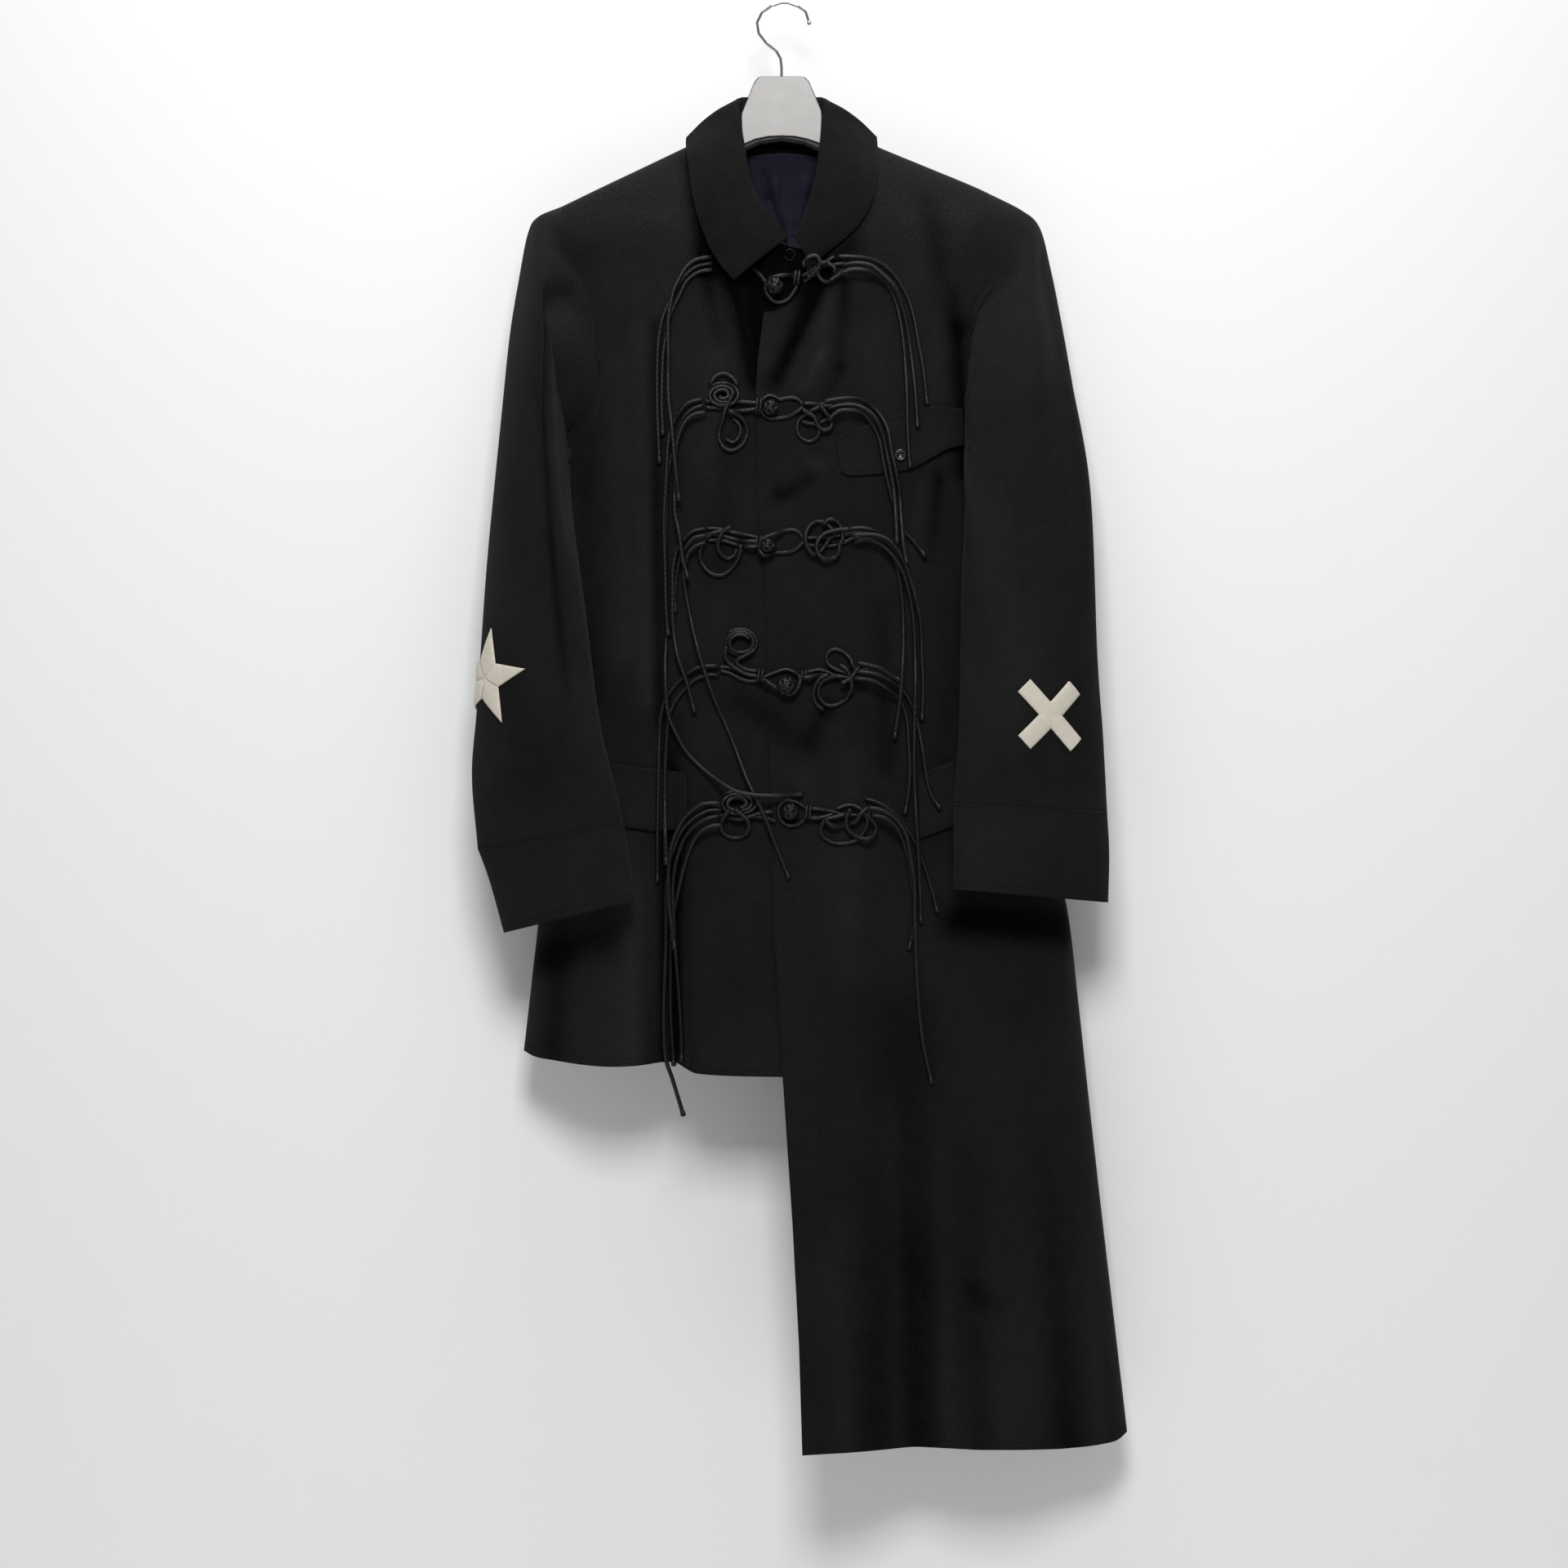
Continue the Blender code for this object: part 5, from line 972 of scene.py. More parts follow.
# Inside a knot: points to a hump, the share of its thickness that a crossing takes, and how high the pile grows.
KNOT_REACH, KNOT_SQUEEZE, KNOT_HEIGHT, KNOT_POINT_EVERY = 3, 0.72, 11.0, 2.2
CORDS = {
    "cord_5_left_c": (
        (83, -745), (95, -747), (106, -756), (112, -769), (117, -788), (120, -810), (122, -832),
        (120, -853), (117, -868),
    ),
    "cord_5_left_a": (
        (77, -730), (88, -733), (100, -740), (111, -751), (121, -766), (128, -782), (134, -800),
        (140, -820), (143, -834),
    ),
    "cord_5_left_b": (
        (80, -738), (92, -740), (105, -748), (114, -761), (118, -780), (122, -806), (122, -832),
        (123, -859), (124, -890), (126, -920), (130, -954), (135, -977), (138, -991),
    ),
    "cord_4_left_c": (
        (68, -619), (83, -621), (97, -628), (109, -639), (115, -656), (117, -682), (118, -706),
        (116, -728), (113, -744),
    ),
    "cord_4_left_b": (
        (70, -613), (86, -615), (98, -620), (110, -628), (118, -640), (124, -657), (129, -682),
        (134, -714), (139, -729), (146, -739),
    ),
    "cord_4_left_a": (
        (70, -605), (80, -607), (91, -610), (101, -616), (110, -622),
    ),
    "cord_3_left_a": (
        (62, -482), (74, -481), (86, -484), (95, -491), (103, -506), (108, -526), (111, -551),
        (112, -582), (111, -610), (109, -636), (106, -658), (104, -674),
    ),
    "cord_3_left_c": (
        (67, -494), (79, -492), (91, -496), (101, -505), (110, -518), (116, -535), (120, -555),
        (122, -578), (123, -619), (122, -666), (122, -706), (124, -752), (126, -786), (128, -844),
    ),
    "cord_3_left_b": (
        (65, -488), (77, -487), (89, -488), (101, -494), (111, -508), (118, -526), (124, -548),
        (128, -570), (129, -602), (130, -626), (129, -658),
    ),
    "cord_2_left_c": (
        (43, -382), (52, -374), (62, -373), (74, -375), (83, -385), (90, -400), (94, -422),
        (99, -444), (105, -465), (112, -482), (122, -494), (132, -507),
    ),
    "cord_2_left_b": (
        (43, -371), (57, -368), (71, -369), (84, -377), (92, -392), (97, -413), (103, -446),
        (105, -472), (106, -495),
    ),
    "cord_2_left_a": (
        (39, -365), (50, -363), (63, -362), (75, -364), (88, -374), (97, -389), (101, -410),
        (105, -428), (108, -446), (110, -474), (112, -496), (115, -514),
    ),
    "cord_1_left_c": (
        (55, -248), (63, -244), (74, -244), (86, -247), (97, -257), (105, -274), (110, -296),
        (113, -322), (115, -356), (116, -396), (118, -426),
    ),
    "cord_1_left_b": (
        (56, -240), (68, -238), (82, -240), (94, -249), (104, -260), (111, -278), (116, -300),
        (120, -330), (123, -358), (125, -389),
    ),
    "cord_1_left_a": (
        (52, -232), (63, -232), (80, -234), (94, -240), (106, -252), (116, -270), (122, -290),
        (126, -312), (130, -334), (134, -368),
    ),
    "cord_5_right_d": (
        (-55, -754), (-65, -755), (-76, -761), (-83, -773), (-89, -790), (-94, -810), (-99, -836),
        (-102, -859), (-102, -878), (-102, -924), (-100, -958), (-99, -975),
    ),
    "cord_5_right_c": (
        (-58, -746), (-68, -748), (-79, -754), (-88, -764), (-94, -777), (-98, -793), (-100, -814),
        (-99, -844), (-97, -872), (-94, -913), (-92, -947), (-92, -971),
    ),
    "cord_5_right_b": (
        (-56, -740), (-68, -741), (-81, -748), (-92, -759), (-99, -775), (-104, -793), (-106, -814),
        (-106, -855), (-108, -913), (-108, -947), (-106, -970), (-100, -988), (-90, -1021),
    ),
    "cord_5_right_a": (
        (-56, -734), (-67, -734), (-76, -736), (-89, -747), (-98, -764), (-103, -782), (-104, -809),
        (-102, -837), (-98, -868),
    ),
    "cord_4_right_b": (
        (-58, -616), (-68, -616), (-79, -620), (-88, -628), (-97, -639), (-103, -652), (-105, -666),
        (-107, -706), (-107, -752), (-106, -790),
    ),
    "cord_4_right_a": (
        (-59, -608), (-68, -608), (-79, -610), (-89, -617), (-99, -627), (-106, -638), (-110, -649),
        (-112, -666), (-113, -706), (-114, -763), (-114, -806),
    ),
    "cord_3_right_b": (
        (-69, -488), (-80, -490), (-86, -496), (-92, -506), (-96, -521), (-98, -540), (-98, -559),
    ),
    "cord_3_right_a": (
        (-70, -482), (-81, -484), (-88, -490), (-94, -497), (-98, -508), (-100, -521), (-100, -542),
        (-100, -566), (-96, -596), (-88, -620), (-84, -634), (-80, -650),
    ),
    "cord_3_right_c": (
        (-70, -495), (-78, -497), (-85, -503), (-88, -512), (-90, -523), (-89, -534), (-86, -552),
        (-79, -584), (-69, -618), (-58, -646), (-46, -674), (-33, -709), (-24, -728), (-15, -747),
        (-4, -775), (7, -803),
    ),
    "cord_2_right_b": (
        (-72, -369), (-82, -372), (-90, -380), (-95, -391), (-99, -405), (-104, -431), (-106, -476),
        (-106, -521), (-106, -566), (-106, -586), (-107, -606), (-106, -636), (-103, -656),
        (-96, -671), (-87, -687), (-68, -706), (-46, -721), (-27, -726), (-4, -727), (19, -726),
    ),
    "cord_2_right_c": (
        (-70, -375), (-81, -377), (-89, -384), (-94, -395), (-97, -409), (-98, -439), (-98, -466),
        (-94, -486), (-91, -508), (-86, -527),
    ),
    "cord_2_right_a": (
        (-73, -363), (-85, -366), (-94, -375), (-100, -387), (-104, -402), (-106, -436),
        (-108, -474), (-107, -514), (-106, -556), (-104, -580),
    ),
    "cord_1_right_b": (
        (-64, -238), (-78, -241), (-89, -250), (-100, -267), (-108, -285), (-112, -302),
        (-114, -326), (-114, -371), (-112, -422),
    ),
    "cord_1_right_c": (
        (-64, -244), (-76, -246), (-87, -254), (-94, -268), (-102, -285), (-106, -304),
        (-109, -326), (-110, -364), (-109, -396),
    ),
    "cord_1_right_a": (
        (-65, -232), (-79, -235), (-88, -242), (-95, -254), (-100, -266), (-104, -290),
        (-104, -318), (-104, -358), (-101, -386), (-98, -420), (-94, -456),
    ),
}


def rounded_route(route, every):
    """A smooth curve through a route's own points, with points spread evenly along it."""
    p = np.array(route, float)
    padded = np.concatenate([2 * p[:1] - p[1:2], p, 2 * p[-1:] - p[-2:-1]])
    fine = []
    for i in range(len(p) - 1):
        a, b, c, d = padded[i:i + 4]
        t = np.linspace(0, 1, 24, endpoint=False)[:, None]
        curved = (2 * a - 5 * b + 4 * c - d) * t**2 + (3 * b - a - 3 * c + d) * t**3
        fine.append(0.5 * (2 * b + (c - a) * t + curved))
    fine = np.concatenate(fine + [p[-1:]])
    run = run_of(fine)
    return read_line(np.linspace(0, run[-1], max(int(round(run[-1] / every)), 2) + 1), run, fine)


def spread_min(values, reach):
    """The least of each value and its neighbours up to reach places away."""
    padded = np.pad(values, reach, mode="edge")
    return np.min([padded[i:i + len(values)] for i in range(2 * reach + 1)], axis=0)


def soft_hump(values, reach):
    """A smoother line that never lies behind the given one."""
    padded = np.pad(spread_min(values, reach), reach, mode="edge")
    weights = np.hanning(2 * reach + 3)[1:-1]
    return np.minimum(np.convolve(padded, weights / weights.sum(), mode="valid"), values)


laid = np.zeros((0, 4))


def over_itself(fine, y, pitch):
    """Lifts the later run of a cord over its own earlier run where they cross."""
    y = y.copy()
    apart = int(3.2 * pitch / LAY_STEP)
    for i in range(apart, len(fine)):
        near = np.hypot(*(fine[: i - apart] - fine[i]).T)
        for k in np.nonzero(near < pitch)[0]:
            y[i] = min(y[i], y[k] - np.sqrt(pitch**2 - near[k] ** 2))
    return y


def lay(route, every, thickness=CORD_DIAMETER, reach=HUMP_REACH, squeeze=1.0, highest=None):
    """Points of one cord, in mm: on the cloth, and over each cord that it crosses, in humps of this reach.

    Inside a knot the cords are pulled tight: squeeze is the share of their thickness that a crossing takes, and
    highest is how far out of the cloth the pile may grow.
    """
    global laid
    fine = rounded_route(route, LAY_STEP)
    floor = filled(np.array([front_of(panels, x, z, thickness / 2) for x, z in fine]))
    need = spread_min(floor, 2) - thickness / 2 - CORD_LIE
    for i, (x, z) in enumerate(fine):
        near = np.hypot(laid[:, 0] - x, laid[:, 2] - z)
        pitch = ((laid[:, 3] + thickness) / 2 + CORD_CLEARANCE) * squeeze
        for k in np.nonzero(near < pitch)[0]:
            need[i] = min(need[i], laid[k, 1] - np.sqrt(pitch[k] ** 2 - near[k] ** 2))
    y = need
    for _ in range(2):
        y = soft_hump(over_itself(fine, y, (thickness + CORD_CLEARANCE) * squeeze), reach)
        if highest is not None:
            y = np.maximum(y, floor - highest)
    path = np.stack([fine[:, 0], y, fine[:, 1]], axis=-1)
    laid = np.concatenate([laid, np.column_stack([path, np.full(len(path), thickness)])])
    count = int(np.ceil(LAY_STEP * len(path) / every)) + 1
    return path[np.unique(np.round(np.linspace(0, len(path) - 1, count)).astype(int))]


def add_tube(bm, uv, path, radii, sides):
    """A round tube along points in metres, closed at both ends, with a UV map in metres: round it, and along."""
    run = run_of(path)
    tangent = np.gradient(path, axis=0)
    tangent /= np.maximum(np.linalg.norm(tangent, axis=1, keepdims=True), 1e-9)
    up = np.cross(tangent[0], [0.0, 1.0, 0.0])
    turn = 2 * np.pi * np.arange(sides) / sides
    rings = []
    for t, centre, r in zip(tangent, path, radii):
        up = up - t * np.dot(up, t)
        up = up / np.linalg.norm(up)
        aside = np.cross(t, up)
        rings.append([bm.verts.new(centre + r * (math.cos(a) * up + math.sin(a) * aside)) for a in turn])
    around = 2 * np.pi * float(np.mean(radii)) / sides
    for i in range(len(path) - 1):
        for k in range(sides):
            n = (k + 1) % sides
            face = bm.faces.new((rings[i][k], rings[i][n], rings[i + 1][n], rings[i + 1][k]))
            face.smooth = True
            for loop, (a, b) in zip(face.loops, ((k, i), (k + 1, i), (k + 1, i + 1), (k, i + 1))):
                loop[uv].uv = (a * around, run[b])
    for ring, at, out in ((rings[0][::-1], path[0], -tangent[0]), (rings[-1], path[-1], tangent[-1])):
        middle = bm.verts.new(at + out * float(radii[-1]) * 0.4)
        for k in range(sides):
            bm.faces.new((ring[k], ring[(k + 1) % sides], middle)).smooth = True


def mesh_piece(name, bm):
    """A new object with the faces that bm holds."""
    bmesh.ops.recalc_face_normals(bm, faces=bm.faces)
    mesh = bpy.data.meshes.new(name)
    bm.to_mesh(mesh)
    bm.free()
    piece = bpy.data.objects.new(name, mesh)
    bpy.context.scene.collection.objects.link(piece)
    return piece


CAP_LENGTH = 5.0
# A crimped end: places back from the tip, in lengths of the cap, and how far the cord swells there.
CAP_PLACES, CAP_SWELLS = (1.0, 0.94, 0.5, 0.1, 0.0), (1.0, 1.16, 1.24, 1.3, 1.12)


def tube_piece(name, paths, radius, sides=12, capped=False):
    """One piece of one or more tubes along paths in metres. A capped tube's end is crimped."""
    bm = bmesh.new()
    uv = bm.loops.layers.uv.new("UVMap")
    for path in paths:
        path = np.asarray(path, float)
        radii = np.full(len(path), radius)
        if capped:
            back = path[-1] - path[-2]
            back /= np.linalg.norm(back)
            ends = [path[-1] - back * CAP_LENGTH * MM * t for t in CAP_PLACES]
            keep = np.linalg.norm(path - path[-1], axis=1) > CAP_LENGTH * MM * 1.15
            path = np.concatenate([path[keep], ends])
            radii = np.concatenate([radii[keep], radius * np.array(CAP_SWELLS)])
        add_tube(bm, uv, path, radii, sides)
    return mesh_piece(name, bm)


# %% [markdown]
# Each frog is tied from the same cord, and no two are alike. On the viewer's left a flat coil or an open loop
# hangs from two or three runs of cord, which end in a stuffed ball. On the right, petals of cord are laced
# through each other and end in the eye that closes round the ball. Every run is drawn on the view, as a tailor
# chalks it, and laid in order, so that later runs ride over earlier ones.

# %% How the frogs run
def winding(x, z, wide, high, least, turns):
    """A flat coil round (x, z), from its outer turn inwards."""
    t = np.linspace(0, 1, int(turns * 16) + 1)
    share = 1 - t * (1 - least / wide)
    turn = 2.4 - 2 * np.pi * turns * t
    return tuple(zip(x + wide * share * np.cos(turn), z + high * share * np.sin(turn)))


FROGS = {
    "frog_5": (
        ("pair", ((-69.8, -735.5), (-59.7, -737.2), (-50.2, -739.5), (-41.2, -742.5), (-32.2, -746.2),
            (-23.2, -746.2), (-14.2, -747), (-5.2, -750.8))),
        ("pair", ((-69.8, -740.6), (-60.8, -743.2), (-50.2, -747), (-39.8, -748.5), (-29.2, -746.2),
            (-20.2, -743.2), (-8.2, -741.8))),
        ("coil", winding(-39.8, -734.2, 18.75, 11.25, 6.75, 2.6)),
        ("ring", ((-48, -740.2), (-52.5, -745.5), (-55.5, -752.2), (-53.6, -760.5), (-45, -765.4),
            (-35.2, -763.5), (-30, -756.8), (-30.8, -750), (-36.8, -744), (-42.8, -739.5))),
        ("eye", ((24.8, -742.5), (22.5, -738.8), (18, -735.4), (11.2, -732), (3.8, -732), (-1.5, -736.5),
            (-3, -743.2), (0, -750), (6.8, -754.5), (15, -753), (21.3, -747.8), (24.8, -744))),
        ("bridge", ((25.5, -738.8), (34.5, -739.5), (47, -741.8), (59.1, -744.5), (69.8, -744.8),
            (81.8, -743.6))),
        ("bridge", ((26.2, -747), (33, -747.8), (40.2, -746.2), (47.2, -744))),
        ("petal", ((58.5, -744.4), (47.6, -747), (40.2, -749.2), (36, -756.6), (38.2, -764), (45.6, -769.4),
            (55.1, -770.8), (65.8, -768.8), (72.8, -764), (77.2, -756.6), (78.8, -748.5), (73.9, -740.2),
            (65.8, -736), (57.8, -736.5), (50.2, -739.5))),
        ("inner", ((41.2, -748.5), (42.8, -751.9), (51, -755.2), (60.4, -753.8), (68.6, -749.8), (72, -744),
            (79.5, -738))),
        ("inner", ((63, -739.5), (59.8, -747), (59.6, -753.8), (63, -759.8), (68.6, -764), (76.5, -766.7),
            (83.2, -764.7), (87, -758.2), (84.8, -750.8), (78.8, -744.8))),
    ),
    "frog_4": (
        ("pair", ((-57, -609), (-48.8, -609), (-40.1, -610.9), (-31, -614.2), (-21.8, -615))),
        ("pair", ((-56.2, -612.4), (-48, -614.2), (-39, -618.8), (-29.2, -621.8), (-19.5, -620.2))),
        ("coil", winding(-37.5, -586.5, 15.75, 12.75, 9, 2.3)),
        ("stem", ((-24.8, -593.2), (-33.8, -598.5), (-41.2, -602.2), (-39.8, -606.8), (-31.5, -611.2),
            (-21.8, -612.8))),
        ("stem", ((-51, -590.2), (-51.8, -599.2), (-48, -605.2), (-40.1, -611.2), (-30.8, -615.8),
            (-21.8, -617.2))),
        ("eye", ((-18, -618.8), (-6.3, -614.2), (4.1, -611.2), (12, -614.2), (17.2, -619.5), (15, -627.8),
            (8.2, -633.8), (-0.8, -630.8), (-7.6, -625.9), (-17.2, -620.2))),
        ("bridge", ((20.2, -615), (24.8, -613.5), (33.8, -611.5), (40.5, -612.8), (48, -616.1), (56.2, -618),
            (63.8, -617.2), (71.2, -612.8), (80.2, -612))),
        ("bridge", ((20.2, -618.8), (26.2, -618), (33, -616.1), (41.2, -616.5))),
        ("petal", ((69.8, -614.2), (65.2, -606.8), (63.8, -602.2), (57.4, -595.3), (49.5, -592.5),
            (43.5, -594.7), (41.2, -600.5), (43.5, -606.8), (49.5, -610.9), (56.2, -613.5), (62.2, -617.2))),
        ("inner", ((71.2, -618.4), (62.2, -618.8), (51, -617.2), (40.5, -620), (34.5, -626.2), (34.5, -635.6),
            (40.5, -642.8), (48, -644), (57.4, -639.5), (63, -631.5), (64.5, -625.2), (63, -617.2),
            (59.2, -610.5), (53.2, -606.8))),
        ("inner", ((42.8, -615.8), (36.8, -618), (31.5, -624), (29.2, -633), (31.5, -642), (38.2, -648))),
        ("inner", ((54.8, -623.6), (59.2, -621.8), (65.2, -617.2), (69, -611.2), (74.2, -606.8))),
    ),
    "frog_3": (
        ("pair", ((-69, -481.8), (-58.5, -482.1), (-43.5, -485.5), (-27.3, -488.8), (-20.2, -491.2))),
        ("pair", ((-69, -486.8), (-63.8, -486.4), (-50.2, -489.5), (-38.2, -492.8), (-24.8, -493.5),
            (-19.5, -494.2))),
        ("pair", ((-68.2, -492), (-53.2, -492.8), (-39.8, -497), (-26.2, -498.3), (-19.5, -497.2))),
        ("ring", ((-53.2, -484.5), (-59.2, -484.9), (-65.2, -486.8), (-72, -494.2), (-75.2, -503.7),
            (-73.9, -511.8), (-67.8, -520.5), (-59, -524.6), (-50.2, -522), (-42.2, -513), (-38.2, -503.7),
            (-37.5, -496.5))),
        ("inner", ((-46.5, -480), (-51.8, -482.6), (-55.7, -487.5), (-58.5, -495.6), (-56.2, -503.7),
            (-49.5, -509.1), (-43.5, -506.2), (-41.2, -500.2))),
        ("eye", ((20.2, -492), (18, -487.5), (14.5, -484.1), (7.8, -482.8), (-3, -486), (-11.2, -488.2),
            (-18.8, -492), (-21, -498.8), (-18, -505.1), (-12, -506.2), (-6, -504), (1, -503.6), (8.2, -503),
            (14.2, -499.5), (20.2, -494.2))),
        ("bridge", ((20.2, -490.5), (28.5, -490.2), (39.8, -490.5), (51.8, -488.2), (62.2, -486.8),
            (74.2, -485.8))),
        ("bridge", ((21.8, -495.8), (29.2, -497.6), (37.5, -497.6), (48.3, -497.2), (57.8, -494.2),
            (64.5, -490.9), (74.2, -489.8))),
        ("petal", ((45, -489.8), (35.2, -503.2), (28.5, -504.4), (24.8, -500.2), (22, -492.8), (22.9, -484.5),
            (27, -478.5), (33.8, -475.1), (39.8, -476.6), (45.8, -481.5), (49.5, -487.5))),
        ("clover", ((38.2, -478.5), (42.8, -473.6), (48.8, -473.6), (53.7, -478.5), (56.2, -486), (55.5, -492.8),
            (51.8, -497.2))),
        ("clover", ((64.5, -482.2), (57.8, -482.2), (52.3, -482.8), (41.5, -485.5), (34.8, -490.9),
            (32.1, -498.3), (34.8, -506.2), (41.5, -510), (48.3, -508.5), (52.5, -503.7), (53.2, -497.2))),
    ),
    "frog_2": (
        ("pair", ((-69.8, -364.5), (-60.8, -365.2), (-50.2, -365.2), (-39, -365.2), (-21.8, -366.4))),
        ("pair", ((-69.8, -370.5), (-60, -370.9), (-50.2, -372), (-38.2, -373.5), (-21.8, -371.6))),
        ("coil", winding(-54, -359.2, 15.75, 11.625, 3.75, 2.8)),
        ("arch", ((-65.2, -348.8), (-62.2, -343.5), (-57.8, -340.5), (-53.2, -339.5), (-48.8, -340.9),
            (-43.5, -345), (-40.5, -350.2))),
        ("drop", ((-44.2, -356.2), (-48, -364.5), (-51.8, -372.8), (-54.4, -381.8), (-57, -390.8), (-57.4, -399),
            (-53.6, -406.5), (-46.9, -409.9), (-40.5, -408), (-34.7, -402.8), (-31.5, -394.5), (-32.2, -386.6),
            (-36, -380.2), (-42, -376.1), (-48.8, -373.5))),
        ("drop", ((-45, -380.2), (-39.8, -384.8), (-37.5, -391.5), (-39.8, -398.2), (-45, -402.4),
            (-51, -399))),
        ("eye", ((19.5, -369), (17, -364.5), (12, -361.8), (5.2, -361.6), (-1.5, -363), (-9.8, -359.6),
            (-16.5, -362.6), (-18.8, -369.8), (-16.5, -376.9), (-10.5, -380.2), (-1.5, -380.2), (6.8, -378.4),
            (14.2, -374.2), (19.5, -370.5))),
        ("bridge", ((20.2, -367), (27, -366.9), (34.5, -367.9), (41.2, -366.8), (48, -365.2))),
        ("bridge", ((34.5, -385.1), (42.2, -380.8), (48.8, -375.8), (54.8, -373.1))),
        ("petal", ((47.2, -369), (39.8, -369.4), (33, -370.5), (27, -373.9), (20.2, -378), (15.8, -382.5),
            (14.1, -389), (15.9, -395.7), (21.3, -400.5), (27.4, -401.2), (33, -397.1), (34.5, -390.8),
            (31.5, -385.9), (25.5, -385.1), (18.8, -383.2))),
        ("clover", ((19.5, -372.4), (24.8, -375.8), (30, -378.8), (31.5, -382.5), (33.5, -387), (38.2, -391),
            (43.5, -390.3), (46.3, -385.5), (44.2, -379.5), (39, -372.8), (35.2, -366.8))),
    ),
    "frog_1": (
        ("strand", ((-27, -240.8), (-22.5, -246), (-17.5, -251.2), (-12.8, -258.8))),
        ("eye", ((15.8, -252.8), (10.5, -249.8), (4.5, -249), (-3, -249.8), (-10.5, -252), (-15, -258.8),
            (-12.8, -267), (-6.8, -273), (0, -273.8), (6.8, -270.4), (11.2, -264), (15.8, -255.8))),
        ("bridge", ((18.8, -249.8), (24.8, -246.8), (30.8, -242.2), (36.5, -240.5), (48.8, -239.2),
            (59.2, -238.5))),
        ("bridge", ((20.2, -255), (26.2, -251.2), (33, -245.2), (39.8, -237.8), (48.6, -232.1))),
        ("petal", ((21, -240.8), (20.2, -237), (24.3, -232.9), (31, -231), (35.2, -234.8), (34.5, -240.8),
            (29.2, -246.8), (24, -251.2))),
        ("petal", ((41.2, -237), (34.5, -239.2), (33, -244.5), (34.5, -250.5), (39.8, -255.2), (45.8, -253.5),
            (49.1, -247.5), (48, -241.5), (42, -237.8))),
        ("petal", ((44.2, -254.2), (50.2, -250.1), (57.8, -244.5))),
    ),
}

# %% [markdown]
# A frog closes on a stuffed ball, knotted from the same cord. Rings of cord are wound round a core in three
# directions, as such a knot is tied, so the ball shows crossing bands.

# %% The knotted balls
FROG_BALLS = {
    "frog_1_knot": (-6, -259, 8.4),
    "frog_2_knot": (-10, -370.5, 7.6),
    "frog_3_knot": (-12.5, -497, 7.4),
    "frog_4_knot": (4.3, -626, 9.6),
    "frog_5_knot": (8, -741.5, 8.2),
}
BALL_CORD, BALL_GAP = 2.1, 0.6
CORE_SINK = 3.2
# Each band of rings: how far it is turned about the view's axis, and how far it is tilted.
BANDS = ((0.3, 1.1), (2.4, 1.22), (4.5, 1.34))
BAND_SPREAD, BAND_WAVE = 2.3, 0.5


def knot_rings(centre, radius):
    """Rings of cord round a ball, as paths in metres: three bands of two."""
    paths = []
    face = np.array([[1, 0, 0], [0, 0, -1], [0, 1, 0]])
    t = np.linspace(0, 2 * np.pi, 33)
    for spin_by, tilt_by in BANDS:
        c, s = math.cos(tilt_by), math.sin(tilt_by)
        tilt = np.array([[c, 0, s], [0, 1, 0], [-s, 0, c]])
        c, s = math.cos(spin_by), math.sin(spin_by)
        spin = np.array([[c, -s, 0], [s, c, 0], [0, 0, 1]])
        for k in (-0.5, 0.5):
            off = k * BALL_CORD * BAND_SPREAD
            flat = math.sqrt(max((radius - BALL_CORD) ** 2 - off**2, 1.0))
            ring = np.stack([flat * np.cos(t), flat * np.sin(t), off + BAND_WAVE * np.sin(3 * t)], axis=-1)
            paths.append(placed(centre) + ring @ tilt.T @ spin.T @ face.T * MM)
    return paths


def sphere(radius, centre, segments, rings):
    """A sphere of a radius in mm round a place on the view."""
    deselect_all()
    bpy.ops.mesh.primitive_uv_sphere_add(
        segments=segments, ring_count=rings, radius=radius * MM, location=placed(centre)
    )
    bpy.ops.object.transform_apply(location=True, rotation=True, scale=True)
    return bpy.context.object


for name, (x, z, radius) in FROG_BALLS.items():
    y = min(front_of(panels, x + dx, z) for dx in (-radius / 2, 0, radius / 2)) - radius - BALL_GAP
    ball = tube_piece(name.replace("knot", "ball"), knot_rings((x, y, z), radius), BALL_CORD * MM)
    sphere(radius - CORE_SINK, (x, y, z), 24, 12)
    ball.select_set(True)
    bpy.context.view_layer.objects.active = ball
    bpy.ops.object.join()
    bpy.ops.object.shade_smooth()
    fit(ball, "cord", name)
    # The cords that are laid next keep off the ball's front.
    turn = np.linspace(0, 6, 7)[:, None]
    around = [x, y - 0.2 * radius, z, radius] + radius * 0.55 * np.cos(turn) * [1, 0, 0, 0]
    laid = np.concatenate([laid, around + radius * 0.55 * np.sin(turn) * [0, 0, 1, 0]])
print("balls:", len(FROG_BALLS))

# %% [markdown]
# Now the frogs are tied. Inside a knot the cord is pulled tight, so a crossing takes less than its thickness.

# %% Tying the frogs
for name, runs in FROGS.items():
    paths = [
        placed(lay(route, KNOT_POINT_EVERY, reach=KNOT_REACH, squeeze=KNOT_SQUEEZE, highest=KNOT_HEIGHT))
        for _, route in runs
    ]
    piece = tube_piece(name + "_tied", paths, CORD_DIAMETER / 2 * MM)
    fit(piece, "cord", name + "_loops")
    print(name, [part for part, _ in runs], len(piece.data.polygons), "faces")

# %% [markdown]
# Where the runs of a frog meet they are bound together with two turns of a thinner cord.

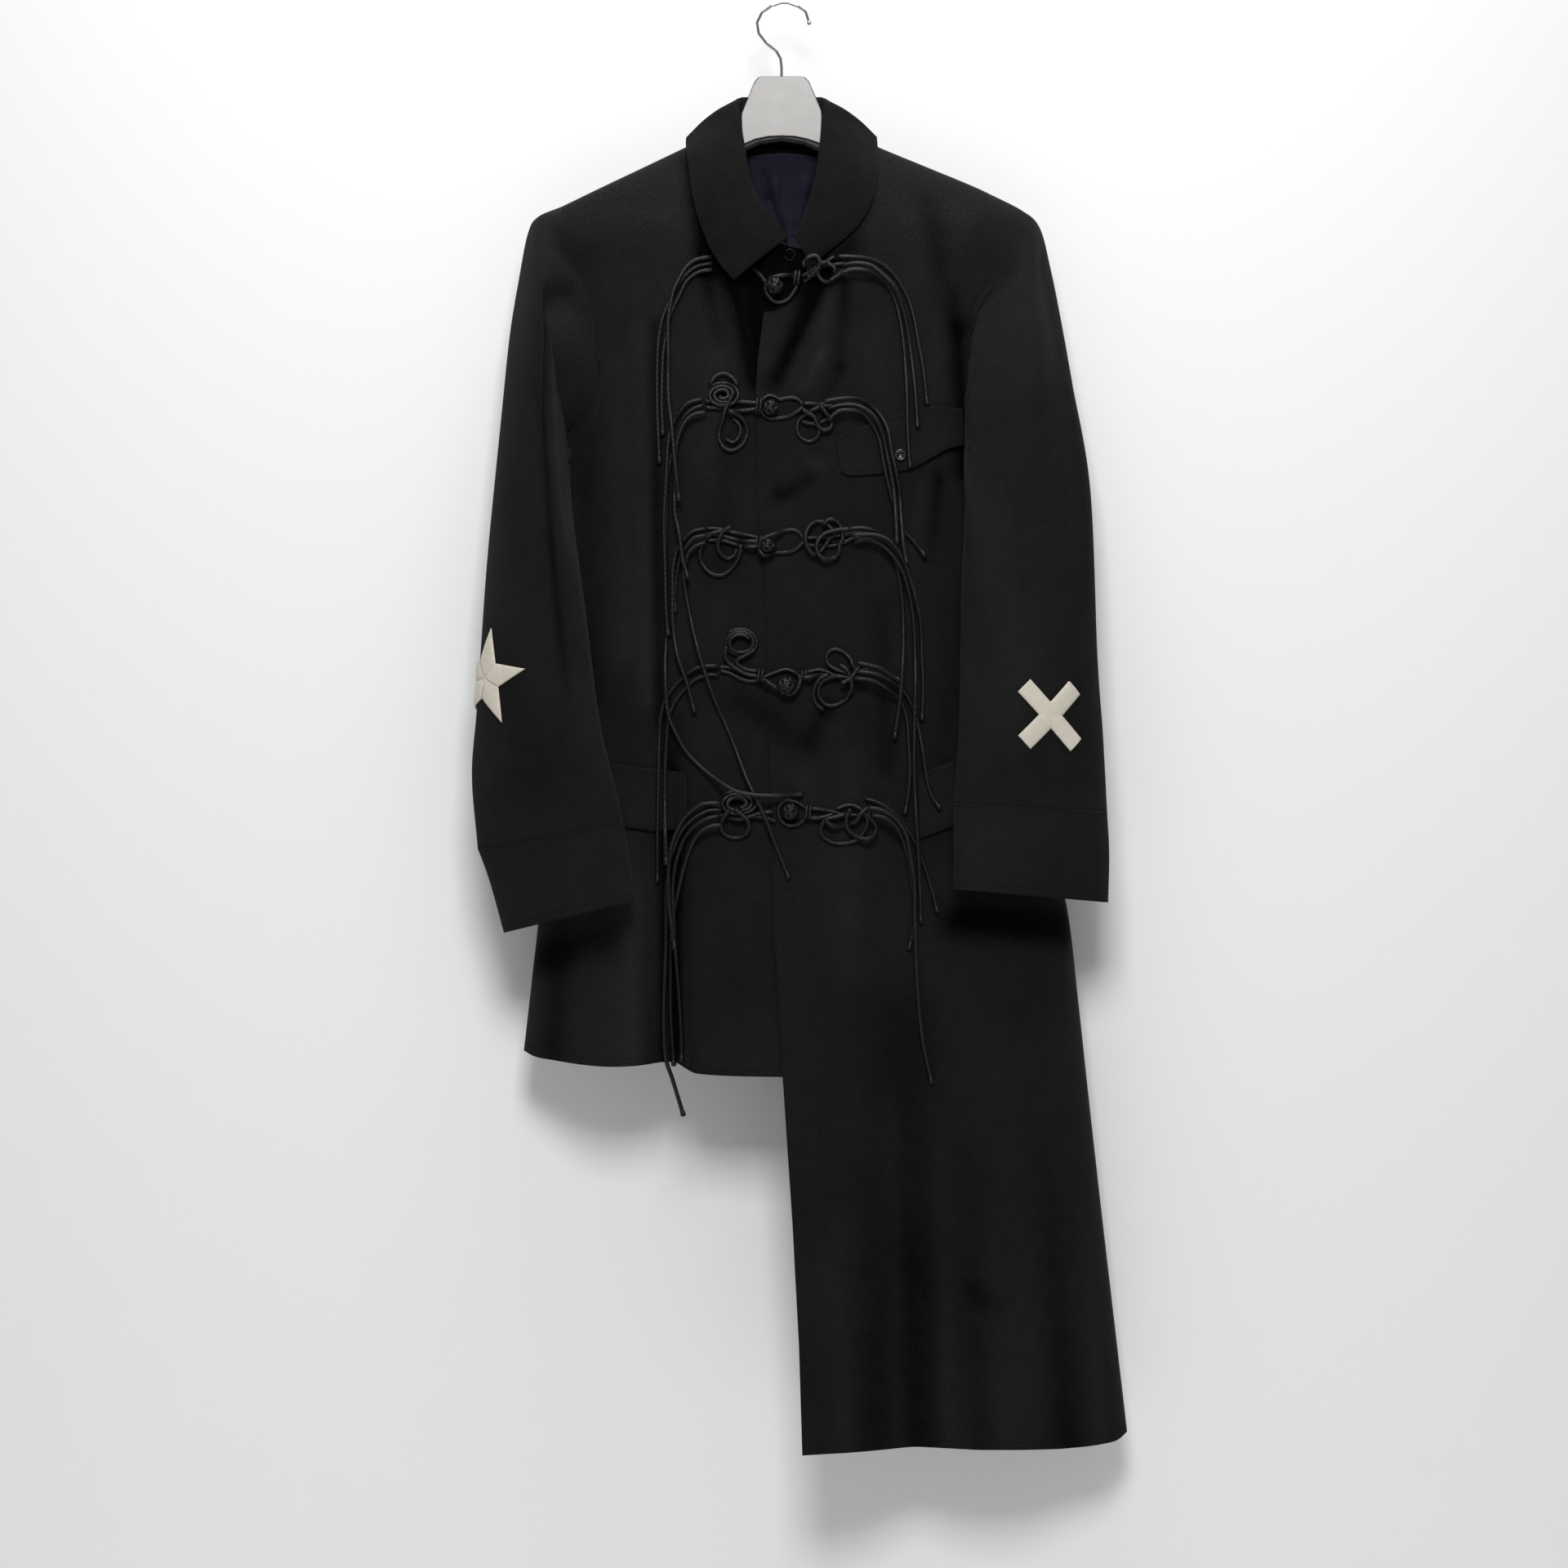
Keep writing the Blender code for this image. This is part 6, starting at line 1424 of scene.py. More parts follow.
# %% Wraps round the bundles
# Each wrap: x, z, and half its height.
WRAPS = (
    (14, -251.5, 6.0), (-21, -369, 6.5), (-21.5, -494.5, 6.0), (-19.5, -617, 6.0), (20.5, -616.5, 4.6),
    (24.5, -742, 6.0),
)
WRAP_RADIUS, WRAP_PITCH, WRAP_TURNS = 1.5, 3.3, (-0.5, 0.5)
# How far a turn's middle lies off the cloth, how deep it is, and how far it leans.
WRAP_LIFT, WRAP_DEPTH, WRAP_LEAN = 5.5, 5.2, 0.8


def wrap_rings(x, z, high):
    """Turns of thin cord round a bundle that runs across, as paths in metres."""
    t = np.linspace(0, 2 * np.pi, 25)
    y = front_of(panels, x, z) - WRAP_LIFT - WRAP_DEPTH * np.cos(t)
    starts = [x + turn * WRAP_PITCH for turn in WRAP_TURNS]
    return [placed(np.stack([at + WRAP_LEAN * np.sin(t), y, z + high * np.sin(t)], axis=-1)) for at in starts]


rings = [ring for wrap in WRAPS for ring in wrap_rings(*wrap)]
fit(tube_piece("frog_wraps", rings, WRAP_RADIUS * MM), "cord")
print("wraps:", len(WRAPS))

# %% [markdown]
# The free strands hang last, over the knots that they come from. Each says where it leaves its knot, and how
# long it is; all are as thick as the cord.

# %% Hanging the strands
for name, route in CORDS.items():
    path = placed(lay(route, CORD_POINT_EVERY))
    piece = tube_piece(name.replace("cord_", "strand_"), [path], CORD_DIAMETER / 2 * MM, capped=True)
    fit(piece, "cord", name)

# %% [markdown]
# The star and the cross are satin-stitched patches on the sleeves. Each outline is drawn on the flat sleeve,
# round from its outer edge and down, filled with small faces, and every point is then carried onto the sleeve
# and raised, highest along the middle of each limb.

# %% Patches on the sleeves
STAR_CENTRE = (19, -619)
CROSS_CENTRE = (65, -653)
STAR_RADIUS, STAR_TURN, STAR_INNER = 46.5, -0.13, 0.40
CROSS_BAR, CROSS_TURN = (74.0, 17.0), 0.83
PATCH_GAP, PATCH_EDGE, PATCH_RISE = 1.0, 0.9, 1.3
PATCH_ROW, PATCH_COLUMNS, PATCH_FULL_WIDTH = 1.1, 15, 9


def on_sleeve(grid, s, z, gap):
    """Places on a sleeve s round its front from its outer edge at height z, moved out by gap, in mm."""
    half_way = grid.shape[0] // 2
    front_first = grid[half_way, 5, 1] < grid[half_way, -6, 1]
    lines = (grid if front_first else grid[:, ::-1])[:, :-1]
    count = lines.shape[1]
    columns = np.arange(-count // 4, count // 2)
    out = np.zeros((len(s), 3))
    order = np.round(z, 1)
    for level in np.unique(order):
        which = order == level
        line = np.array([read_line(-level, -lines[:, c % count, 2], lines[:, c % count]) for c in columns])
        run = run_of(line)
        run -= run[list(columns).index(0)]
        centre = np.mean([read_line(-level, -lines[:, c, 2], lines[:, c]) for c in range(0, count, 6)], axis=0)
        point, ahead, behind = (read_line(s[which] + step, run, line) for step in (0, 1.5, -1.5))
        way = np.cross(ahead - behind, [0.0, 0.0, 1.0])
        way /= np.linalg.norm(way, axis=1, keepdims=True)
        way *= np.sign(np.sum(way * (point - centre), axis=1, keepdims=True))
        out[which] = point + way * gap[which][:, None]
    return out


def limb_patch(name, limbs, grid, node):
    """A raised patch of limbs. Each limb is two lines of corners, its left and its right side, read together."""
    bm = bmesh.new()
    uv = bm.loops.layers.uv.new("UVMap")
    for left, right in limbs:
        left, right = np.array(left, float), np.array(right, float)
        middle = (left + right) / 2
        at = run_of(middle)
        long_way = float(at[-1])
        at = at / long_way
        rows, columns = max(int(long_way / PATCH_ROW), 8), PATCH_COLUMNS
        v = np.linspace(0, 1, rows)[:, None]
        u = np.linspace(0, 1, columns)[None, :]
        sides = [read_line(v, at, line) for line in (left, right)]
        flat = sides[0] + (sides[1] - sides[0]) * u[..., None]
        wide = np.linalg.norm(sides[1] - sides[0], axis=-1)
        rise = PATCH_RISE * np.sqrt(np.clip(1 - (2 * u - 1) ** 2, 0, 1)) * np.clip(wide / PATCH_FULL_WIDTH, 0.2, 1)
        rise = rise * np.ones_like(v)
        s, z = flat[..., 0].ravel(), flat[..., 1].ravel()
        top = on_sleeve(grid, s, z, (PATCH_GAP + PATCH_EDGE + rise).ravel())
        under = on_sleeve(grid, s, z, np.full(rise.size, PATCH_GAP))
        over, below = ([bm.verts.new(p) for p in placed(points)] for points in (top, under))

        def add(corners, places):
            face = bm.faces.new(corners)
            face.smooth = True
            for loop, (r, c) in zip(face.loops, places):
                loop[uv].uv = (u[0, c] * wide[r, 0] * MM, v[r, 0] * long_way * MM)

        for r in range(rows - 1):
            for c in range(columns - 1):
                places = ((r, c), (r + 1, c), (r + 1, c + 1), (r, c + 1))
                add([over[i * columns + k] for i, k in places], places)
                add([below[i * columns + k] for i, k in places[::-1]], places[::-1])
        rim = [(0, c) for c in range(columns)] + [(r, columns - 1) for r in range(1, rows)]
        rim += [(rows - 1, c) for c in range(columns - 2, -1, -1)] + [(r, 0) for r in range(rows - 2, 0, -1)]
        for first, second in zip(rim, rim[1:] + rim[:1]):
            a, b = (r * columns + c for r, c in (first, second))
            add([over[a], over[b], below[b], below[a]], (first, second, second, first))
    bmesh.ops.remove_doubles(bm, verts=bm.verts, dist=0.00002)
    fit(mesh_piece(name, bm), "patch_thread", node)


turn = STAR_TURN + np.pi / 2 + np.pi * np.arange(10) / 5
radius = np.where(np.arange(10) % 2 == 0, STAR_RADIUS, STAR_RADIUS * STAR_INNER)
star = np.stack([STAR_CENTRE[0] + radius * np.cos(turn), STAR_CENTRE[1] + radius * np.sin(turn)], axis=-1)
star_limbs = []
for point in range(0, 10, 2):
    tip, before, after = star[point], star[point - 1], star[(point + 1) % 10]
    star_limbs.append(((STAR_CENTRE, before, tip), (STAR_CENTRE, after, tip)))
reach, half = CROSS_BAR[0] / 2, CROSS_BAR[1] / 2
cross_limbs = []
for turn in (CROSS_TURN, CROSS_TURN + np.pi / 2):
    ahead = np.array([math.cos(turn), math.sin(turn)])
    beside = np.array([-math.sin(turn), math.cos(turn)])
    middle = np.array(CROSS_CENTRE)
    cross_limbs.append(tuple([middle + ahead * a + beside * b for a in (-reach, 0, reach)] for b in (-half, half)))
limb_patch("star_applique", star_limbs, right_sleeve, "star_patch")
limb_patch("cross_applique", cross_limbs, left_sleeve, "cross_patch")
print("patches:", len(star_limbs), "points of the star and", len(cross_limbs), "bars of the cross")

# %% [markdown]
# The fronts' hems, the collar, the flaps and the cuffs are topstitched a few millimetres in, with black thread.
# Each stitch is a short rounded dash that dips into the cloth at both ends, so close up the line is a row of
# small bumps, and from afar a faint groove.

# %% Topstitching
STITCH_EVERY, STITCH_LONG, STITCH_RADIUS, STITCH_RISE = 3.4, 2.3, 0.3, 0.12
# How far in from its edges each piece is stitched, in mm.
HEM_INSET, COLLAR_INSET, CUFF_INSETS = 6.8, 4.2, (("bottom", 8.0), ("top", 2.5))
FLAP_INSETS = (("bottom", 4.0), ("top", 3.5), ("first", 3.5))


def inset(grid, edge, distance):
    """A line on a grid of points, this far in from its top, bottom, first or last edge, in mm."""
    turned_grid = grid if edge in ("top", "bottom") else grid.transpose(1, 0, 2)
    lines = turned_grid[::-1] if edge in ("bottom", "last") else turned_grid
    steps = np.linalg.norm(np.diff(lines, axis=0), axis=-1)
    run = np.concatenate([np.zeros((1, lines.shape[1])), np.cumsum(steps, axis=0)])
    return np.array([read_line(distance, run[:, c], lines[:, c]) for c in range(lines.shape[1])])


def stitched(name, lines, centre=None):
    """One piece with a row of stitches along each line. They stand out to the front, or away from a centre line."""
    bm = bmesh.new()
    uv = bm.loops.layers.uv.new("UVMap")
    for line in lines:
        line = line[~np.isnan(line).any(axis=1)]
        run = run_of(line)
        for start in np.arange(1.0, run[-1] - STITCH_EVERY, STITCH_EVERY):
            p = read_line(start + STITCH_LONG * np.array([0, 0.25, 0.75, 1.0]), run, line)
            out = np.array([0.0, -1.0, 0.0]) if centre is None else p[1] - centre
            out = out / np.linalg.norm(out)
            rise = (STITCH_RISE + STITCH_RADIUS * np.array([-0.9, 0.6, 0.6, -0.9]))[:, None]
            add_tube(bm, uv, placed(p + out * rise), np.full(4, STITCH_RADIUS * MM), 6)
    piece = mesh_piece(name, bm)
    fit(piece, "coat_cloth")
    print(name, len(piece.data.polygons), "faces")


stitched("hem_stitches", [inset(front, "bottom", HEM_INSET) for front in (short, long)])
stitched("collar_stitches", [inset(fine_collar, "bottom", COLLAR_INSET)])
stitched("flap_stitches", [inset(flap, edge, far) for flap in flaps for edge, far in FLAP_INSETS])
for which, cuff in (("right", right_cuff), ("left", left_cuff)):
    pair = [inset(cuff, edge, far) for edge, far in CUFF_INSETS]
    stitched(which + "_cuff_stitches", pair, np.mean(np.concatenate(pair), axis=0))

# %% [markdown]
# The button on the pocket flap is horn. Its profile is spun by hand, and four holes are drilled through it.

# %% The pocket button
BUTTON = (109, -414)
BUTTON_RADIUS = 5.2
HOLE_RADIUS, HOLE_DEPTH, HOLE_SPREAD = 0.55, 3, 1.0
# Radius and height out of the cloth.
BUTTON_PROFILE = ((4.4, 0), (5.0, 0.3), (5.2, 1.0), (5.1, 1.8), (4.7, 2.2), (4.1, 2.2), (3.6, 1.7), (0.4, 1.5))
button_y = front_of(panels, *BUTTON, BUTTON_RADIUS) - LAID_GAP


def turned(name, profile, centre, segments=48):
    """A body of revolution that faces forward, from its radius and its height out of the cloth, in mm."""
    deselect_all()
    bpy.ops.mesh.primitive_circle_add(vertices=segments, radius=profile[0][0] * MM, fill_type="NGON")
    piece = bpy.context.object
    piece.name = piece.data.name = name
    bpy.ops.object.mode_set(mode="EDIT")
    bpy.ops.mesh.select_mode(type="FACE")
    bpy.ops.mesh.select_all(action="SELECT")
    last = profile[0]
    bpy.ops.transform.translate(value=(0, 0, last[1] * MM))
    for now in profile[1:]:
        bpy.ops.mesh.extrude_region_move(TRANSFORM_OT_translate={"value": (0, 0, (now[1] - last[1]) * MM)})
        scale = now[0] / last[0]
        bpy.ops.transform.resize(value=(scale, scale, 1), center_override=(0, 0, now[1] * MM))
        last = now
    bpy.ops.object.mode_set(mode="OBJECT")
    piece.rotation_euler.x = math.pi / 2
    piece.location = placed(centre)
    bpy.ops.object.transform_apply(location=True, rotation=True, scale=True)
    bpy.ops.object.shade_smooth()
    return piece


button = turned("horn_button", BUTTON_PROFILE, (BUTTON[0], button_y, BUTTON[1]))
holes = []
for dx, dz in ((-1, -1), (1, -1), (1, 1), (-1, 1)):
    deselect_all()
    at = placed((BUTTON[0] + dx * HOLE_SPREAD, button_y - 1.4, BUTTON[1] + dz * HOLE_SPREAD))
    bpy.ops.mesh.primitive_cylinder_add(
        vertices=16, radius=HOLE_RADIUS * MM, depth=HOLE_DEPTH * MM, location=at, rotation=(math.pi / 2, 0, 0)
    )
    drill = bpy.context.object
    cut = button.modifiers.new("hole", "BOOLEAN")
    cut.object = drill
    cut.solver = "EXACT"
    holes.append(drill)
apply_modifiers(button)
for drill in holes:
    bpy.data.objects.remove(drill)
fit(button, "button_horn", "chest_button")

# %% [markdown]
# The hook is spring-steel wire that ends in a small ball, so that it doesn't scratch. The solids already have
# the right wire, plate and arms, so they stay. Only the ball is added, and a thin dark tube round the plate's edge
# that is a painted shadow of its bevel.

# %% A painted shadow round the plate's edge
# Real x and z of the plate's edge, from its lower left corner over the top, in mm.
PLATE_EDGE = (
    (-36.2, -130), (-37.2, -107), (-36.6, -103), (-31.6, -90.7), (-26.6, -77.8), (-24, -73), (-20.3, -69.5),
    (-15, -69.3), (15, -69.3), (20.3, -69.5), (24, -72.4), (26.6, -76.7), (36.6, -101), (37.3, -107), (36.2, -130),
)
RIM_RADIUS, RIM_DEPTH = 0.45, -6.0
edge = rounded_route(PLATE_EDGE, 2.0)
rim = np.stack([edge[:, 0], np.full(len(edge), RIM_DEPTH), edge[:, 1]], axis=-1)
# A dark tube round the plate's edge: a painted shadow of its bevel.
fit(tube_piece("plate_rim", [rim * MM], RIM_RADIUS * MM), "hanger_body")

# %% [markdown]
# The ball sits on the very end of the wire.

# %% The hook's ball
WIRE_END, END_RADIUS = (25.3, 0, -17.2), 2.3
hook_ball = sphere(END_RADIUS, WIRE_END, 24, 16)
hook_ball.name = "hook_end_ball"
bpy.ops.object.shade_smooth()
fit(hook_ball, "hook_steel")

# %% [markdown]
# Materials. Nothing on the coat is one flat colour when seen close. The wool is a matt black twill whose slanting
# ribs are about 0.6 mm wide, under a thin fuzz. The lining is a smooth navy satin. The cords are plaited, so
# their strands cross at a slant. Each pattern is worked out once in a shader group. On cloth and cord it reads
# the piece's own UV map, which is in metres, so it keeps its real scale on every piece.

# %% Helpers for shader nodes
def add_node(tree, kind, settings=(), **inputs):
    """A node of a kind, with its settings and its plain inputs by name."""
    made = tree.nodes.new(kind)
    for name, value in dict(settings).items():
        setattr(made, name, value)
    for name, value in inputs.items():
        made.inputs[name.replace("_", " ")].default_value = value
    return made


def link(tree, start, end):
    tree.links.new(start, end)


def reckon(tree, operation, *values):
    """A Math node on links or plain numbers, as its output."""
    made = add_node(tree, "ShaderNodeMath", {"operation": operation})
    for socket, value in zip(made.inputs, values):
        if isinstance(value, (int, float)):
            socket.default_value = value
        else:
            link(tree, value, socket)
    return made.outputs[0]


def mixed(tree, *parts):
    """The sum of some values, each times its share."""
    total = None
    for value, share in parts:
        part = reckon(tree, "MULTIPLY", value, share)
        total = part if total is None else reckon(tree, "ADD", total, part)
    return total


def noise(tree, place, scale, detail=3.0, roughness=0.55):
    """A noise from 0 to 1 at a place, with this many lumps to the metre."""
    made = add_node(tree, "ShaderNodeTexNoise", Scale=scale, Detail=detail, Roughness=roughness)
    link(tree, place, made.inputs["Vector"])
    return made.outputs[0]


def new_group(name, numbers, outputs):
    """A shader group that reads Place and some numbers, and puts out values. Gives them by name."""
    group = bpy.data.node_groups.new(name, "ShaderNodeTree")
    group.interface.new_socket("Place", in_out="INPUT", socket_type="NodeSocketVector")
    for socket, value in numbers:
        made = group.interface.new_socket(socket, in_out="INPUT", socket_type="NodeSocketFloat")
        made.default_value = value
    for socket in outputs:
        group.interface.new_socket(socket, in_out="OUTPUT", socket_type="NodeSocketFloat")
    given = group.nodes.new("NodeGroupInput").outputs
    return group, given["Place"], given, group.nodes.new("NodeGroupOutput").inputs


def axes(tree, place):
    """The first two numbers of a place."""
    split = add_node(tree, "ShaderNodeSeparateXYZ")
    link(tree, place, split.inputs[0])
    return split.outputs[0], split.outputs[1]


def ridges(tree, place, turns=math.pi):
    """Round ridges from 0 to 1, one for each whole number of a place."""
    return reckon(tree, "ABSOLUTE", reckon(tree, "SINE", reckon(tree, "MULTIPLY", place, turns)))


# %% [markdown]
# A weave is two sets of waves. Ribs lean at 45 degrees and rise where a thread passes over two others. A finer
# noise stands for loose fibres, and a coarse one for cloth that has been worn and pressed unevenly. Here and
# there a speck of lint lies on it.

# %% The weave group
weave, place, given, out = new_group("woven_cloth", (("Ribs", 1150.0), ("Fuzz", 0.5)), ("Height", "Worn", "Lint"))
u, v = axes(weave, place)


def slanting(operation, turns):
    """A wave along one slant of the cloth, from its two axes' sum or difference."""
    slant = reckon(weave, "MULTIPLY", reckon(weave, operation, u, v), given["Ribs"])
    return reckon(weave, "SINE", reckon(weave, "MULTIPLY", slant, turns * math.pi))


fibres = noise(weave, place, 2300.0, 4.0)
height = mixed(weave, (slanting("ADD", 2), 0.32), (slanting("SUBTRACT", 4.4), 0.12), (fibres, given["Fuzz"]))
link(weave, height, out["Height"])
grain = reckon(weave, "SUBTRACT", noise(weave, place, 650.0, 2.0), 0.32)
worn = mixed(weave, (noise(weave, place, 7.0, 5.0), 0.45), (noise(weave, place, 60.0, 4.0), 0.25), (grain, 0.8))
link(weave, worn, out["Worn"])
link(weave, reckon(weave, "GREATER_THAN", noise(weave, place, 420.0, 2.0, 0.9), 0.775), out["Lint"])
print("weave:", len(weave.nodes), "nodes")

# %% [markdown]
# A round plait shows lozenges: strands that climb to the left cross strands that climb to the right. The product
# of two slanting waves gives them, read round the cord and along it.

# %% The plait group
plait, place, given, out = new_group("plaited_cord", (("Around", 320.0), ("Along", 190.0)), ("Height", "Gap"))
u, v = axes(plait, place)
turned_by, climbed = reckon(plait, "MULTIPLY", u, given["Around"]), reckon(plait, "MULTIPLY", v, given["Along"])
left, right = (ridges(plait, reckon(plait, way, turned_by, climbed)) for way in ("ADD", "SUBTRACT"))
strand = reckon(plait, "POWER", reckon(plait, "MULTIPLY", left, right), 0.6)
threads = noise(plait, place, 3600.0, 2.0)
link(plait, reckon(plait, "ADD", strand, reckon(plait, "MULTIPLY", threads, 0.2)), out["Height"])
# Gap is where the strands part; the braid's finish paints shade into it.
link(plait, reckon(plait, "SUBTRACT", 1.0, strand), out["Gap"])
print("plait:", len(plait.nodes), "nodes")

# %% [markdown]
# Satin stitch lays thick threads side by side straight over a patch. Each thread is a round ridge, slightly
# lighter or darker than the next, and it catches the light along its top.

# %% The stitch group
stitching, place, given, out = new_group("satin_stitch", (("Threads", 1250.0),), ("Height", "Tone"))
wander = reckon(stitching, "MULTIPLY", noise(stitching, place, 160.0, 2.0), 0.0016)
place_along = reckon(stitching, "ADD", axes(stitching, place)[1], wander)
place_along = reckon(stitching, "MULTIPLY", place_along, given["Threads"])
link(stitching, reckon(stitching, "POWER", ridges(stitching, place_along), 0.7), out["Height"])
only_along = add_node(stitching, "ShaderNodeCombineXYZ")
link(stitching, reckon(stitching, "FLOOR", place_along), only_along.inputs[1])
link(stitching, noise(stitching, only_along.outputs[0], 3.7, 0.0), out["Tone"])

# %% [markdown]
# Hard things carry handling marks: a soft cloudiness and a few fine scratches that change how sharply they
# reflect.

# %% The handling group
handled, place, given, out = new_group("handling_marks", (("Marks", 1.0),), ("Cloud", "Scratch"))
link(handled, noise(handled, place, 55.0, 5.0), out["Cloud"])
stretched = add_node(handled, "ShaderNodeMapping")
stretched.inputs["Scale"].default_value = (6.0, 1.0, 60.0)
stretched.inputs["Rotation"].default_value = (0.0, 0.5, 0.2)
link(handled, place, stretched.inputs["Vector"])
scratch = reckon(handled, "GREATER_THAN", noise(handled, stretched.outputs[0], 70.0, 2.0, 0.7), 0.69)
link(handled, reckon(handled, "MULTIPLY", scratch, given["Marks"]), out["Scratch"])
print("groups:", [group.name for group in (weave, plait, stitching, handled)])

# %% [markdown]
# Each finish is a Principled shader in a material of its own. A group's value colours it from dark to light and
# roughens it, and another one gives its relief.

# %% Materials
def new_material(name, colour, roughness, **sockets):
    """A Principled material with its plain values on the shader's own sockets."""
    made = bpy.data.materials.new(name)
    made.use_nodes = True
    shader = made.node_tree.nodes["Principled BSDF"]
    shader.inputs["Base Color"].default_value = (*colour, 1)
    shader.inputs["Roughness"].default_value = roughness
    for socket, value in sockets.items():
        shader.inputs[socket.replace("_", " ")].default_value = value
    return made, made.node_tree, shader


def use_group(tree, group, where="UV", **numbers):
    """A shader group placed in a material, reading the piece's own UV map or its place on the object."""
    place = add_node(tree, "ShaderNodeTexCoord")
    made = add_node(tree, "ShaderNodeGroup", {"node_tree": group}, **numbers)
    link(tree, place.outputs[where], made.inputs["Place"])
    return made


def tint(tree, shader, factor, dark, light, socket="Base Color"):
    """Colours the shader from dark to light by a factor."""
    made = add_node(tree, "ShaderNodeMix", {"data_type": "RGBA"})
    made.inputs["A"].default_value = (*dark, 1)
    made.inputs["B"].default_value = (*light, 1)
    link(tree, factor, made.inputs["Factor"])
    link(tree, made.outputs["Result"], shader.inputs[socket])
    return made


def roughen(tree, shader, factor, low, high):
    """Sets the roughness from low to high by a factor."""
    made = add_node(tree, "ShaderNodeMapRange", To_Min=low, To_Max=high)
    link(tree, factor, made.inputs["Value"])
    link(tree, made.outputs["Result"], shader.inputs["Roughness"])


def relief(tree, shader, height, depth, strength=1.0):
    """Bumps the surface by a height of this depth in metres."""
    made = add_node(tree, "ShaderNodeBump", Strength=strength, Distance=depth)
    link(tree, height, made.inputs["Height"])
    link(tree, made.outputs[0], shader.inputs["Normal"])


# The fold heights in mm that get the most painted shade and the most painted light, and what they add to the worn
# tone.
SHADED_HEIGHTS, SHADES = (-7.0, 5.0), (-0.56, 0.40)
LINT = (0.05, 0.05, 0.05, 1)


def wool_look(name, dark, light, ribs, depth):
    """A matt wool cloth with its own rib width, with painted shade in its valleys and painted light on its folds."""
    made, tree, shader = new_material(
        name, dark, 0.9, Specular_IOR_Level=0.03, Sheen_Weight=0.03, Sheen_Roughness=0.45
    )
    cloth = use_group(tree, weave, Ribs=ribs, Fuzz=0.55)
    fold_height = add_node(tree, "ShaderNodeAttribute", {"attribute_name": "fold_height"})
    fold_shade = add_node(tree, "ShaderNodeMapRange", From_Min=SHADED_HEIGHTS[0], From_Max=SHADED_HEIGHTS[1],
                       To_Min=SHADES[0], To_Max=SHADES[1])
    link(tree, fold_height.outputs["Fac"], fold_shade.inputs["Value"])
    # The wool's tone: its random wear, plus painted shade in the fold valleys and painted light on the ridges.
    wear_and_fold_shade = reckon(tree, "ADD", cloth.outputs["Worn"], fold_shade.outputs["Result"])
    base = tint(tree, shader, wear_and_fold_shade, dark, light)
    specks = add_node(tree, "ShaderNodeMix", {"data_type": "RGBA"})
    specks.inputs["B"].default_value = LINT
    link(tree, cloth.outputs["Lint"], specks.inputs["Factor"])
    link(tree, base.outputs["Result"], specks.inputs["A"])
    link(tree, specks.outputs["Result"], shader.inputs["Base Color"])
    roughen(tree, shader, cloth.outputs["Worn"], 0.95, 0.78)
    relief(tree, shader, cloth.outputs["Height"], depth)
    return made


wool = wool_look("wool_twill", (0.0006, 0.0006, 0.0007), (0.0195, 0.0195, 0.0202), 1150.0, 0.00012)
print("wool:", wool.name)

# %% [markdown]
# The other finishes differ only in their numbers. Each row gives the finish's own colour, the two colours that
# the group's value runs between, and the same three for its roughness.

# %% The other finishes
def finish(name, colours, rough, group, value, depth=0.0, where="UV", numbers=(), height="Height", **sockets):
    """A finish that a group's value colours and roughens, with a relief of this depth in metres."""
    made, tree, shader = new_material(name, colours[0], rough[0], **sockets)
    pattern = use_group(tree, group, where, **dict(numbers))
    tint(tree, shader, pattern.outputs[value], *colours[1:])
    roughen(tree, shader, pattern.outputs[value], *rough[1:])
    if depth:
        relief(tree, shader, pattern.outputs[height], depth)
    return made


def hard(name, colours, rough, depth=0.0, **sockets):
    """A finish with handling marks, read from its place on the object."""
    return finish(name, colours, rough, handled, "Cloud", depth, "Object", height="Scratch", **sockets)


def grey_of(*levels):
    """A plain grey for each level."""
    return [(level,) * 3 for level in levels]


satin = finish("navy_satin", ((0.010, 0.011, 0.02), (0.006, 0.0065, 0.014), (0.014, 0.0145, 0.028)),
               (0.6, 0.55, 0.75), weave, "Worn", 0.00003, numbers={"Ribs": 2600.0, "Fuzz": 0.15},
               Specular_IOR_Level=0.12)
# The braid's colour is darker in the gaps between its strands: painted shade.
braid = finish("black_braid", ((0.003, 0.003, 0.0032), (0.0036, 0.0036, 0.0038), (0.0008, 0.0008, 0.0008)),
               (0.3, 0.26, 0.7), plait, "Gap", 0.00022, Specular_IOR_Level=0.32)
thread = finish("cream_satin_stitch", ((0.70, 0.655, 0.55), (0.60, 0.545, 0.43), (0.80, 0.76, 0.66)),
                (0.42, 0.36, 0.5), stitching, "Tone", 0.00035, Specular_IOR_Level=0.4)
horn = hard("black_horn", ((0.008, 0.0075, 0.007), (0.004, 0.0036, 0.0034), (0.014, 0.0125, 0.011)),
            (0.22, 0.16, 0.34), Coat_Weight=0.2)
steel = hard("polished_steel", ((0.62, 0.61, 0.6), (0.50, 0.50, 0.50), (0.68, 0.67, 0.66)),
             (0.2, 0.14, 0.3), 0.00003, Metallic=1.0)
dull = hard("dull_steel", grey_of(0.01, 0.006, 0.016), (0.4, 0.3, 0.5), Metallic=1.0)
body_grey = hard("dark_grey_plastic", grey_of(0.02, 0.014, 0.026), (0.6, 0.5, 0.7))
grey = hard("silver_grey_plastic", ((0.37, 0.355, 0.34), (0.29, 0.278, 0.268), (0.355, 0.342, 0.33)),
            (0.4, 0.34, 0.5), 0.00002)
print("finishes:", [made.name for made in (satin, braid, thread, horn, steel, dull, body_grey, grey)])

# %% [markdown]
# Each piece takes the finish of its slot. The long front shows its inside below the back's hem, so its inner
# face is navy satin. The hanger's own solids and the neck's hook are given theirs by name.

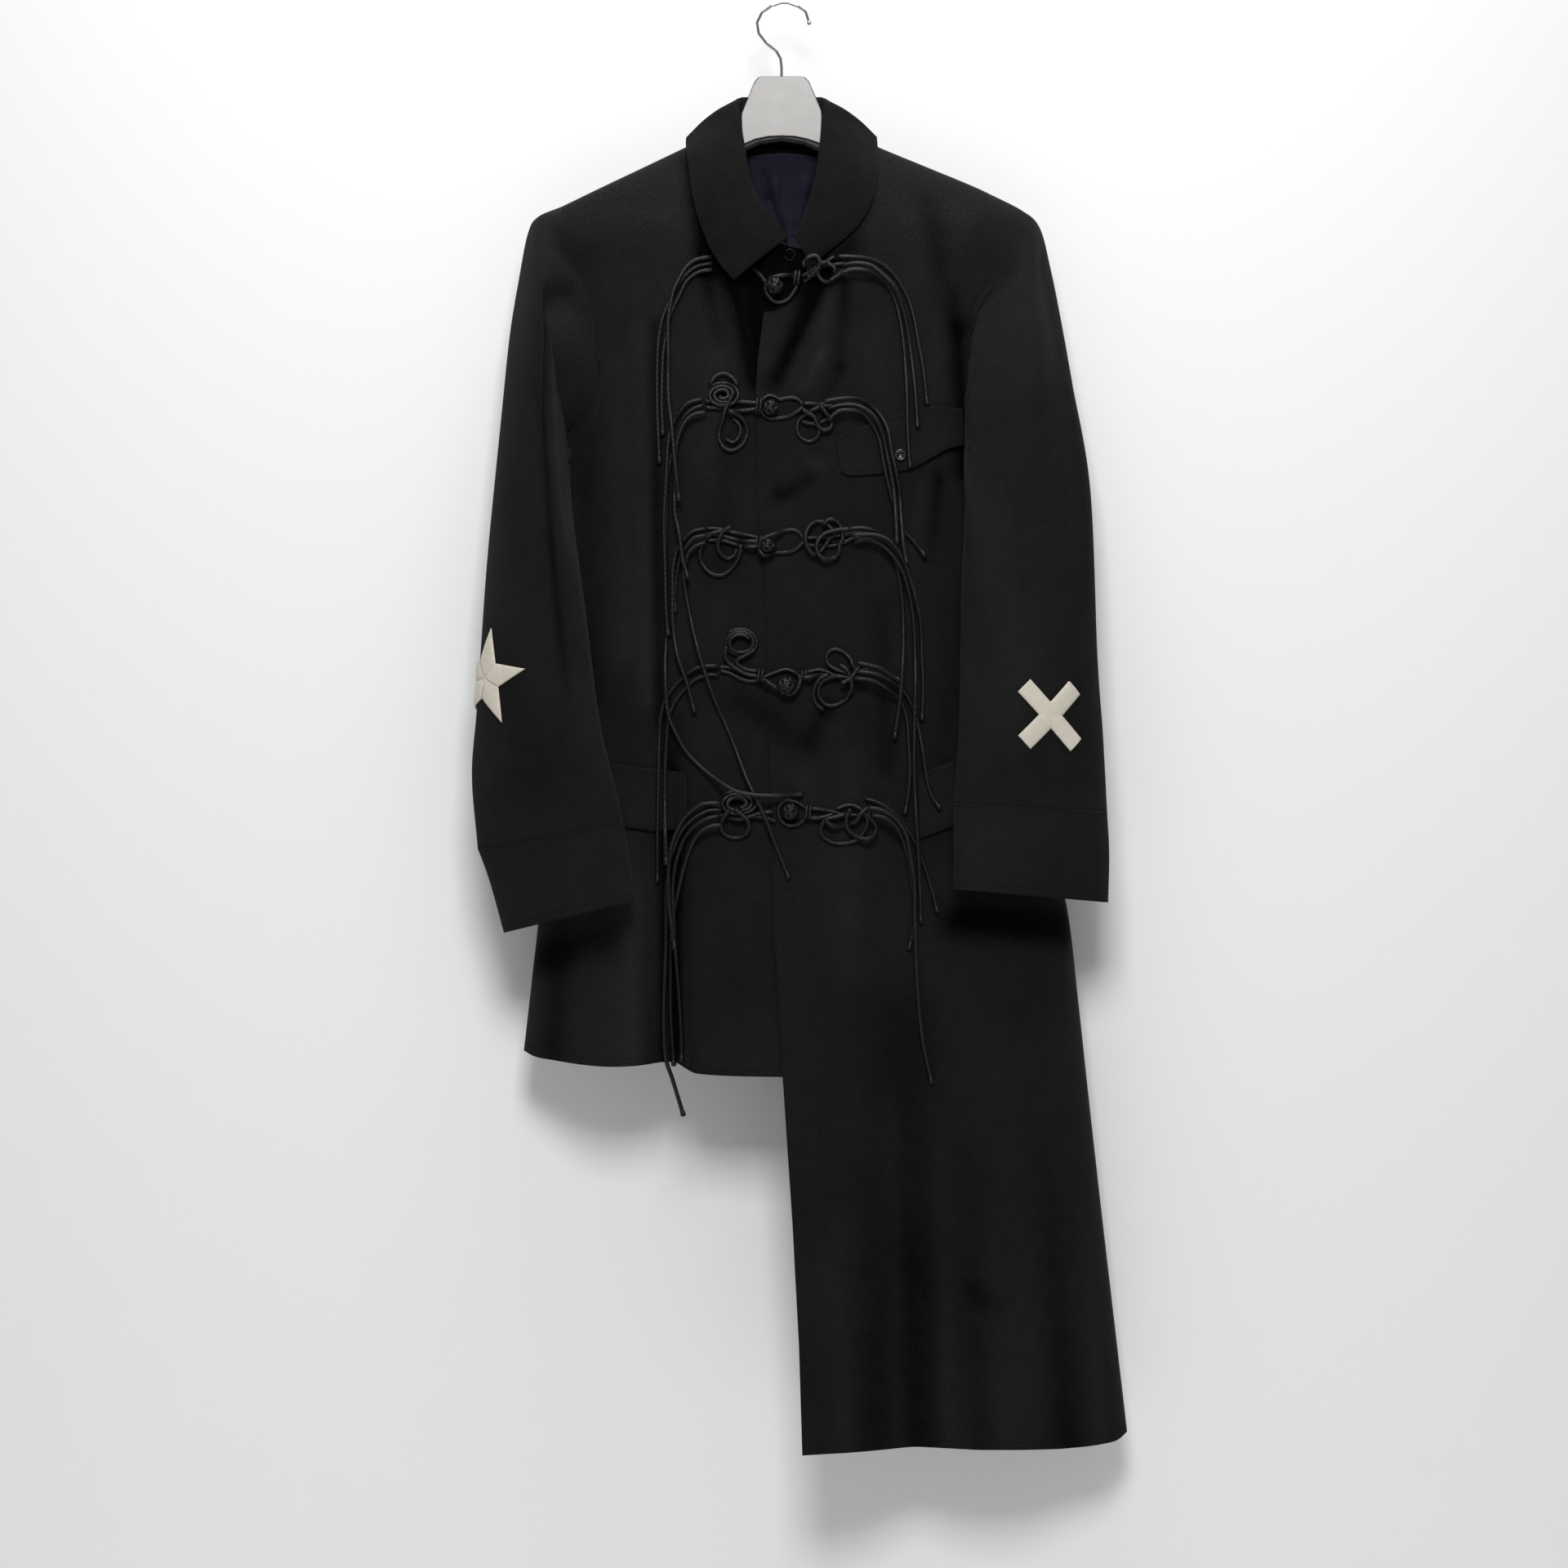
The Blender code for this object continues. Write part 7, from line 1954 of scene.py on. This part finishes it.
# %% Putting the finishes on
LOOKS = {"coat_cloth": wool, "neck_lining": satin, "cord": braid, "patch_thread": thread, "button_horn": horn,
         "hook_steel": steel, "hanger_body": body_grey}
for piece in bpy.data.objects:
    if piece.type in ("MESH", "CURVE") and piece.get("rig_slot"):
        piece.data.materials.clear()
        piece.data.materials.append(LOOKS[piece["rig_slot"]])
for name, look in (("hanger_hook", steel), ("neck_hook", dull), ("hanger_plate", grey), ("hanger_body", body_grey)):
    for slot in frame["nodes"][name].material_slots:
        slot.material = look
bpy.data.objects["long_front"].data.materials.append(satin)

# %% [markdown]
# The stage: a pale wall that the coat almost touches and a pale floor far below. The wall is see-through from
# behind and lets the back's own light through, so a view from the back shows the coat. The main light is a soft
# one straight in front and above the hook, so the hems and cuffs throw short, soft shadows down the wall. A
# second light over the shoulders lifts them out of the dark front.

# %% Stage
WALL_Y, WALL_SIZE, WALL_MIDDLE = 0.071, 6, -0.9
FLOOR_Z, FLOOR_SIZE = -1.62, 12
WORLD_COLOUR, WORLD_STRENGTH = (0.97, 0.98, 1.0, 1), 0.19
deselect_all()
bpy.ops.mesh.primitive_plane_add(size=WALL_SIZE, location=(0, WALL_Y, WALL_MIDDLE), rotation=(math.pi / 2, 0, 0))
wall = bpy.context.object
wall.name = "pale_wall"
bpy.ops.mesh.primitive_plane_add(size=FLOOR_SIZE, location=(0, 0, FLOOR_Z))
floor = bpy.context.object
floor.name = "pale_floor"
paper, tree, shader = new_material("pale_paper", (0.80, 0.805, 0.81), 0.9)
floor.data.materials.append(paper)
wall_look, tree, shader = new_material("pale_wall_paper", (0.9, 0.902, 0.905), 0.95, Specular_IOR_Level=0.1)
facing = add_node(tree, "ShaderNodeNewGeometry")
light_path = add_node(tree, "ShaderNodeLightPath")
clear = add_node(tree, "ShaderNodeBsdfTransparent")
mix = add_node(tree, "ShaderNodeMixShader")
link(tree, reckon(tree, "MAXIMUM", facing.outputs["Backfacing"], light_path.outputs["Is Shadow Ray"]), mix.inputs[0])
link(tree, shader.outputs[0], mix.inputs[1])
link(tree, clear.outputs[0], mix.inputs[2])
link(tree, mix.outputs[0], tree.nodes["Material Output"].inputs["Surface"])
wall.data.materials.append(wall_look)


def area_light(name, place, aim, size, power):
    """A square soft light at a place, turned to a point."""
    bpy.ops.object.light_add(type="AREA", location=place)
    light = bpy.context.object
    light.name = name
    light.data.shape = "SQUARE"
    light.data.size = size
    light.data.energy = power
    light.rotation_euler = (Vector(aim) - Vector(place)).to_track_quat("-Z", "Y").to_euler()
    return light


# Each light's place, aim, size and power.
area_light("front_softbox", (0.0, -2.2, 0.55), (0, 0, -0.6), 0.7, 40.5)
area_light("top_softbox", (0.0, -0.32, 1.25), (0, 0, -0.3), 0.9, 20)
area_light("back_softbox", (0.0, 2.8, 0.4), (0, 0, -0.6), 1.4, 36)
world = bpy.data.worlds.new("studio")
bpy.context.scene.world = world
world.use_nodes = True
backdrop = world.node_tree.nodes["Background"].inputs
backdrop["Color"].default_value = WORLD_COLOUR
backdrop["Strength"].default_value = WORLD_STRENGTH
bpy.context.scene.view_settings.view_transform = "Standard"
